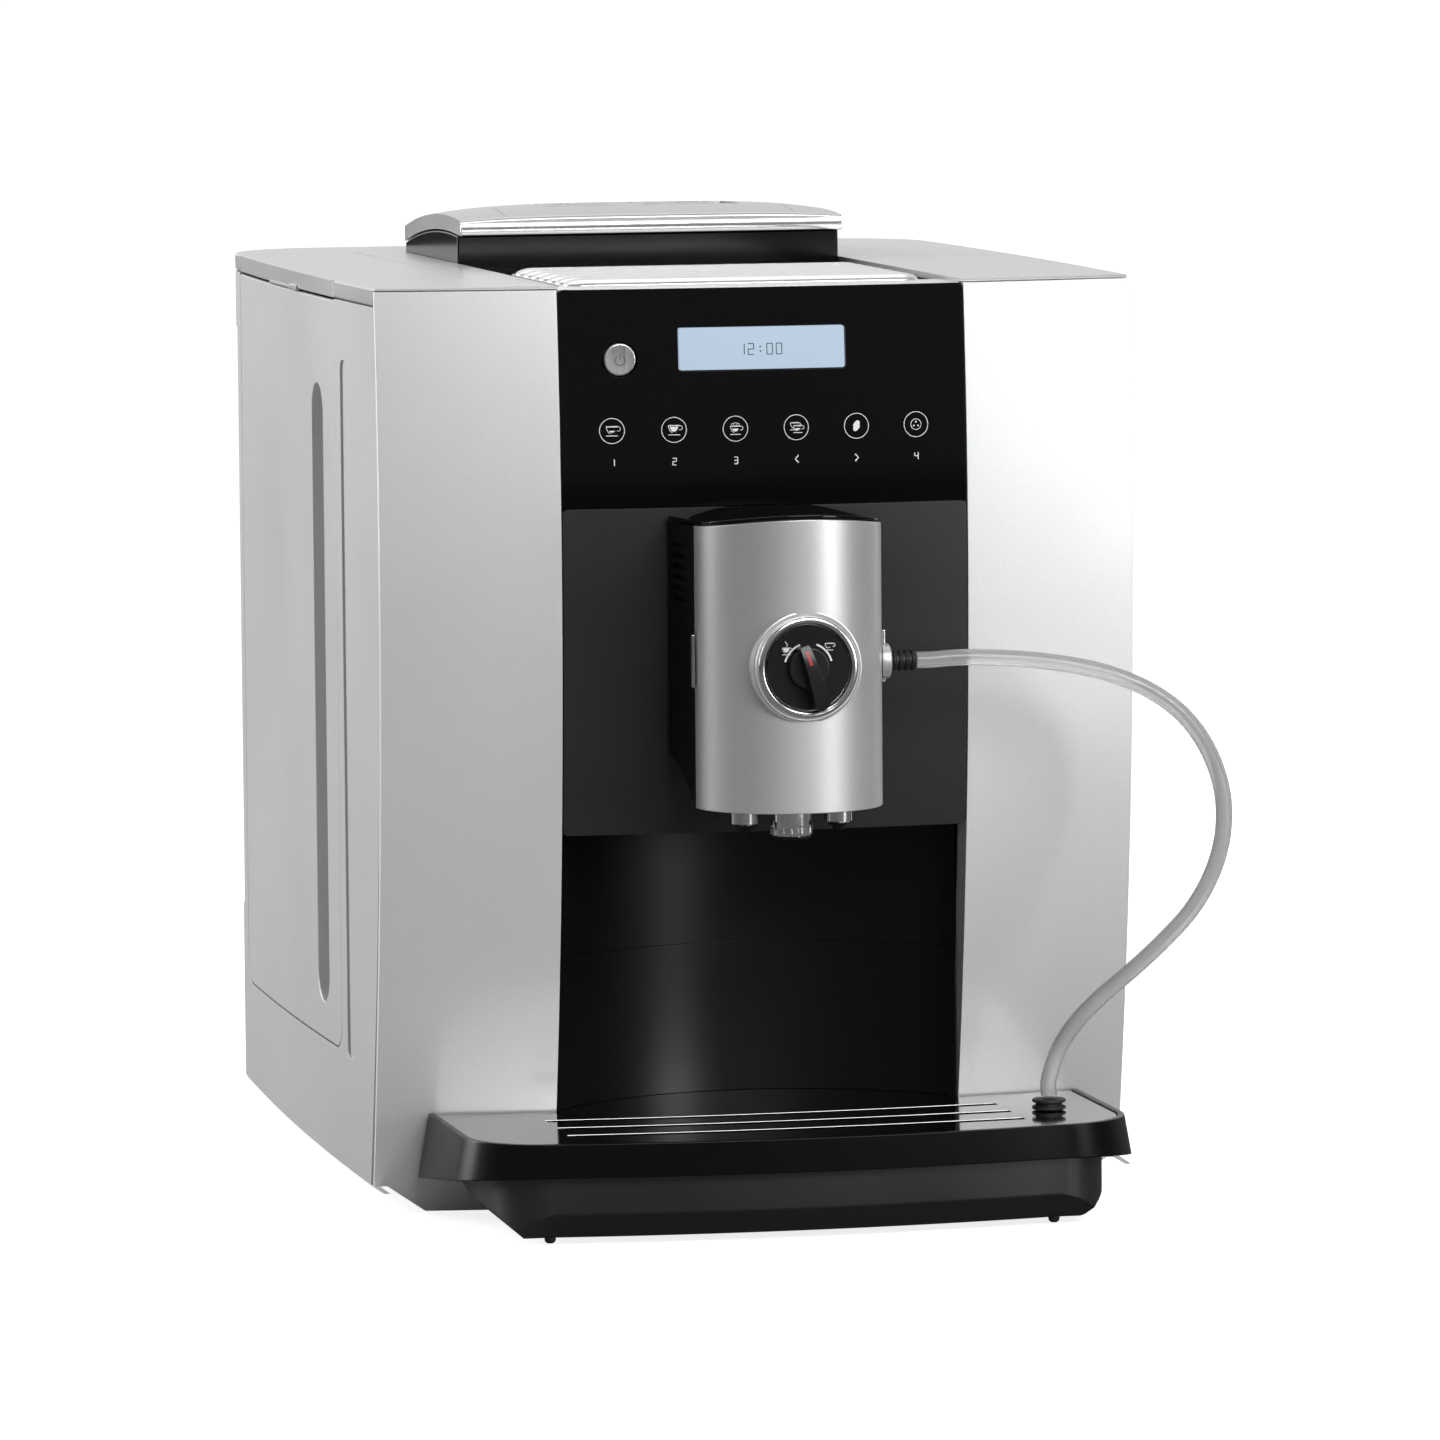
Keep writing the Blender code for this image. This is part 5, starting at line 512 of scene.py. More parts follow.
def rounded(low_a, low_b, high_a, high_b, radius, count=8, corners=(True, True, True, True)):
    """A rectangle with round corners, from the lower left one anticlockwise."""
    centres = [
        (low_a + radius, low_b + radius, math.pi),
        (high_a - radius, low_b + radius, 1.5 * math.pi),
        (high_a - radius, high_b - radius, 0),
        (low_a + radius, high_b - radius, 0.5 * math.pi),
    ]
    sharp = [(low_a, low_b), (high_a, low_b), (high_a, high_b), (low_a, high_b)]
    outline = []
    for (a, b, start), point, is_round in zip(centres, sharp, corners):
        if not is_round:
            outline.append(point)
            continue
        for angle in steps(start, start + math.pi / 2, count):
            outline.append((a + radius * math.cos(angle), b + radius * math.sin(angle)))
    return outline


def circle(a, b, radius, count=48):
    turns = [math.tau * i / count for i in range(count)]
    return [(a + radius * math.cos(t), b + radius * math.sin(t)) for t in turns]


def applied(mesh, *changes):
    """A mesh after modifiers: each change is (type, settings), and a Boolean's object is a mesh."""
    obj = bpy.data.objects.new("work", mesh)
    bpy.context.scene.collection.objects.link(obj)
    helpers = []
    for kind, settings in changes:
        modifier = obj.modifiers.new(kind, kind)
        for key, value in settings.items():
            if key == "object":
                value = bpy.data.objects.new("helper", value)
                bpy.context.scene.collection.objects.link(value)
                helpers.append(value)
            setattr(modifier, key, value)
    result = evaluated(obj)
    for used in helpers:
        bpy.data.objects.remove(used, do_unlink=True)
    return result


def boolean(operation, mesh, others):
    return applied(mesh, *[("BOOLEAN", {"operation": operation, "object": it}) for it in others])


def minus(mesh, *cutters):
    return boolean("DIFFERENCE", mesh, cutters)


def plus(mesh, *others):
    return boolean("UNION", mesh, others)


def common(mesh, *others):
    return boolean("INTERSECT", mesh, others)


def eased(mesh, width, segments=3, angle=30):
    """Rounds the sharp edges of a mesh."""
    return applied(mesh, ("BEVEL", {
        "width": width, "segments": segments, "limit_method": "ANGLE",
        "angle_limit": math.radians(angle), "use_clamp_overlap": True, "harden_normals": False,
    }))


def rolled_edge(radius, face, size, count):
    """The rounded edge of a turned disc in profile, from its face outwards."""
    return [
        (radius - size + size * math.sin(t), face + size - size * math.cos(t))
        for t in steps(0, math.pi / 2, count)
    ]


def lifted(profile, low):
    """A profile drawn from zero, put at a height."""
    return [(radius, low + distance) for radius, distance in profile]


def block(low, high):
    work = bmesh.new()
    size, middle = Vector(high) - Vector(low), (Vector(high) + Vector(low)) / 2
    place = Matrix.Translation(middle) @ Matrix.Diagonal((*size, 1))
    bmesh.ops.create_cube(work, size=1, matrix=place)
    return mesh_from(work)


def piece(name, mesh, look, body, replaces=(), sharp=35):
    """A finished piece: shifted onto the frame, smooth up to an angle, and riding on its body."""
    mesh.transform(Matrix.Translation((0, DATUM_Y, 0)))
    mesh.materials.clear()
    mesh.materials.append(look)
    mesh.shade_smooth()
    mesh.set_sharp_from_angle(angle=math.radians(sharp))
    mesh = applied(mesh, ("WEIGHTED_NORMAL", {"keep_sharp": True, "weight": 50}))
    obj = bpy.data.objects.new(name, mesh)
    machine.objects.link(obj)
    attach(obj, body)
    if replaces:
        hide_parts(*replaces)
    return obj


def dressed(node, mesh, look, body):
    """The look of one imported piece, which it replaces."""
    return piece(node + "_look", mesh, LOOK[look], body, [node])


# %% [markdown]
# ## Panels on curved faces
#
# Covers could be sculpted face by face. Drawing each one flat, easing its edges and bending it
# onto one shared formula keeps the seams between neighbours even, which is what the eye checks.
# Features that repeat at a steady step come from one small Geometry Nodes tree: an item, a
# count and a step go in, and a plain mesh comes out.


# %% Panel helpers and the row tree
def joined(meshes):
    work = bmesh.new()
    for mesh in meshes:
        work.from_mesh(mesh)
    return mesh_from(work)


def front_slab(loops, front, thickness, ease=0.0005, columns=30, rows=14):
    """A panel of the bowed front, set back from its surface."""
    mesh = prism(loops, front, front + thickness, "Y")
    if ease:
        mesh = eased(mesh, ease)
    lows = [min(point[i] for point in loops[0]) for i in (0, 1)]
    highs = [max(point[i] for point in loops[0]) for i in (0, 1)]
    sliced(mesh, "X", steps(lows[0], highs[0], columns)[1:-1])
    sliced(mesh, "Z", steps(lows[1], highs[1], rows)[1:-1])
    return bent(mesh, lambda co: (0, front_y(co.x, co.z), 0))


def side_slab(side, loops, thickness, cuts=(), adds=(), ease=0.0005, columns=30):
    """A cover of the curved side, drawn flat in (y, z) with its depth along X, then bent."""
    mesh = prism(loops, 0, thickness, "X")
    if adds:
        mesh = plus(mesh, *adds)
    if cuts:
        mesh = minus(mesh, *cuts)
    if ease:
        mesh = eased(mesh, ease)
    depths = [point[0] for point in loops[0]]
    sliced(mesh, "Y", steps(min(depths), max(depths), columns)[1:-1])

    def onto(work):
        for vert in work.verts:
            vert.co.x = side * (side_x(vert.co.y) - vert.co.x)
        bmesh.ops.recalc_face_normals(work, faces=work.faces)

    return work_on(mesh, onto)


def side_strip(side, start, end, proud, thickness, count=12):
    """A strip along the body's side in plan, which stands proud of it by a little."""
    outer = [(side * (side_x(y) + proud), y) for y in steps(start, end, count)]
    inner = [(side * (side_x(y) + proud - thickness), y) for y in steps(end, start, count)]
    return outer + inner


row_tree = bpy.data.node_groups.new("even_row", "GeometryNodeTree")
sockets = {}
for label, kind in (
    ("Item", "NodeSocketGeometry"), ("Count", "NodeSocketInt"), ("Step", "NodeSocketVector"),
    ("Finish", "NodeSocketMaterial"),
):
    socket = row_tree.interface.new_socket(label, in_out="INPUT", socket_type=kind)
    sockets[label] = socket.identifier
row_tree.interface.new_socket("Row", in_out="OUTPUT", socket_type="NodeSocketGeometry")
nodes, links = row_tree.nodes, row_tree.links
given, handed = nodes.new("NodeGroupInput"), nodes.new("NodeGroupOutput")
line = nodes.new("GeometryNodeMeshLine")
line.mode = "OFFSET"
placed = nodes.new("GeometryNodeInstanceOnPoints")
solid = nodes.new("GeometryNodeRealizeInstances")
finish = nodes.new("GeometryNodeSetMaterial")
for source, output, target, socket in (
    (given, "Count", line, "Count"), (given, "Step", line, "Offset"),
    (line, "Mesh", placed, "Points"), (given, "Item", placed, "Instance"),
    (placed, "Instances", solid, "Geometry"), (solid, "Geometry", finish, "Geometry"),
    (given, "Finish", finish, "Material"), (finish, "Geometry", handed, "Row"),
):
    links.new(source.outputs[output], target.inputs[socket])


def row_of(item, count, step, look):
    """The item again and again at a steady step, as one plain mesh."""
    obj = bpy.data.objects.new("row", item)
    bpy.context.scene.collection.objects.link(obj)
    modifier = obj.modifiers.new("row", "NODES")
    modifier.node_group = row_tree
    modifier[sockets["Count"]] = count
    modifier[sockets["Step"]] = step
    modifier[sockets["Finish"]] = look
    return evaluated(obj)


print("panel helpers ready")

# %% [markdown]
# ## Front columns
#
# Each silver column is a lacquered moulding: a bowed face with a return beside the black
# centre and a foot that is cut off at a slant. The outline in plan is pushed upwards, cut,
# eased, and leant onto the upright arc.

# %% Columns
FRONT_THICKNESS = 0.003
COLUMN_RETURN, COLUMN_FOOT = 0.014, 0.001
COLUMN_TOP = BODY_TOP - 0.0011 - SEAM
TOE_WIDTH, TOE_SLOPE, SIDE_BOTTOM = 0.005, 0.015, 0.0113


def column(side):
    inner, outer = CENTRE_HALF_WIDTH, BODY_HALF_WIDTH
    face = [(side * x, -front_plan(x)) for x in steps(outer, inner, 16)]
    places = steps(inner + FRONT_THICKNESS, outer, 12)
    back = [(side * x, -front_plan(x) + FRONT_THICKNESS) for x in places]
    end = COLUMN_RETURN - front_plan(inner)
    flange = [(side * inner, end), (side * (inner + FRONT_THICKNESS), end)]
    mesh = prism([face + flange + back], COLUMN_FOOT, COLUMN_TOP)
    toe = outer - TOE_WIDTH
    corner = [
        (side * (toe - TOE_SLOPE), COLUMN_FOOT - 0.001),
        (side * (toe - TOE_SLOPE), COLUMN_FOOT),
        (side * toe, SIDE_BOTTOM),
        (side * (outer + 0.01), SIDE_BOTTOM),
        (side * (outer + 0.01), COLUMN_FOOT - 0.001),
    ]
    low_x, high_x = sorted((side * (inner - 0.004), side * (inner + 0.004)))
    shelf = (low_x, -front_plan(inner) + FRONT_THICKNESS, BODY_TOP - SHELL - 0.0006)
    shoulder = block(shelf, (high_x, 0.1, BODY_TOP))
    mesh = eased(minus(mesh, prism([corner], -0.1, 0.1, "Y"), shoulder), 0.0006)
    sliced(mesh, "Z", steps(COLUMN_FOOT, COLUMN_TOP, 40)[1:-1])
    return bent(mesh, lambda co: (0, -front_rise(co.z), 0))


for side, node in ((-1, "front_column_left"), (1, "front_column_right")):
    dressed(node, column(side), "silver", "housing")
print("columns")

# %% [markdown]
# ## Display and middle panel
#
# The upper panel is a sheet of black acrylic with a polished, eased edge; the one below it is
# plain charcoal moulding. The window is a backlit liquid crystal display, so it has a glow of
# its own. The printed marks are thin raised shapes, because real print is a film on the face.

# %% Panels, window and button
PANEL_HALF_WIDTH = CENTRE_HALF_WIDTH - SEAM
PANEL_CORNER = 0.002
DISPLAY_BOTTOM, PANEL_BOTTOM = 0.2786, 0.1508
LCD_X, LCD_Z = -0.001, BODY_TOP - 0.0251
LCD_HALF, LCD_RECESS = (0.033, 0.0082), 0.0003
BUTTON_X, BUTTON_Z, BUTTON_RADIUS, BUTTON_PROUD = -0.0574, BODY_TOP - 0.0287, 0.0064, 0.0008
BUTTON_EDGE, STEM_RADIUS = 0.0007, 0.0025
RUNNING_GAP = 0.0006


def window(grow):
    low_x, high_x = LCD_X - LCD_HALF[0] - grow, LCD_X + LCD_HALF[0] + grow
    return rounded(low_x, LCD_Z - LCD_HALF[1] - grow, high_x, LCD_Z + LCD_HALF[1] + grow, 0.001, 4)


low_z = DISPLAY_BOTTOM + SEAM
display = rounded(-PANEL_HALF_WIDTH, low_z, PANEL_HALF_WIDTH, COLUMN_TOP, PANEL_CORNER)
holes = [window(SEAM), circle(BUTTON_X, BUTTON_Z, BUTTON_RADIUS + RUNNING_GAP)]
panel = front_slab([display] + holes, 0, FRONT_THICKNESS, 0.0006)
dressed("display_panel", panel, "gloss_black", "housing")
glass = front_slab([window(0)], LCD_RECESS, FRONT_THICKNESS - LCD_RECESS, 0.0002, 16, 4)
dressed("lcd_window", glass, "display_glass", "housing")
slot_hole = rounded(-0.0126, 0.1694, 0.0126, 0.2741, 0.0005, 2)
middle = rounded(-PANEL_HALF_WIDTH, PANEL_BOTTOM, PANEL_HALF_WIDTH, DISPLAY_BOTTOM, PANEL_CORNER)
panel = front_slab([middle, slot_hole], 0, FRONT_THICKNESS, 0.0006)
dressed("middle_panel", panel, "charcoal", "housing")

button_face = front_y(BUTTON_X, BUTTON_Z) - BUTTON_PROUD
dish, disc_back = button_face + 0.0001, button_face + 0.0017
stem_end = float(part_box("power_button")[1][1]) - DATUM_Y
profile = [(0, dish), (BUTTON_RADIUS * 0.8, dish)]
profile += rolled_edge(BUTTON_RADIUS, button_face, BUTTON_EDGE, 6) + [(BUTTON_RADIUS, disc_back)]
profile += [(STEM_RADIUS, disc_back), (STEM_RADIUS, stem_end), (0, stem_end)]
button = spun(profile, (BUTTON_X, 0, BUTTON_Z), "Y", 96)
dressed("power_button", button, "brushed_disc", "button")
print("panels, window, button")

# %% Printed marks
PRINT = 0.00004
KEY_X, KEY_STEP, KEY_Z, KEY_RADIUS = -0.0610, 0.02427, 0.3088, 0.0050
LABEL_Z = 0.2965


def stroke(points, width):
    """An open line with a width, as an outline."""
    half, left, right = width / 2, [], []
    for i, (a, b) in enumerate(points):
        before, after = points[max(i - 1, 0)], points[min(i + 1, len(points) - 1)]
        run = Vector((after[0] - before[0], after[1] - before[1])).normalized()
        left.append((a - run.y * half, b + run.x * half))
        right.append((a + run.y * half, b - run.x * half))
    return left + right[::-1]


def arc(a, b, radius, start, end, count=20, squeeze=1.0):
    turns = steps(math.radians(start), math.radians(end), count)
    return [(a + radius * math.cos(t), b + radius * squeeze * math.sin(t)) for t in turns]


def print_of(shapes, surface, proud=PRINT, back=0.00008):
    """Shapes, each a list of loops, as one thin print at a depth given by surface(x, z)."""
    flats = [prism(loops, -proud, back, "Y") for loops in shapes]
    return bent(joined(flats), lambda co: (0, surface(co.x, co.z), 0))


def cup(a, b, size, full):
    """A small side view of a cup on its saucer, with its drink as high as full says."""
    thin, brim, under = 0.00022, b + size * 0.42, b - size * 0.46
    bowl = arc(a, brim, size * 0.52, 180, 360, 24, 1.35)
    handle = arc(a + size * 0.58, b + size * 0.18, size * 0.2, 120, -120)
    saucer = [(a - size * 0.55, under), (a + size * 0.55, under)]
    level = b + size * (0.42 - 0.70 * (1 - full))
    drink = [(x, z) for x, z in arc(a, brim, size * 0.40, 180, 360, 24, 1.45) if z <= level]
    lines = (bowl + [bowl[0]], thin), (handle, thin), (saucer, thin * 1.2)
    return [[stroke(*line)] for line in lines] + [[drink]]


keys = [KEY_X + key * KEY_STEP for key in range(6)]
shapes = [
    [circle(x, KEY_Z, KEY_RADIUS, 56), circle(x, KEY_Z, KEY_RADIUS - 0.00026, 56)] for x in keys
]
shapes += cup(keys[0], KEY_Z, 0.0042, 0.45)
shapes += cup(keys[1], KEY_Z, 0.0042, 0.85)
shapes += cup(keys[2], KEY_Z - 0.0005, 0.0038, 0.60)
foam = []
for hump, wide in ((-0.0010, 0.0006), (0, 0.0009), (0.0010, 0.0006)):
    foam += arc(keys[2] + hump, KEY_Z + 0.0014, wide, 170, 10, 8)
shapes.append([stroke(foam, 0.0002)])
shapes += cup(keys[3] - 0.0007, KEY_Z + 0.0005, 0.0032, 0.0)
shapes += cup(keys[3] + 0.0006, KEY_Z - 0.0006, 0.0032, 0.5)
for side in (-1, 1):
    half_bean = arc(0, 0, 0.0021, 90 * side + 90, 90 * side - 90, 20)
    split = keys[4] - side * 0.00016
    shapes.append([[(split + 0.62 * a + 0.35 * b, KEY_Z + b) for a, b in half_bean]])
shapes.append([circle(keys[5], KEY_Z, 0.0022, 36), circle(keys[5], KEY_Z, 0.00198, 36)])
shapes += [[circle(x, z, 0.00034, 14)] for x, z in arc(keys[5], KEY_Z, 0.0010, 90, 330, 2)]
for key, way in ((3, -1), (4, 1)):
    tail, tip = keys[key] - way * 0.0007, keys[key] + way * 0.0006
    arrow = [(tail, LABEL_Z + 0.0014), (tip, LABEL_Z), (tail, LABEL_Z - 0.0014)]
    shapes.append([stroke(arrow, 0.0005)])


def digits(text, a, b, height, width, thin):
    """Plain seven-stroke digits, centred on a place."""
    bars = {
        "a": ((0, 1), (1, 1)), "b": ((1, 1), (1, 0)), "c": ((1, 0), (1, -1)),
        "d": ((0, -1), (1, -1)), "e": ((0, 0), (0, -1)), "f": ((0, 1), (0, 0)),
        "g": ((0, 0), (1, 0)),
    }
    strokes = {"0": "abcdef", "1": "bc", "2": "abged", "3": "abgcd", "4": "fgbc"}
    drawn = []
    for i, letter in enumerate(text):
        left = a + (i - (len(text) - 1) / 2) * width * 1.7 - width / 2
        if letter == ":":
            drawn += [[circle(left + width / 2, b + way * height / 5, thin, 10)] for way in (-1, 1)]
            continue
        for bar in strokes[letter]:
            line = [(left + width * across, b + height / 2 * up) for across, up in bars[bar]]
            drawn.append([stroke(line, thin)])
    return drawn


for key, label in ((0, "1"), (1, "2"), (2, "3"), (5, "4")):
    shapes += digits(label, keys[key], LABEL_Z, 0.0026, 0.0014, 0.00036)
piece("key_print", print_of(shapes, front_y), LOOK["white_print"], "housing")
shapes = digits("12:00", LCD_X - 0.0008, LCD_Z - 0.0004, 0.0042, 0.0022, 0.00036)
time = print_of(shapes, lambda x, z: front_y(x, z) + LCD_RECESS)
piece("window_digits", time, LOOK["dark_print"], "housing")
mark = [
    [stroke(arc(BUTTON_X, BUTTON_Z - 0.0003, 0.0020, 125, 415, 30), 0.0003)],
    [stroke([(BUTTON_X, BUTTON_Z + 0.0022), (BUTTON_X, BUTTON_Z - 0.0001)], 0.0003)],
]
mark = print_of(mark, lambda x, z: dish)
piece("button_mark", mark, LOOK["dark_print"], "button")
print("marks: six keys, four digits, two arrows, window digits, power mark")

# %% [markdown]
# ## The concave wall behind the cup
#
# Satin black moulding in two pieces: a fixed upper half, and below it the front of the grounds
# container, which leaves with the tray. One arc in plan gives both, so the seam is even.

# %% Splash panel and grounds container
RECESS_START, RECESS_DEPTH, RECESS_WALL = 0.0045, 0.0425, 0.0025
DRAWER_TOP, PLATE_TOP, PLATE_THICKNESS = 0.100, 0.0405, 0.0010
recess_radius = (PANEL_HALF_WIDTH**2 + RECESS_DEPTH**2) / (2 * RECESS_DEPTH)


def recess_y(x, offset=0):
    return RECESS_START + RECESS_DEPTH - recess_radius + math.sqrt(recess_radius**2 - x**2) + offset


def recess_strip(front, rear, half, count=44):
    ahead = [(x, recess_y(x, front)) for x in steps(-half, half, count)]
    return ahead + [(x, recess_y(x, rear)) for x in steps(half, -half, count)]


strip = recess_strip(0, RECESS_WALL, PANEL_HALF_WIDTH - SEAM)
wall = eased(prism([strip], DRAWER_TOP + 0.0001, PANEL_BOTTOM - SEAM), 0.0001, 2)
dressed("splash_panel", wall, "wall_black", "housing")

wide, half = PANEL_HALF_WIDTH - RUNNING_GAP, 0.066
low, floor_z, thick = PLATE_TOP + 0.0001, 0.0215, 0.002
rear = recess_y(0) + 0.135
front_wall = prism([recess_strip(0, RECESS_WALL, wide)], low, DRAWER_TOP)
bin_front = [(x, recess_y(x, RECESS_WALL / 2)) for x in steps(-half, half, 24)]
bin_outside = prism([bin_front + [(half, rear), (-half, rear)]], low, DRAWER_TOP)
back = recess_y(0) + RECESS_WALL
well = block((-half, back, floor_z), (half, rear, low + thick))
inner = [(x, recess_y(x, RECESS_WALL + thick / 2)) for x in steps(-half + thick, half - thick, 24)]
inner += [(half - thick, rear - thick), (-half + thick, rear - thick)]
hollow = prism([inner], low + 2 * thick, DRAWER_TOP + 0.01)
deep = block(
    (-half + thick, back + thick, floor_z + thick), (half - thick, rear - thick, low + 3 * thick),
)
bin_mesh = eased(minus(plus(front_wall, bin_outside, well), hollow, deep), 0.0001, 2)
dressed("grounds_container", bin_mesh, "wall_black", "drip_tray")
print("splash panel and grounds container")

# %% [markdown]
# ## The spout
#
# The most skilled feature. A silver half shell stands before a black carriage that slides on
# the guide. Its plan is half an ellipse and its upper edge is vaulted, so the cover is a bent
# wall rather than a tube with a lid. The carriage carries grip ribs, and the cap closes the
# vault. The cover has no hole for the knob's shaft, because the boss hides that place.

# %% Cover, cap and carriage
SPOUT_Y, SPOUT_HALF_WIDTH, SPOUT_REACH, SPOUT_WALL = -0.052, 0.0367, 0.0335, 0.002
SPOUT_LOW, SPOUT_TOP, SPOUT_ARCH = 0.1645, 0.274, 0.0036
CARRIAGE_BACK, CARRIAGE_HALF, HEEL = -0.0225, 0.0403, 0.012
GUIDE_HALF, GUIDE_DEEP = 0.0126, CARRIAGE_BACK - 0.0048
KNOB_Z, BEZEL_FACE = 0.221, -0.0885
SHAFT_HOLE, CAP_THICKNESS = 0.0036, 0.0014
NOTCH_LOW, NOTCH_HEIGHT, NOTCH_STEP = 0.2435, 0.0018, 0.0042


def spout_arc(inset, count=48):
    wide, deep = SPOUT_HALF_WIDTH - inset, SPOUT_REACH - inset
    turns = steps(math.pi, math.tau, count)
    return [(wide * math.cos(t), SPOUT_Y + deep * math.sin(t)) for t in turns]


def spout_arch(x):
    return SPOUT_ARCH * (1 - (min(abs(x), SPOUT_HALF_WIDTH) / SPOUT_HALF_WIDTH) ** 2)


def vaulted(co):
    share = min(max((co.z - KNOB_Z) / (SPOUT_TOP - KNOB_Z), 0), 1)
    return (0, 0, share * spout_arch(co.x))


def rod(radius, low, high, place, axis="Z", segments=48):
    return spun([(0, low), (radius, low), (radius, high), (0, high)], place, axis, segments)


def spout_envelope(grow, low, high):
    half = SPOUT_HALF_WIDTH + grow
    outline = spout_arc(-grow, 60) + [(half, CARRIAGE_BACK), (-half, CARRIAGE_BACK)]
    return prism([outline], low, high)


knob_place = (0, 0, KNOB_Z)
shell = prism([spout_arc(0) + spout_arc(SPOUT_WALL)[::-1]], SPOUT_LOW, SPOUT_TOP)
cover = eased(shell, 0.0004, 3)
sliced(cover, "Z", steps(KNOB_Z, SPOUT_TOP, 4)[1:-1])
dressed("spout_cover", bent(cover, vaulted), "spout_silver", "spout")

notch = [
    (GUIDE_HALF, CARRIAGE_BACK), (GUIDE_HALF, GUIDE_DEEP),
    (-GUIDE_HALF, GUIDE_DEEP), (-GUIDE_HALF, CARRIAGE_BACK),
]
cap_low = SPOUT_TOP + 0.0004
left_back, right_back = (-CARRIAGE_HALF, CARRIAGE_BACK), (CARRIAGE_HALF, CARRIAGE_BACK)
outline = [left_back] + spout_arc(0) + [right_back] + notch
cap = eased(prism([outline], cap_low, cap_low + CAP_THICKNESS), 0.0004, 3)
cap = bent(sliced(cap, "X", steps(-0.036, 0.036, 24)), lambda co: (0, 0, spout_arch(co.x)))
dressed("spout_cap", cap, "gloss_black", "spout")

shoulder, inset = SPOUT_Y + SEAM, SPOUT_WALL + SEAM
low, high = SPOUT_LOW + 0.001, SPOUT_TOP - SEAM
outline = [left_back, (-SPOUT_HALF_WIDTH, shoulder), (SPOUT_HALF_WIDTH, shoulder), right_back]
outline += notch
carriage = prism([outline], low + HEEL / 6, high)
heel = [(CARRIAGE_BACK + 0.001, low - 0.01), (CARRIAGE_BACK + 0.001, low + 1.5 * HEEL)]
reach, drop = 0.92 * (shoulder - CARRIAGE_BACK), 1.6 * HEEL
for turn in steps(0, math.pi / 2, 10):
    away, up = reach * math.sin(turn) ** 1.5, drop * math.cos(turn) ** 1.2
    heel.append((CARRIAGE_BACK + away, low - 0.002 + up))
heel.append((shoulder - 0.001, low - 0.01))
carriage = minus(carriage, prism([heel], -0.06, 0.06, "X"))
core = spout_arc(inset)
core_outline = [(core[0][0], shoulder + SPOUT_WALL)] + core + [(core[-1][0], shoulder + SPOUT_WALL)]
carriage = plus(carriage, prism([core_outline], low, high - SEAM))
grip_gaps = []
for side in (-1, 1):
    low_x, high_x = sorted((side * (SPOUT_HALF_WIDTH + 0.0007), side * 0.05))
    grip_gaps.append(block(
        (low_x, shoulder - 0.0018, NOTCH_LOW),
        (high_x, CARRIAGE_BACK + 0.001, NOTCH_LOW + NOTCH_HEIGHT),
    ))
grooves = row_of(joined(grip_gaps), 6, (0, 0, NOTCH_STEP), LOOK["black_plastic"])
shaft = rod(SHAFT_HOLE, BEZEL_FACE - 0.02, -0.0782, knob_place, "Y")
carriage = eased(minus(carriage, grooves, shaft), 0.0004, 2)
dressed("spout_carriage", carriage, "black_plastic", "spout")

for side, node in ((-1, "spout_clip_left"), (1, "spout_clip_right")):
    near = SPOUT_HALF_WIDTH + 0.0004
    low_x, high_x = sorted((side * near, side * (near + 0.0013)))
    clip = eased(block((low_x, SPOUT_Y - 0.0032, 0.2115), (high_x, SPOUT_Y, 0.2320)), 0.0005, 4)
    dressed(node, clip, "chrome", "spout")
print("spout cover, cap, carriage and clips")

# %% [markdown]
# ## Selector knob
#
# Turned parts: a silver boss trimmed to the cover, a bright double ring, a black dial and a knob
# with a tapered finger bar. The dial's marks are print, the red pointer is a small inlay.

# %% Boss, ring, dial and knob
FOOT_RADIUS, RING_RADIUS, RING_BORE = 0.0215, 0.0196, 0.0168
root = SPOUT_Y - SPOUT_REACH / 2
boss_top, boss_bore = BEZEL_FACE + 0.0021, RING_RADIUS - 0.0012
profile = [(boss_bore, root), (FOOT_RADIUS, root), (FOOT_RADIUS, boss_top + 0.0014)]
profile += [
    (RING_RADIUS + 0.0019 - 0.0012 * math.sin(t), boss_top + 0.0008 - 0.0014 * (1 - math.cos(t)))
    for t in steps(0, math.pi / 2, 8)
]
profile += [(boss_bore, boss_top - 0.0004)]
trim = spout_envelope(0.0004, KNOB_Z - 0.03, KNOB_Z + 0.03)
boss = minus(spun(profile, knob_place, "Y", 128), trim)
piece("knob_boss", boss, LOOK["spout_silver"], "spout")

middle_radius = (RING_RADIUS + RING_BORE) / 2
half = (RING_RADIUS - RING_BORE) / 2
ring = [(RING_RADIUS, 0.0010)]
ring += [
    (middle_radius + half * math.cos(t), 0.0010 - 0.0010 * math.sin(t))
    for t in steps(0.15, 1.45, 6)
]
ring += [(middle_radius + 0.0001, 0.00035)]
ring += [
    (middle_radius - 0.0002 - half * 0.8 * math.sin(t), 0.0003 + 0.0009 * (1 - math.cos(t)))
    for t in steps(0.1, 1.5, 6)
]
ring = [(RING_BORE, root), (RING_RADIUS, root)] + lifted(ring + [(RING_BORE, 0.0016)], BEZEL_FACE)
bezel = minus(spun(ring, knob_place, "Y", 128), trim)
dressed("knob_bezel", bezel, "chrome", "spout")

dial_front, dial_radius, dial_back = BEZEL_FACE + 0.0008, 0.0163, BEZEL_FACE + 0.0020
profile = [(SHAFT_HOLE, dial_front), (SHAFT_HOLE, dial_back), (dial_radius, dial_back)]
profile += [(dial_radius, dial_front + 0.0003), (dial_radius - 0.0003, dial_front)]
dressed("knob_dial", spun(profile, knob_place, "Y", 96), "black_plastic", "spout")

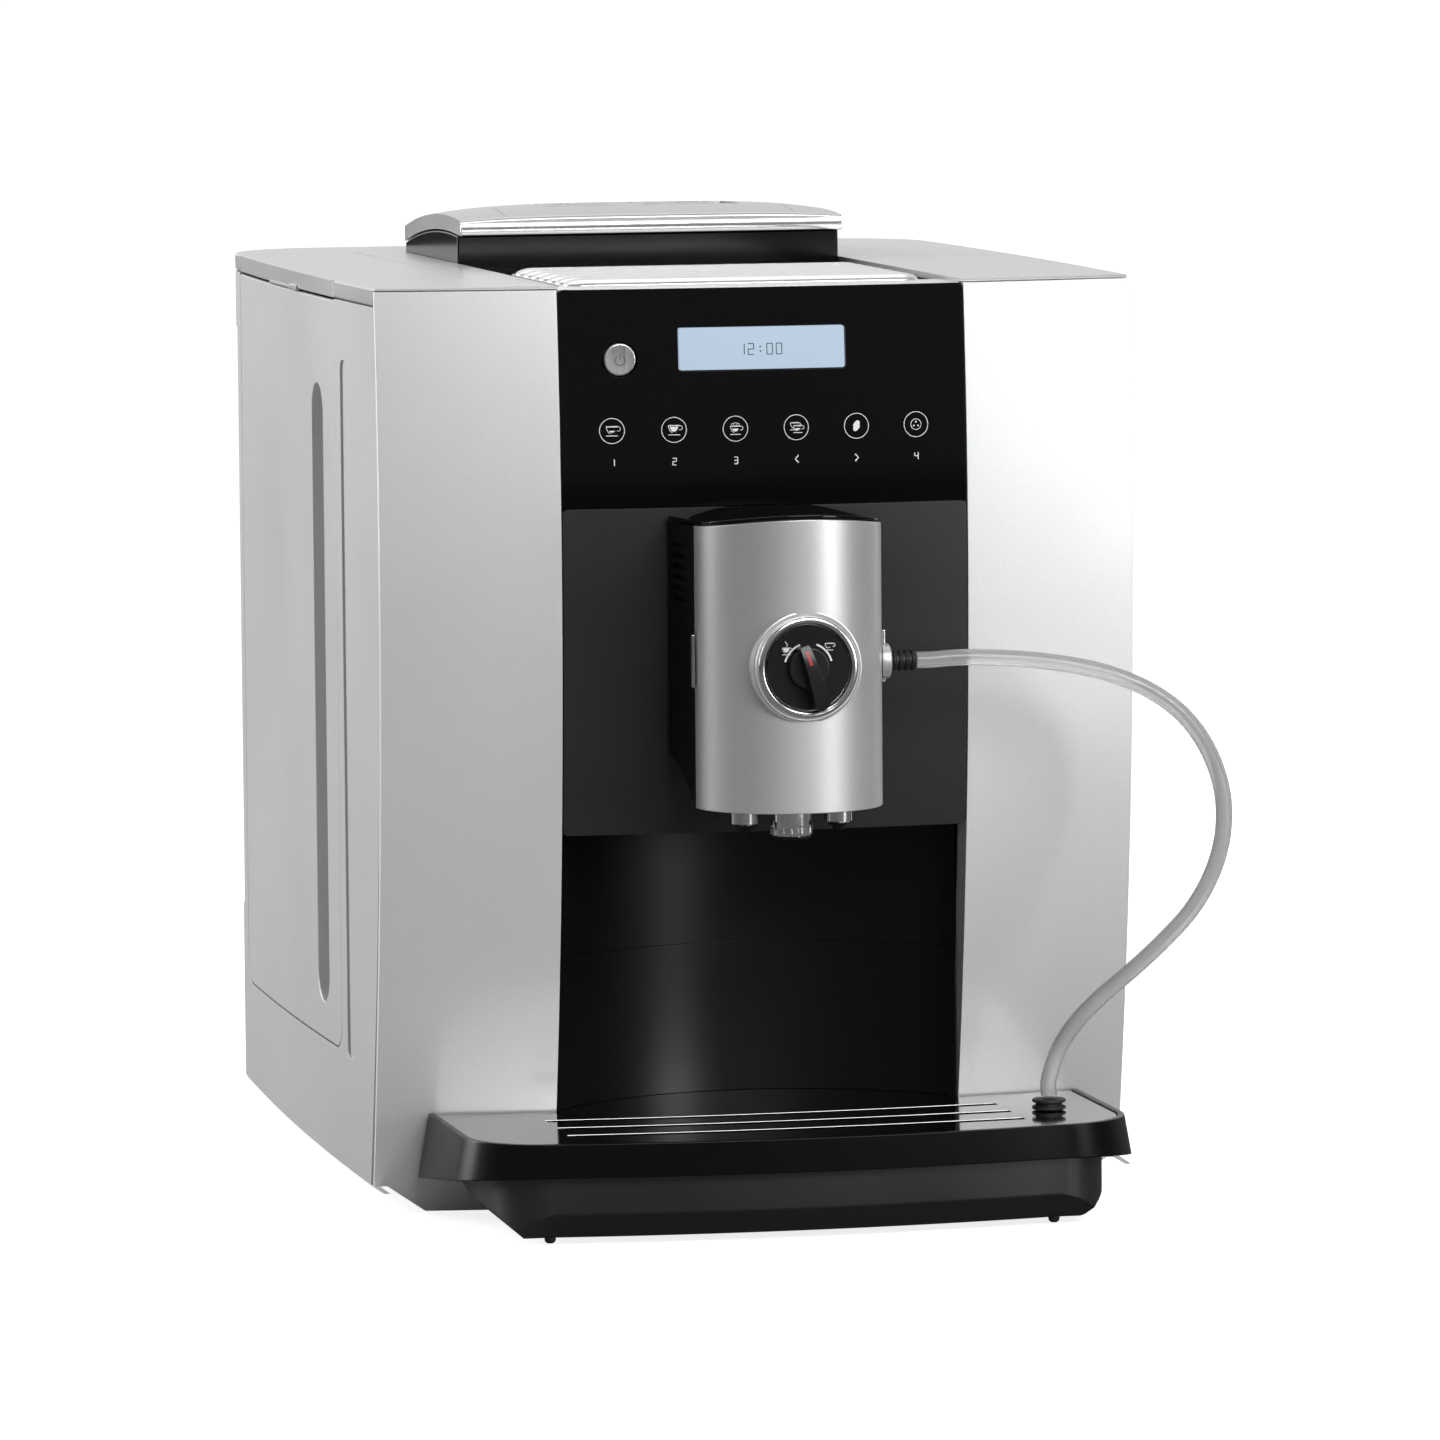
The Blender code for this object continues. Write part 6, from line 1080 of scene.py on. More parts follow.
DIAL_ARCS, ARC_RADIUS, ARC_WIDTH = ((15, 70), (110, 165)), 0.0094, 0.0007
shapes = [[stroke(arc(0, KNOB_Z, ARC_RADIUS, *turns, 30), ARC_WIDTH)] for turns in DIAL_ARCS]
shapes += cup(-0.0086, KNOB_Z + 0.0066, 0.0030, 0.9) + cup(0.0082, KNOB_Z + 0.0080, 0.0030, 0.3)
steam = [(-0.0086 + 0.0004 * math.sin(t), KNOB_Z + 0.0084 + 0.0004 * t) for t in steps(0, 5, 12)]
shapes.append([stroke(steam, 0.0002)])
dial_marks = print_of(shapes, lambda x, z: dial_front)
piece("dial_print", dial_marks, LOOK["white_print"], "spout")

hub_back, hub_height, hub_radius = dial_front - 0.0004, 0.0022, 0.0079
hub_face = hub_back - hub_height
profile = [(0, hub_face)] + rolled_edge(hub_radius, hub_face, 0.0007, 5)
shaft_end = dial_back + 0.0075
profile += [(hub_radius, hub_back), (0.0030, hub_back), (0.0030, shaft_end), (0, shaft_end)]
hub = spun(profile, knob_place, "Y", 80)
lean = math.radians(17.6)
BAR_UP, BAR_DOWN, BAR_HEIGHT, BAR_DROP = 0.0092, 0.0160, 0.0078, 0.0022


def leaning(across, up):
    """A place on the finger bar, across and along it, in (x, z)."""
    x = across * math.cos(lean) - up * math.sin(lean)
    return x, KNOB_Z + across * math.sin(lean) + up * math.cos(lean)


def along_bar(co):
    return -(co.x * math.sin(lean)) + (co.z - KNOB_Z) * math.cos(lean)


outline = [leaning(across, up) for across, up in (
    (-0.0022, BAR_UP), (-0.0025, BAR_UP - 0.0012), (-0.0038, -BAR_DOWN + 0.0014),
    (-0.0030, -BAR_DOWN), (0.0030, -BAR_DOWN), (0.0038, -BAR_DOWN + 0.0014),
    (0.0025, BAR_UP - 0.0012), (0.0022, BAR_UP),
)]
bar = prism([outline], hub_back - BAR_HEIGHT, hub_back - hub_height / 4, "Y")


def tapered(co):
    """The bar narrows towards its outer edge and slopes down to its ends."""
    share = min(max((hub_back - co.y) / BAR_HEIGHT, 0), 1)
    along = along_bar(co)
    across = co.x * math.cos(lean) + (co.z - KNOB_Z) * math.sin(lean)
    pull = -0.2 * share * across
    drop = BAR_DROP * share * max(along / BAR_UP, -along / BAR_DOWN, 0) ** 2
    return (pull * math.cos(lean), drop, pull * math.sin(lean))


bar = eased(bent(sliced(bar, "Z", steps(KNOB_Z - 0.016, KNOB_Z + 0.009, 8)), tapered), 0.0007, 4)
knob = plus(hub, bar)
dressed("selector_knob", knob, "knob_black", "knob")
tips = (BAR_UP - 0.0020, 0.0016)
pointer = [leaning(-0.0006, up) for up in tips] + [leaning(0.0006, up) for up in tips[::-1]]
inlay = prism([pointer], -0.0003, 0.0004, "Y")
sliced(inlay, "Z", steps(KNOB_Z + 0.001, KNOB_Z + 0.009, 6))


def on_bar(co):
    sag = BAR_DROP * (along_bar(co) / BAR_UP) ** 2
    return (0, hub_back - BAR_HEIGHT + sag + 0.00022, 0)


piece("knob_pointer", bent(inlay, on_bar), LOOK["red_inlay"], "knob")
print("knob with its ring, dial and pointer")

# %% [markdown]
# ## Nozzles and milk connector
#
# Turned metal. The coffee nozzles have a dark inner tube, the milk nozzle is fluted round its
# foot, and the connector is a cone that leaves the cover's side and takes a ribbed rubber
# sleeve.

# %% Nozzles, connector and sleeve
NOZZLE_Y, NOZZLE_X = -0.057, 0.0187
seat = SPOUT_LOW + 0.0007
for side, node in ((-1, "coffee_nozzle_left"), (1, "coffee_nozzle_right")):
    low, place = SPOUT_LOW - 0.0095, (side * NOZZLE_X, NOZZLE_Y, 0)
    profile = [
        (0, 0), (0.0018, 0), (0.0022, 0.0004), (0.0024, 0.0016), (0.0038, 0.0020),
        (0.0040, 0.0024), (0.0040, 0.0032), (0, 0.0032),
    ]
    tip = spun(lifted(profile, low), place, "Z", 48)
    piece(node + "_tip", tip, LOOK["black_plastic"], "spout")
    profile = lifted([(0, 0.0032), (0.0046, 0.0032), (0.0050, 0.0031), (0.0055, 0.0036)], low)
    profile += [(0.0055, seat - 0.0012), (0.0052, seat - 0.0010), (0.0052, seat), (0, seat)]
    dressed(node, spun(profile, place, "Z", 72), "chrome", "spout")
low, place = SPOUT_LOW - 0.0120, (0, NOZZLE_Y, 0)
profile = [
    (0, 0.0014), (0.0040, 0.0013), (0.0058, 0.0002), (0.0066, 0), (0.0074, 0), (0.0077, 0.0004),
    (0.0077, 0.0010), (0.0062, 0.0010), (0.0062, 0.0050), (0, 0.0050),
]
insert = spun(lifted(profile, low), place, "Z", 64)
piece("milk_nozzle_insert", insert, LOOK["black_plastic"], "spout")
profile = [(0, 0.006), (0.0062, 0.006), (0.0062, 0.0010), (0.0076, 0.0010), (0.0080, 0.0013)]
profile += [(0.0081, z) for z in steps(0.0016, 0.0048, 6)] + [(0.0082, 0.0056)]
nozzle = spun(lifted(profile, low) + [(0.0082, seat), (0, seat)], place, "Z", 144)


def fluted(co):
    x, y = co.x, co.y - NOZZLE_Y
    radius = math.hypot(x, y)
    if radius < 0.0077 or co.z > low + 0.0052:
        return (0, 0, 0)
    pull = -0.0005 * max(math.cos(18 * math.atan2(y, x)), 0) / radius
    return (pull * x, pull * y, 0)


dressed("milk_nozzle", bent(nozzle, fluted), "chrome", "spout")

CONNECTOR_PLACE = (0, -0.0535, 0.2197)
profile = [(0, 0.0255), (0.0030, 0.0255)]
profile += [
    (0.0030 + 0.0039 * share**1.4, 0.0255 + 0.0115 * share) for share in steps(0, 1, 10)[1:]
]
profile += [
    (0.0069, 0.0394), (0.0065, 0.0398), (0.0060, 0.0400), (0.0046, 0.0400), (0.0042, 0.0397),
    (0, 0.0397),
]
cone = spun(profile, CONNECTOR_PLACE, "X", 96)
room = block((0.0350, SPOUT_Y - 0.0036, 0.2111), (0.0388, SPOUT_Y + 0.01, 0.2324))
cone = minus(cone, spout_envelope(0.0004, 0.20, 0.24), room)
dressed("milk_connector", cone, "spout_silver", "spout")
SLEEVE_START, SLEEVE_LENGTH, SLEEVE_RADIUS = 0.0404, 0.0100, 0.0033
RIB_STEP, RIB_PROUD = 0.0025, 0.0007
profile = [(0, 0), (SLEEVE_RADIUS, 0)]
for rib in range(4):
    base = rib * RIB_STEP
    profile += [(SLEEVE_RADIUS, base + 0.0005)]
    profile += [
        (SLEEVE_RADIUS + RIB_PROUD * math.sin(t), base + 0.0013 - RIB_PROUD * math.cos(t))
        for t in steps(0.2, math.pi - 0.2, 6)
    ]
    profile += [(SLEEVE_RADIUS, base + 0.0021)]
profile += [(SLEEVE_RADIUS, SLEEVE_LENGTH), (0, SLEEVE_LENGTH)]
sleeve = spun(lifted(profile, SLEEVE_START), CONNECTOR_PLACE, "X", 48)
dressed("hose_sleeve", sleeve, "rubber", "spout")
print("nozzles, connector, sleeve")

# %% [markdown]
# ## Drip tray
#
# A black frame flares downwards round a mirror plate; under it the tub shows a satin band over
# a slanted foot. The plate is pressed steel: its slots follow the tray's bowed front, their front
# edges are bent down, which gives the bright lines across it, and small blocks close their ends.

# %% Tray frame
TRAY_HALF, TRAY_DRAFT, TRAY_FRONT, TRAY_BOW, TRAY_CORNER = 0.1313, 0.0024, -0.090, 0.009, 0.032
TRAY_TOP, TRAY_RIM, LOW_FRONT, LOW_REAR, TUB_BOTTOM = 0.0411, 0.0026, 0.0279, 0.0158, 0.0028
TUB_HALF, TUB_STEP, TUB_CORNER = 0.1210, 0.0045, 0.022


def bowed_front(half, front, radius):
    """The front of a tray piece in plan, from right to left."""
    bow_half = half - radius
    right = arc(bow_half, front + radius, radius, 0, -90, 14)
    middle = steps(bow_half, -bow_half, 26)[1:-1]
    bow = [(x, front - TRAY_BOW * (1 - (x / bow_half) ** 2)) for x in middle]
    return right + bow + arc(-bow_half, front + radius, radius, -90, -180, 14)


def tray_rear(x):
    return front_y(x, TRAY_TOP) - 0.0015


rear_y = tray_rear(TRAY_HALF)
back = [(x, tray_rear(x)) for x in steps(-TRAY_HALF, TRAY_HALF, 24)]
mesh = prism([bowed_front(TRAY_HALF, TRAY_FRONT, TRAY_CORNER) + back], TUB_BOTTOM, TRAY_TOP)


def flare(co):
    return ((TRAY_TOP - co.z) / (TRAY_TOP - LOW_FRONT) * TRAY_DRAFT * co.x / TRAY_HALF, 0, 0)


ahead_y, behind_y = TRAY_FRONT - TRAY_BOW - 0.01, rear_y + 0.01
wedge = [(ahead_y, LOW_FRONT), (TRAY_FRONT, LOW_FRONT), (rear_y, LOW_REAR), (behind_y, LOW_REAR)]
wedge += [(behind_y, -0.01), (ahead_y, -0.01)]
inner = TRAY_HALF - TRAY_RIM
plate_hole = bowed_front(inner, TRAY_FRONT + TRAY_RIM, TRAY_CORNER - TRAY_RIM)
plate_hole = [(inner, behind_y)] + plate_hole + [(-inner, behind_y)]
ledge = PLATE_TOP - PLATE_THICKNESS - SEAM
tub_hole = bowed_front(TUB_HALF + SEAM, TRAY_FRONT + TUB_STEP - SEAM, TUB_CORNER + SEAM)
tub_hole = [(TUB_HALF + SEAM, behind_y)] + tub_hole + [(-TUB_HALF - SEAM, behind_y)]
tray_frame = minus(
    bent(mesh, flare), prism([wedge], -0.2, 0.2, "X"), prism([plate_hole], ledge, TRAY_TOP + 0.01),
    prism([tub_hole], -0.01, TRAY_TOP + 0.01),
)
dressed("tray_frame", eased(tray_frame, 0.0007, 3, 35), "tray_black", "drip_tray")

# %% Tub
BAND_LOW, CHAMFER, REAR_BOTTOM, TUB_WALL = 0.0127, 0.0105, 0.0165, 0.0022
front = TRAY_FRONT + TUB_STEP
bottom_front, bow_half = front + CHAMFER, TUB_HALF - TUB_CORNER
inner_half = CENTRE_HALF_WIDTH - 2 * RUNNING_GAP
tub_rear = recess_y(0) + 0.135 + TUB_WALL + RUNNING_GAP
slope_end, neck = tray_rear(0), tray_rear(CENTRE_HALF_WIDTH)


def tub_bow(co):
    share = min(max((slope_end - co.y) / (slope_end - front), 0), 1)
    return (0, -share * TRAY_BOW * max(1 - (co.x / bow_half) ** 2, 0), 0)


profile = [(front, ledge), (front, BAND_LOW + 0.0012), (front + 0.0006, BAND_LOW - 0.0004)]
profile += [(bottom_front - 0.0012, TUB_BOTTOM + 0.0009), (bottom_front + 0.0012, TUB_BOTTOM)]
profile += [(slope_end, REAR_BOTTOM), (tub_rear, REAR_BOTTOM), (tub_rear, ledge)]
across = steps(-bow_half, bow_half, 30)
mesh = bent(sliced(prism([profile], -TUB_HALF, TUB_HALF, "X"), "X", across), tub_bow)
wing_rear = tray_rear(TUB_HALF)
plan = bowed_front(TUB_HALF, front, TUB_CORNER)
plan = [(x, y - 0.005 if abs(x) < bow_half - 0.0005 else y) for x, y in plan]
plan += [(-TUB_HALF, wing_rear), (-inner_half, neck), (-inner_half, tub_rear + 0.01)]
plan += [(inner_half, tub_rear + 0.01), (inner_half, neck), (TUB_HALF, wing_rear)]
keep = prism([plan], -0.01, TRAY_TOP + 0.01)
lean_by = (BAND_LOW - TUB_BOTTOM) / CHAMFER
WING = 0.005
wings = [
    prism([[
        (side * (TUB_HALF + WING), BAND_LOW + WING * lean_by),
        (side * (TUB_HALF - CHAMFER - WING), TUB_BOTTOM - WING * lean_by),
        (side * (TUB_HALF + WING), TUB_BOTTOM - WING),
    ]], front - 0.02, tub_rear, "Y")
    for side in (-1, 1)
]
tub = minus(common(mesh, keep), *wings)
wall = TUB_WALL
inside = [
    (front + wall, ledge + 0.01), (front + wall, BAND_LOW + wall / 2),
    (bottom_front + wall / 2, TUB_BOTTOM + wall), (slope_end, REAR_BOTTOM + wall),
    (tub_rear - wall, REAR_BOTTOM + wall), (tub_rear - wall, ledge + 0.01),
]
pocket = bent(sliced(prism([inside], -TUB_HALF, TUB_HALF, "X"), "X", across), tub_bow)
wide = TUB_HALF - CHAMFER - 3 * wall
pocket_plan = bowed_front(wide, front + wall - TRAY_BOW, TUB_CORNER / 2)
narrow, waist = inner_half - wall, neck - 2 * wall
pocket_plan += [(-wide, waist), (-narrow, waist), (-narrow, tub_rear)]
pocket_plan += [(narrow, tub_rear), (narrow, waist), (wide, waist)]
pocket = common(pocket, prism([pocket_plan], -0.01, ledge + 0.02))
tub = eased(minus(tub, pocket), 0.0010, 3, 32)
profile = [
    (0, 0.0005), (0.0012, 0.0006), (0.0019, 0.0011), (0.0022, 0.0019), (0.0022, 0.0040),
    (0, 0.0040),
]
nub_x, nub_y = TUB_HALF - 0.021, bottom_front + 0.0024
nubs = [spun(profile, (x, nub_y, 0), "Z", 40) for x in (-nub_x, nub_x)]
dressed("drip_tub", joined([tub] + nubs), "tub_black", "drip_tray")

# %% Mirror plate
rim = TRAY_RIM + SEAM
half, edge = TRAY_HALF - rim, PANEL_HALF_WIDTH - RUNNING_GAP
outline = bowed_front(half, TRAY_FRONT + rim, TRAY_CORNER - rim)[::-1]
outline += [(x, tray_rear(x)) for x in steps(half, CENTRE_HALF_WIDTH, 8)]
outline += [(x, recess_y(x) - SEAM) for x in steps(edge, -edge, 44)]
outline += [(x, tray_rear(x)) for x in steps(-CENTRE_HALF_WIDTH, -half, 8)]
SLOT_HALF, SLOT_WIDTH, SLOT_STEP, SLOT_FIRST, SLOT_BOW = 0.0905, 0.0062, 0.0215, -0.0662, 0.0045


def slot_line(y, offset, count=36):
    places = steps(-SLOT_HALF, SLOT_HALF, count)
    return [(x, y + offset - SLOT_BOW * (1 - (x / SLOT_HALF) ** 2)) for x in places]


slots, lips, ends = [], [], []
END_BLOCK, LIP_LOW = 0.0035, PLATE_TOP - 0.0026
for row in range(3):
    y = SLOT_FIRST + row * SLOT_STEP + SLOT_BOW / 2
    near, far = slot_line(y, -SLOT_WIDTH / 2), slot_line(y, SLOT_WIDTH / 2)
    slots.append(near + far[::-1])
    lip = slot_line(y, -SLOT_WIDTH / 2 - 0.0001) + slot_line(y, -SLOT_WIDTH / 2 + 0.0009)[::-1]
    lips.append(prism([lip], LIP_LOW, PLATE_TOP - 0.0002))
    for side in (-1, 1):
        low_x, high_x = sorted((side * (SLOT_HALF - END_BLOCK), side * SLOT_HALF))
        near_y, far_y = y - SLOT_WIDTH / 2 + 0.0011, y + SLOT_WIDTH / 2 - 0.0011
        end_block = block((low_x, near_y, LIP_LOW), (high_x, far_y, PLATE_TOP - 0.0008))
        ends.append(eased(end_block, 0.0003))
piece("slot_ends", joined(ends), LOOK["black_plastic"], "drip_tray")
plate = eased(prism([outline] + slots, PLATE_TOP - PLATE_THICKNESS, PLATE_TOP), 0.0003, 3, 40)
lips = [eased(lip, 0.0003, 3) for lip in lips]
dressed("drip_plate", joined([plate] + lips), "mirror_steel", "drip_tray")
print("tray frame, tub, plate with", len(slots), "slots")

# %% [markdown]
# ## Side covers, tank panel and door
#
# Satin lacquered mouldings, flat in section but gently bowed from front to rear. The left one
# is a U round the tank's panel, whose finger groove is a deep pill; both carry one shallow
# upright channel near the front.

# %% Side covers
REAR_RADIUS, TANK_FRONT, TANK_REAR = REAR_CORNER_RADIUS, 0.0765, BODY_DEPTH - 0.052
SKIRT_LOW = BODY_TOP - 0.0072
COVER_TOP = SKIRT_LOW - SEAM
REAR_LIFT = 0.0055
end = BODY_DEPTH - REAR_RADIUS


def under_z(y):
    return SIDE_BOTTOM + REAR_LIFT * max(y, 0) / BODY_DEPTH


def side_front(z):
    return -front_rise(z) + FRONT_THICKNESS + SEAM


front_edge = [(side_front(z), z) for z in steps(SIDE_BOTTOM, COVER_TOP, 40)]
channel = prism([rounded(0.052, 0.057, 0.066, BODY_TOP - 0.031, 0.0045, 8)], -0.01, 0.0010, "X")
PANEL_LOW, CORNER = 0.058, 0.012
opening = [(TANK_FRONT, COVER_TOP)]
opening += arc(TANK_FRONT + CORNER, PANEL_LOW + CORNER, CORNER, 180, 270, 12)
opening += arc(TANK_REAR - CORNER, PANEL_LOW + CORNER, CORNER, -90, 0, 12)
opening += [(TANK_REAR, COVER_TOP)]
outline = front_edge + opening + [(end, COVER_TOP), (end, under_z(end)), (0, SIDE_BOTTOM)]
cover = side_slab(-1, [outline], SHELL, [channel])
dressed("left_side_cover", cover, "grey_cover", "housing")

DOOR_LOW, DOOR_HIGH, DOOR_CORNER = 0.045, BODY_TOP - 0.019, 0.010
door_hole = rounded(TANK_FRONT, DOOR_LOW, TANK_REAR, DOOR_HIGH, DOOR_CORNER, 10)
outline = front_edge + [(end, COVER_TOP), (end, under_z(end)), (0, SIDE_BOTTOM)]
cover = side_slab(1, [outline, door_hole], SHELL, [channel])
dressed("right_side_cover", cover, "grey_cover", "housing")
gap = RUNNING_GAP
start, stop = TANK_FRONT + gap, TANK_REAR - gap
door = rounded(start, DOOR_LOW + gap, stop, DOOR_HIGH - gap, DOOR_CORNER - gap, 10)
dressed("service_door", side_slab(1, [door], SHELL), "grey_cover", "door")

GRIP_Y, GRIP_HALF, GRIP_LOW, GRIP_HIGH = TANK_FRONT + 0.038, 0.0119, 0.0735, BODY_TOP - 0.043
GRIP_DEPTH, GRIP_WALL = 0.010, 0.002


def pill(grow):
    wide = GRIP_HALF + grow
    return rounded(GRIP_Y - wide, GRIP_LOW - grow, GRIP_Y + wide, GRIP_HIGH + grow, wide, 14)


round_corners = (True, True, False, False)
outline = rounded(start, PANEL_LOW + gap, stop, SKIRT_LOW - 0.0010, CORNER - gap, 12, round_corners)
hollow_box = prism([pill(GRIP_WALL)], SHELL / 2, GRIP_DEPTH + GRIP_WALL, "X")
grip = prism([pill(0)], -0.01, GRIP_DEPTH, "X")
panel = side_slab(-1, [outline], SHELL, [grip], [hollow_box], 0.0007)
dressed("tank_side_panel", panel, "grey_cover", "tank")
print("side covers, tank panel, door")

# %% [markdown]
# ## Rear cover
#
# One moulding wraps both rear corners. It carries two columns of vents and the hole for the
# power inlet, and a long shallow band on each corner to hold the machine by.

# %% Rear cover
INLET_X, INLET_Z, INLET_HALF_WIDTH, INLET_HALF_HEIGHT = 0.060, 0.052, 0.0141, 0.0101
HOLD_LOW, HOLD_HIGH, HOLD_TURN = 0.090, 0.334, (0.036, 0.637)


def rear_corner(inset, count=18, turn=(0.0, math.pi / 2)):
    """A rear corner in plan, at a depth under its surface."""
    centre_x, radius = side_x(end) - REAR_RADIUS, REAR_RADIUS - inset
    turns = steps(*turn, count)
    return [(centre_x + radius * math.cos(t), end + radius * math.sin(t)) for t in turns]


outer, inner = rear_corner(0), rear_corner(SHELL)
outer[0], inner[0] = (outer[0][0], end + SEAM), (inner[0][0], end + SEAM)
outline = outer + [(-x, y) for x, y in outer[::-1]] + [(-x, y) for x, y in inner] + inner[::-1]
mesh = prism([outline], SIDE_BOTTOM, COVER_TOP)
VENT_COUNT, VENT_STEP, VENT_X, VENT_LOW = 7, 0.011, 0.034, 0.255
vent = [rounded(-0.025, 0, 0.025, 0.004, 0.0012, 4)]
vent = prism(vent, BODY_DEPTH - 0.01, BODY_DEPTH + 0.01, "Y")
cutters = []
for side in (-1, 1):
    vents = row_of(vent.copy(), VENT_COUNT, (0, 0, VENT_STEP), LOOK["grey_cover"])
    vents.transform(Matrix.Translation((side * VENT_X, 0, VENT_LOW)))
    cutters.append(vents)
    hold = rear_corner(-0.005, 10, HOLD_TURN) + rear_corner(0.001, 10, HOLD_TURN)[::-1]
    cutters.append(prism([[(side * x, y) for x, y in hold]], HOLD_LOW, HOLD_HIGH))
cutters.append(block(
    (INLET_X - INLET_HALF_WIDTH, BODY_DEPTH - 0.01, INLET_Z - INLET_HALF_HEIGHT),
    (INLET_X + INLET_HALF_WIDTH, BODY_DEPTH + 0.01, INLET_Z + INLET_HALF_HEIGHT),
))
low = SIDE_BOTTOM - 0.02
under = [(0.2, low), (0.5, low), (0.5, under_z(0.5)), (0.2, under_z(0.2))]
cutters.append(prism([under], -0.2, 0.2, "X"))
rear_cover = eased(minus(mesh, *cutters), 0.0004, 2, 32)
dressed("rear_cover", rear_cover, "grey_cover", "housing")
print("rear cover with", 2 * VENT_COUNT, "vents")

# %% [markdown]
# ## Top cover, tank lid and deck
#
# The top is a shallow cap with a rolled edge and a skirt. The tank's lid is cut from the same
# surface, so only a hair of a seam shows, and a small tab under its skirt lifts it.

# %% Top
TANK_INNER, TOP_EDGE = 0.1003, 0.0012
HOPPER_HALF, HOPPER_REAR = 0.080, BODY_DEPTH - 0.055
HOPPER_FRONT = HOPPER_REAR - 0.113


def body_plan(inset):
    side = [(side_x(y) - inset, y) for y in steps(inset, end, 24)[:-1]]
    right = side + rear_corner(inset)
    wide = side_x(inset) - inset
    bow = [(x, inset - front_plan(x)) for x in steps(-wide, wide, 40)[1:-1]]
    return right + [(-x, y) for x, y in right[::-1]] + bow


top = eased(prism([body_plan(0)], SKIRT_LOW, BODY_TOP), TOP_EDGE, 4, 60)
reach = BODY_HALF_WIDTH + 0.01
lip = [(x, -front_plan(x) + FRONT_THICKNESS + SEAM) for x in steps(-reach, reach, 40)]
lip += [(reach, -FRONT_BOW - 0.01), (-reach, -FRONT_BOW - 0.01)]
below, above, opening_half = SKIRT_LOW - 0.01, BODY_TOP + 0.01, HOPPER_HALF + SEAM
top = minus(
    top, prism([body_plan(SHELL)], below, BODY_TOP - SHELL), prism([lip], below, BODY_TOP - 0.0011),
    block((-0.2, TANK_FRONT, below), (-TANK_INNER, TANK_REAR, above)),
    block((-opening_half, -0.1, below), (opening_half, HOPPER_REAR + SEAM, above)),
)
dressed("top_cover", eased(top, 0.00025, 2, 32), "top_grey", "housing")

inset = TANK_INNER + SEAM
side = [(-side_x(y), y) for y in steps(start, stop, 24)]
lid = prism([side + [(-inset, stop), (-inset, start)]], SKIRT_LOW, BODY_TOP)
under_lid = [(-side_x(y) + SHELL, y) for y in steps(start + SHELL, stop - SHELL, 20)]
under_lid += [(-inset - SHELL, stop - SHELL), (-inset - SHELL, start + SHELL)]
lid = minus(eased(lid, 0.0005, 3, 60), prism([under_lid], below, BODY_TOP - SHELL))
tab_low, tab_start = SKIRT_LOW - 0.0005, TANK_FRONT + 0.0765
nub = side_strip(-1, tab_start, tab_start + 0.0160, 0.0012, 0.0020, 4)
nub = prism([nub], tab_low - 0.0002, tab_low + 0.0021)
tab = side_strip(-1, tab_start + 0.0120, tab_start + 0.0686, 0.0005, 0.0018, 10)
tab = prism([tab], tab_low, tab_low + 0.0012)
lid = joined([lid, eased(nub, 0.0005, 3), eased(tab, 0.0003, 2)])
dressed("tank_lid", lid, "top_grey", "tank_lid_body")

DECK_TOP = BODY_TOP - 0.0033
half = HOPPER_HALF
bow = [(x, -front_plan(x) + FRONT_THICKNESS + SEAM) for x in steps(-half, half, 24)]
deck_rear = HOPPER_FRONT - SEAM
deck = prism([bow + [(half, deck_rear), (-half, deck_rear)]], DECK_TOP - SHELL, DECK_TOP)
dressed("top_deck", eased(deck, 0.0004), "gloss_black", "housing")

# %% Cup rail plate
RAIL_FRONT, RAIL_REAR, RAIL_HALF, RIBS = 0.016, HOPPER_FRONT - 0.069, 0.0715, 7
rail_low = DECK_TOP + SEAM
rail_top = rail_low + 0.0014
pitch = (RAIL_REAR - RAIL_FRONT) / RIBS
notch_y = RAIL_FRONT + pitch / 4
base = bow + [(half, notch_y), (RAIL_HALF, notch_y), (RAIL_HALF, RAIL_REAR)]
base += [(-RAIL_HALF, RAIL_REAR), (-RAIL_HALF, notch_y), (-half, notch_y)]
base = eased(prism([base], rail_low, rail_top), 0.0004, 3)
work = bmesh.new()
rings = []
END_LENGTH, RIB_HEIGHT, RIB_SIDES = 0.0075, 0.0030, 16
places = [-RAIL_HALF + END_LENGTH * (1 - math.cos(t)) for t in steps(0.12, math.pi / 2, 10)]
places += [-x for x in places[::-1]]
for x in places:
    near = max(abs(x) - (RAIL_HALF - END_LENGTH), 0) / END_LENGTH
    size = math.sqrt(max(1 - near**2, 0.002))
    dip = 1 - 0.28 * math.exp(-((abs(x) - (RAIL_HALF - 1.35 * END_LENGTH)) / 0.0011) ** 2)
    wide, tall = pitch * 0.42 * size, RIB_HEIGHT * size * dip
    rings.append([
        work.verts.new((x, wide * math.cos(t), rail_top - 0.0003 + tall * math.sin(t)))
        for t in steps(0, math.pi, RIB_SIDES)
    ])
for a, b in zip(rings, rings[1:]):
    for i in range(RIB_SIDES):
        work.faces.new((a[i], a[i + 1], b[i + 1], b[i]))
    work.faces.new((a[-1], a[0], b[0], b[-1]))
work.faces.new(rings[0])
work.faces.new(rings[-1][::-1])
bmesh.ops.recalc_face_normals(work, faces=work.faces)
rib = mesh_from(work)
rib.transform(Matrix.Translation((0, RAIL_FRONT + pitch / 2, 0)))
ribs = row_of(rib, RIBS, (0, pitch, 0), LOOK["rail_silver"])
rail = joined([base, ribs])
piece("cup_rail_look", rail, LOOK["rail_silver"], "housing", ["cup_rail_plate"])
print("top cover, tank lid, deck and", RIBS, "ribs")

# %% [markdown]
# ## Bean hopper and its lid
#
# The hopper is a glossy black collar with an arched upper edge, and a funnel below. The lid is
# crowned both ways, with a sunk panel of louvres, and wears a chrome band along its front.

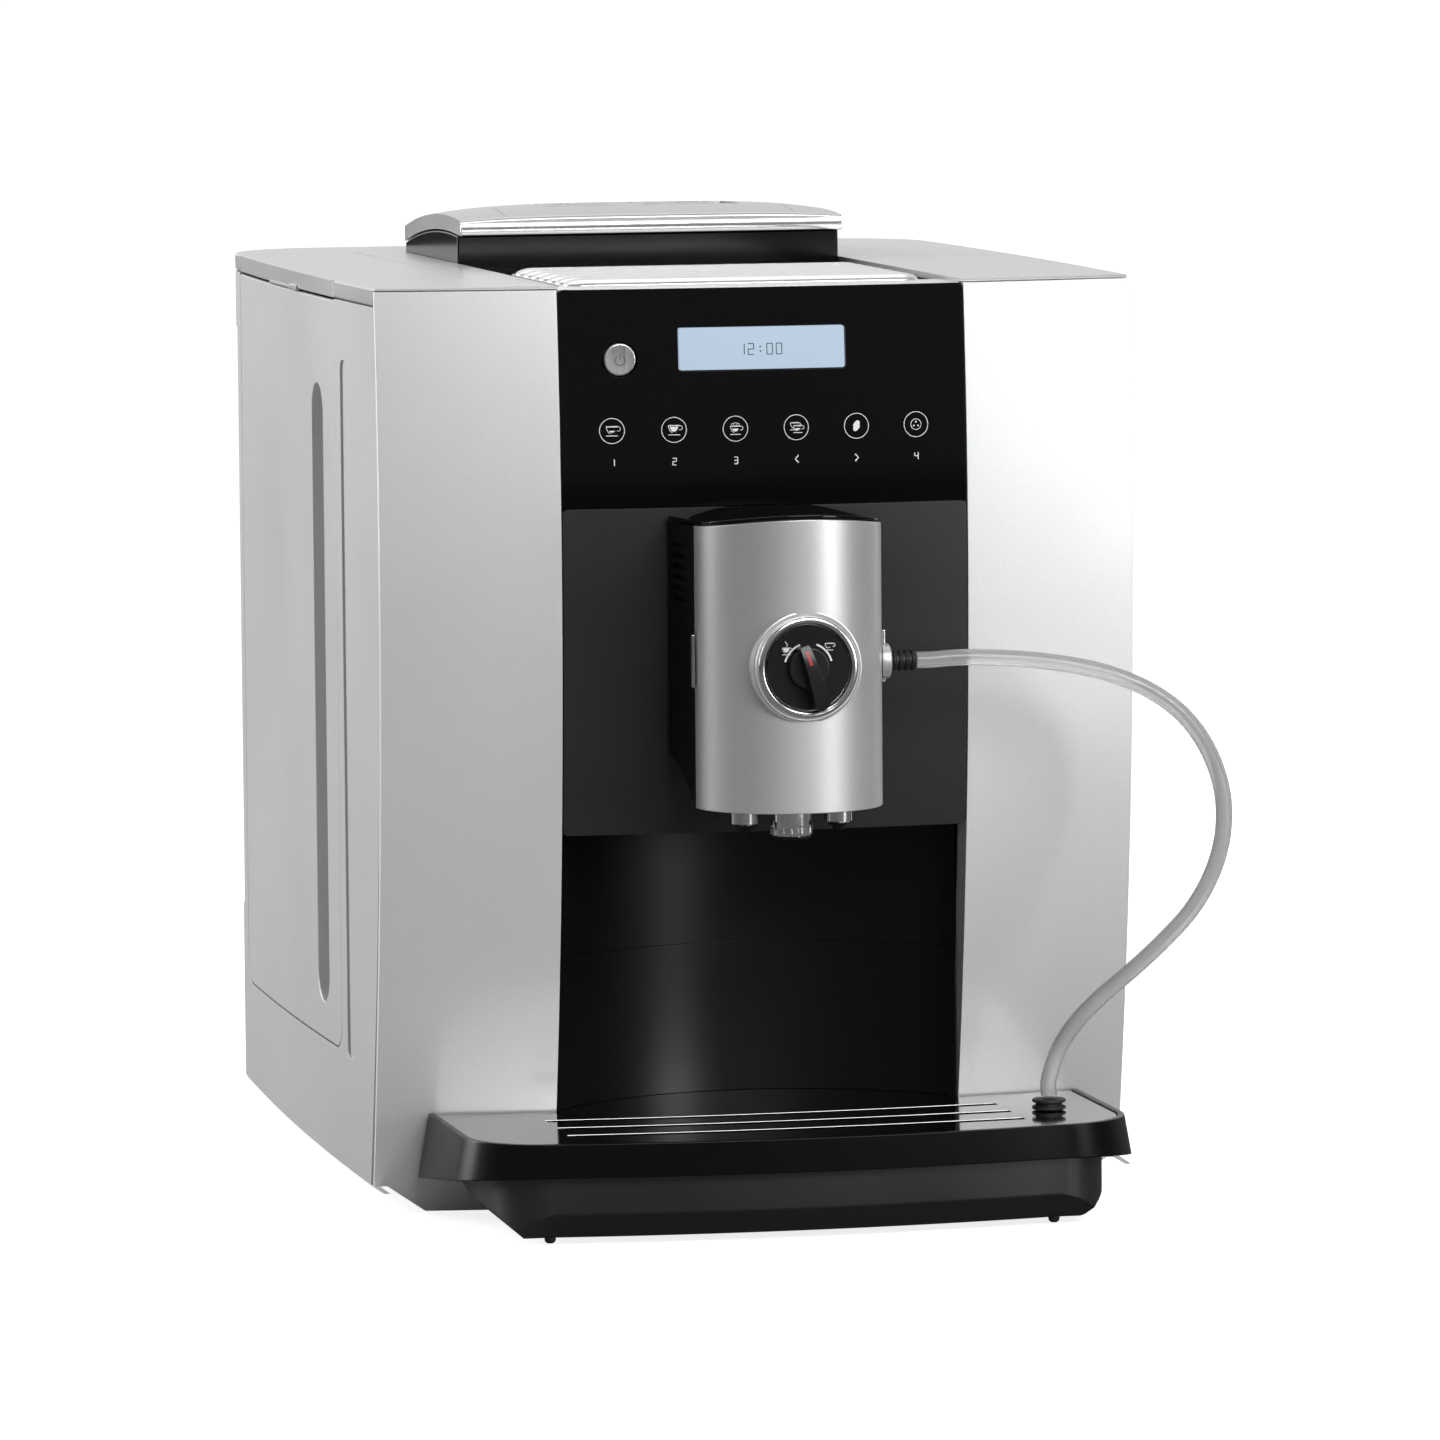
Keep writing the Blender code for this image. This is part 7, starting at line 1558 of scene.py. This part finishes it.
# %% Hopper and lid
COLLAR_TOP, COLLAR_RADIUS, CREST_Y = BODY_TOP + 0.012, 0.461, HOPPER_FRONT + 0.028
LID_SIDE, LID_NOSE, LID_WALL = 0.0062, 0.0012, 0.002
STRAIGHT_LOW, THROAT_Z, THROAT, HOPPER_WALL = COLLAR_TOP - 0.037, 0.291, 0.018, 0.002


def collar_top(y):
    return COLLAR_TOP - (y - CREST_Y) ** 2 / (2 * COLLAR_RADIUS)


def lid_under(y):
    return collar_top(y) + RUNNING_GAP


def lid_crown(y):
    radius = 0.175 if y < CREST_Y else 0.470
    return COLLAR_TOP + 0.0104 - (y - CREST_Y) ** 2 / (2 * radius) - lid_under(y) - LID_SIDE


def lid_top(x, y):
    return lid_under(y) + LID_SIDE + lid_crown(y) * (1 - (x / HOPPER_HALF) ** 4)


def funnel(low_box, low, high_box, high):
    work = bmesh.new()
    bmesh.ops.create_cube(work, size=2)
    for vert in work.verts:
        box, z = (high_box, high) if vert.co.z > 0 else (low_box, low)
        vert.co = (box[vert.co.x > 0][0], box[vert.co.y > 0][1], z)
    return mesh_from(work)


def square(half, middle):
    return ((-half, middle - half), (half, middle + half))


grind_y, half, thick = (HOPPER_FRONT + HOPPER_REAR) / 2, HOPPER_HALF, HOPPER_WALL
profile = [(HOPPER_FRONT, STRAIGHT_LOW), (HOPPER_REAR, STRAIGHT_LOW)]
profile += [(y, collar_top(y)) for y in steps(HOPPER_REAR, HOPPER_FRONT, 20)]
hopper = eased(prism([profile], -half, half, "X"), 0.0008, 4, 40)
outside = ((-half + 0.001, HOPPER_FRONT + 0.001), (half - 0.001, HOPPER_REAR - 0.001))
cone = funnel(square(THROAT, grind_y), THROAT_Z, outside, STRAIGHT_LOW + thick)
hopper = plus(hopper, cone)
inside = ((-half + thick, HOPPER_FRONT + thick), (half - thick, HOPPER_REAR - thick))
bore = THROAT - thick
hopper = minus(
    hopper, block((*inside[0], STRAIGHT_LOW), (*inside[1], COLLAR_TOP + 0.01)),
    funnel(square(bore, grind_y), THROAT_Z, inside, STRAIGHT_LOW + thick / 2),
    block((-bore, grind_y - bore, THROAT_Z - 0.01), (bore, grind_y + bore, STRAIGHT_LOW)),
)
dressed("bean_hopper", hopper, "hopper_black", "housing")

front, rear = HOPPER_FRONT - 0.0065, HOPPER_REAR + 0.0015
profile = [(y, lid_under(y)) for y in steps(front, rear, 20)]
profile += [(y, lid_under(y) + LID_SIDE) for y in steps(rear, front + LID_NOSE, 24)]
nose_top = lid_under(front) + LID_SIDE
profile += [
    (front + LID_NOSE * (1 - math.sin(t)), nose_top - LID_NOSE * (1 - math.cos(t)))
    for t in steps(0.3, math.pi / 2, 4)
]
lid = prism([profile], -half, half, "X")
sliced(lid, "X", [half * math.sin(t) for t in steps(-math.pi / 2, math.pi / 2, 48)][1:-1])


def crowned(co):
    share = min(max((co.z - lid_under(co.y)) / LID_SIDE, 0), 1)
    return (0, 0, share * lid_crown(co.y) * (1 - (co.x / half) ** 4))


lid = bent(lid, crowned)
inner_front, inner_rear = front + LID_WALL + LID_NOSE, rear - LID_WALL
hollow = [(y, lid_under(y) + LID_SIDE - LID_WALL) for y in steps(inner_rear, inner_front, 12)]
low = lid_under(inner_rear) - 0.01
hollow += [(inner_front, low), (inner_rear, low)]


def sunk(loops, depth, columns=16):
    """A cutter whose floor follows the lid's crown at a depth."""
    mesh = prism(loops, 0, 0.01)
    xs, ys = [p[0] for p in loops[0]], [p[1] for p in loops[0]]
    sliced(mesh, "X", steps(min(xs), max(xs), columns)[1:-1])
    sliced(mesh, "Y", steps(min(ys), max(ys), 6)[1:-1])
    return bent(mesh, lambda co: (0, 0, lid_top(co.x, co.y) - depth))


LOUVRE_Y, LOUVRE_HALF, LOUVRE_PITCH, LOUVRE_DEPTH = CREST_Y + 0.002, 0.0155, 0.0062, 0.0030
field = sunk([rounded(-0.0425, LOUVRE_Y - 0.0150, 0.0425, LOUVRE_Y + 0.0150, 0.003, 6)], 0.0010)
slot = prism([rounded(-LOUVRE_HALF, -0.0014, LOUVRE_HALF, 0.0014, 0.0005, 2)], 0, 0.01)
slot = sliced(slot, "X", steps(-LOUVRE_HALF, LOUVRE_HALF, 8)[1:-1])
louvres = []
for group in (-1, 1):
    rows = row_of(slot.copy(), 4, (0, LOUVRE_PITCH, 0), LOOK["lid_silver"])
    rows.transform(Matrix.Translation((group * 0.0205, LOUVRE_Y - 1.5 * LOUVRE_PITCH, 0)))
    louvres.append(bent(rows, lambda co: (0, 0, lid_top(co.x, co.y) - LOUVRE_DEPTH)))
seams = []
for middle in (-0.0605, 0.0605):
    left, right, near, far = middle - 0.00015, middle + 0.00015, front + 0.004, rear - 0.03
    seams.append(sunk([[(left, near), (right, near), (right, far), (left, far)]], 0.0003, 1))
lid = minus(lid, prism([hollow], -half + LID_WALL, half - LID_WALL, "X"), field, *louvres, *seams)
lid = eased(lid, 0.0004, 3, 45)
dressed("bean_lid", lid, "lid_silver", "bean_lid_body")

BAND_HEIGHT, BAND_THICKNESS, BAND_ROLL = 0.0052, 0.0011, 0.0004
band_low, band_front = lid_under(front), front - SEAM - BAND_THICKNESS
band_high, band_back = band_low + BAND_HEIGHT, band_front + BAND_THICKNESS
outline = rounded(-half, band_low, half, band_high, 0.0011, 6)
band = eased(prism([outline], band_front, band_back, "Y"), 0.0004, 4)
sliced(band, "Z", steps(band_low, band_high, 10)[1:-1])


def rolled(co):
    """The band's face rolls back towards its upper and lower edge."""
    share = (band_back - co.y) / BAND_THICKNESS
    return (0, BAND_ROLL * share * (2 * (co.z - band_low) / BAND_HEIGHT - 1) ** 2, 0)


band = bent(band, rolled)
dressed("lid_band", band, "chrome", "bean_lid_body")
print("hopper, lid with 8 louvres, chrome band")

# %% [markdown]
# ## Feet
#
# Four soft feet carry the machine. Each is a turned rubber pad with a rounded lower edge.

# %% Feet
for node in ("foot_front_left", "foot_front_right", "foot_rear_left", "foot_rear_right"):
    low, high = (Vector(corner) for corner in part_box(node))
    middle, radius = (low + high) / 2, (high.x - low.x) / 2
    profile = [(0, 0), (radius * 0.72, 0), (radius * 0.86, 0.0004), (radius * 0.95, 0.0012)]
    profile = lifted(profile + [(radius, 0.0024)], low.z) + [(radius, high.z), (0, high.z)]
    pad = spun(profile, (middle.x, middle.y - DATUM_Y, 0), "Z", 48)
    dressed(node, pad, "rubber", "housing")
print("feet")

# %% Hose foot
FOOT_X, FOOT_Y, HOSE_END_Z = 0.1057, -0.0440, 0.0463
flanges = [
    (0, 0), (0.0060, 0), (0.0066, 0.0003), (0.0067, 0.0008), (0.0064, 0.0013), (0.0054, 0.0016),
    (0.0052, 0.0021), (0.0054, 0.0026), (0.0064, 0.0029), (0.0067, 0.0034), (0.0065, 0.0039),
    (0.0060, 0.0042), (0, 0.0042),
]
foot = spun(lifted(flanges, PLATE_TOP + SEAM), (FOOT_X, FOOT_Y, 0), "Z", 72)
dressed("hose_foot", foot, "rubber", "housing")
print("hose foot")

# %% [markdown]
# ## The milk hose
#
# A free hose is a fixed length of something flexible. It leaves the spout's connector straight,
# sweeps out to the right under its own stiffness and comes down into its rubber foot on the
# tray. The route is a list of points chosen along it, in metres. The curve becomes a plain mesh
# tube.

# %% Milk hose
HOSE_RADIUS = 0.0032
CONNECTOR_Y, CONNECTOR_Z = -0.0535, 0.2197
HOSE_START = 0.0508
HOSE_ROUTE = [
    (HOSE_START, CONNECTOR_Y, CONNECTOR_Z),
    (HOSE_START + 2 * HOSE_RADIUS, CONNECTOR_Y, CONNECTOR_Z),
    (0.0700, -0.0540, 0.2203),
    (0.0880, -0.0565, 0.2196),
    (0.1060, -0.0600, 0.2176),
    (0.1240, -0.0638, 0.2137),
    (0.1400, -0.0675, 0.2070),
    (0.1530, -0.0708, 0.1972),
    (0.1622, -0.0738, 0.1838),
    (0.1672, -0.0762, 0.1680),
    (0.1672, -0.0780, 0.1518),
    (0.1627, -0.0787, 0.1362),
    (0.1545, -0.0778, 0.1218),
    (0.1435, -0.0745, 0.1090),
    (0.1325, -0.0690, 0.0975),
    (0.1225, -0.0610, 0.0868),
    (0.1145, -0.0525, 0.0758),
    (0.1095, -0.0450, 0.0645),
    (FOOT_X, FOOT_Y, HOSE_END_Z + 2 * HOSE_RADIUS),
    (FOOT_X, FOOT_Y, HOSE_END_Z),
]


def smooth_path(route, share=8):
    """A curve through the route's points, as closely spaced points."""
    points = [Vector(point) for point in route]
    ends = [2 * points[0] - points[1]] + points + [2 * points[-1] - points[-2]]
    path = []
    for before, here, there, after in zip(ends, ends[1:], ends[2:], ends[3:]):
        for t in steps(0, 1, share)[:-1]:
            path.append(0.5 * (
                2 * here + (there - before) * t
                + (2 * before - 5 * here + 4 * there - after) * t**2
                + (3 * here - before - 3 * there + after) * t**3
            ))
    return path + [points[-1]]


hose_path = [point + Vector((0, DATUM_Y, 0)) for point in smooth_path(HOSE_ROUTE)]
curve = bpy.data.curves.new("hose_line", "CURVE")
curve.dimensions = "3D"
curve.bevel_depth = HOSE_RADIUS
curve.bevel_resolution = 6
curve.use_fill_caps = True
spline = curve.splines.new("POLY")
spline.points.add(len(hose_path) - 1)
for point, place in zip(spline.points, hose_path):
    point.co = (*place, 1)
line = bpy.data.objects.new("hose_line", curve)
machine.objects.link(line)
tube = evaluated(line)
tube.shade_smooth()
hose = bpy.data.objects.new("milk_hose_clear", tube)
machine.objects.link(hose)

clear, nodes, links, shader = shader_of("clear_silicone", (0.70, 0.705, 0.70), 0.14)
shader.inputs["Transmission Weight"].default_value = 0.70
shader.inputs["IOR"].default_value = 1.41
rough_from(nodes, links, shader, 60, 0.12, 0.24)
LOOK["clear_hose"] = clear
tube.materials.clear()
tube.materials.append(clear)
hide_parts("milk_hose")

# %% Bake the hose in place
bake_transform(hose)
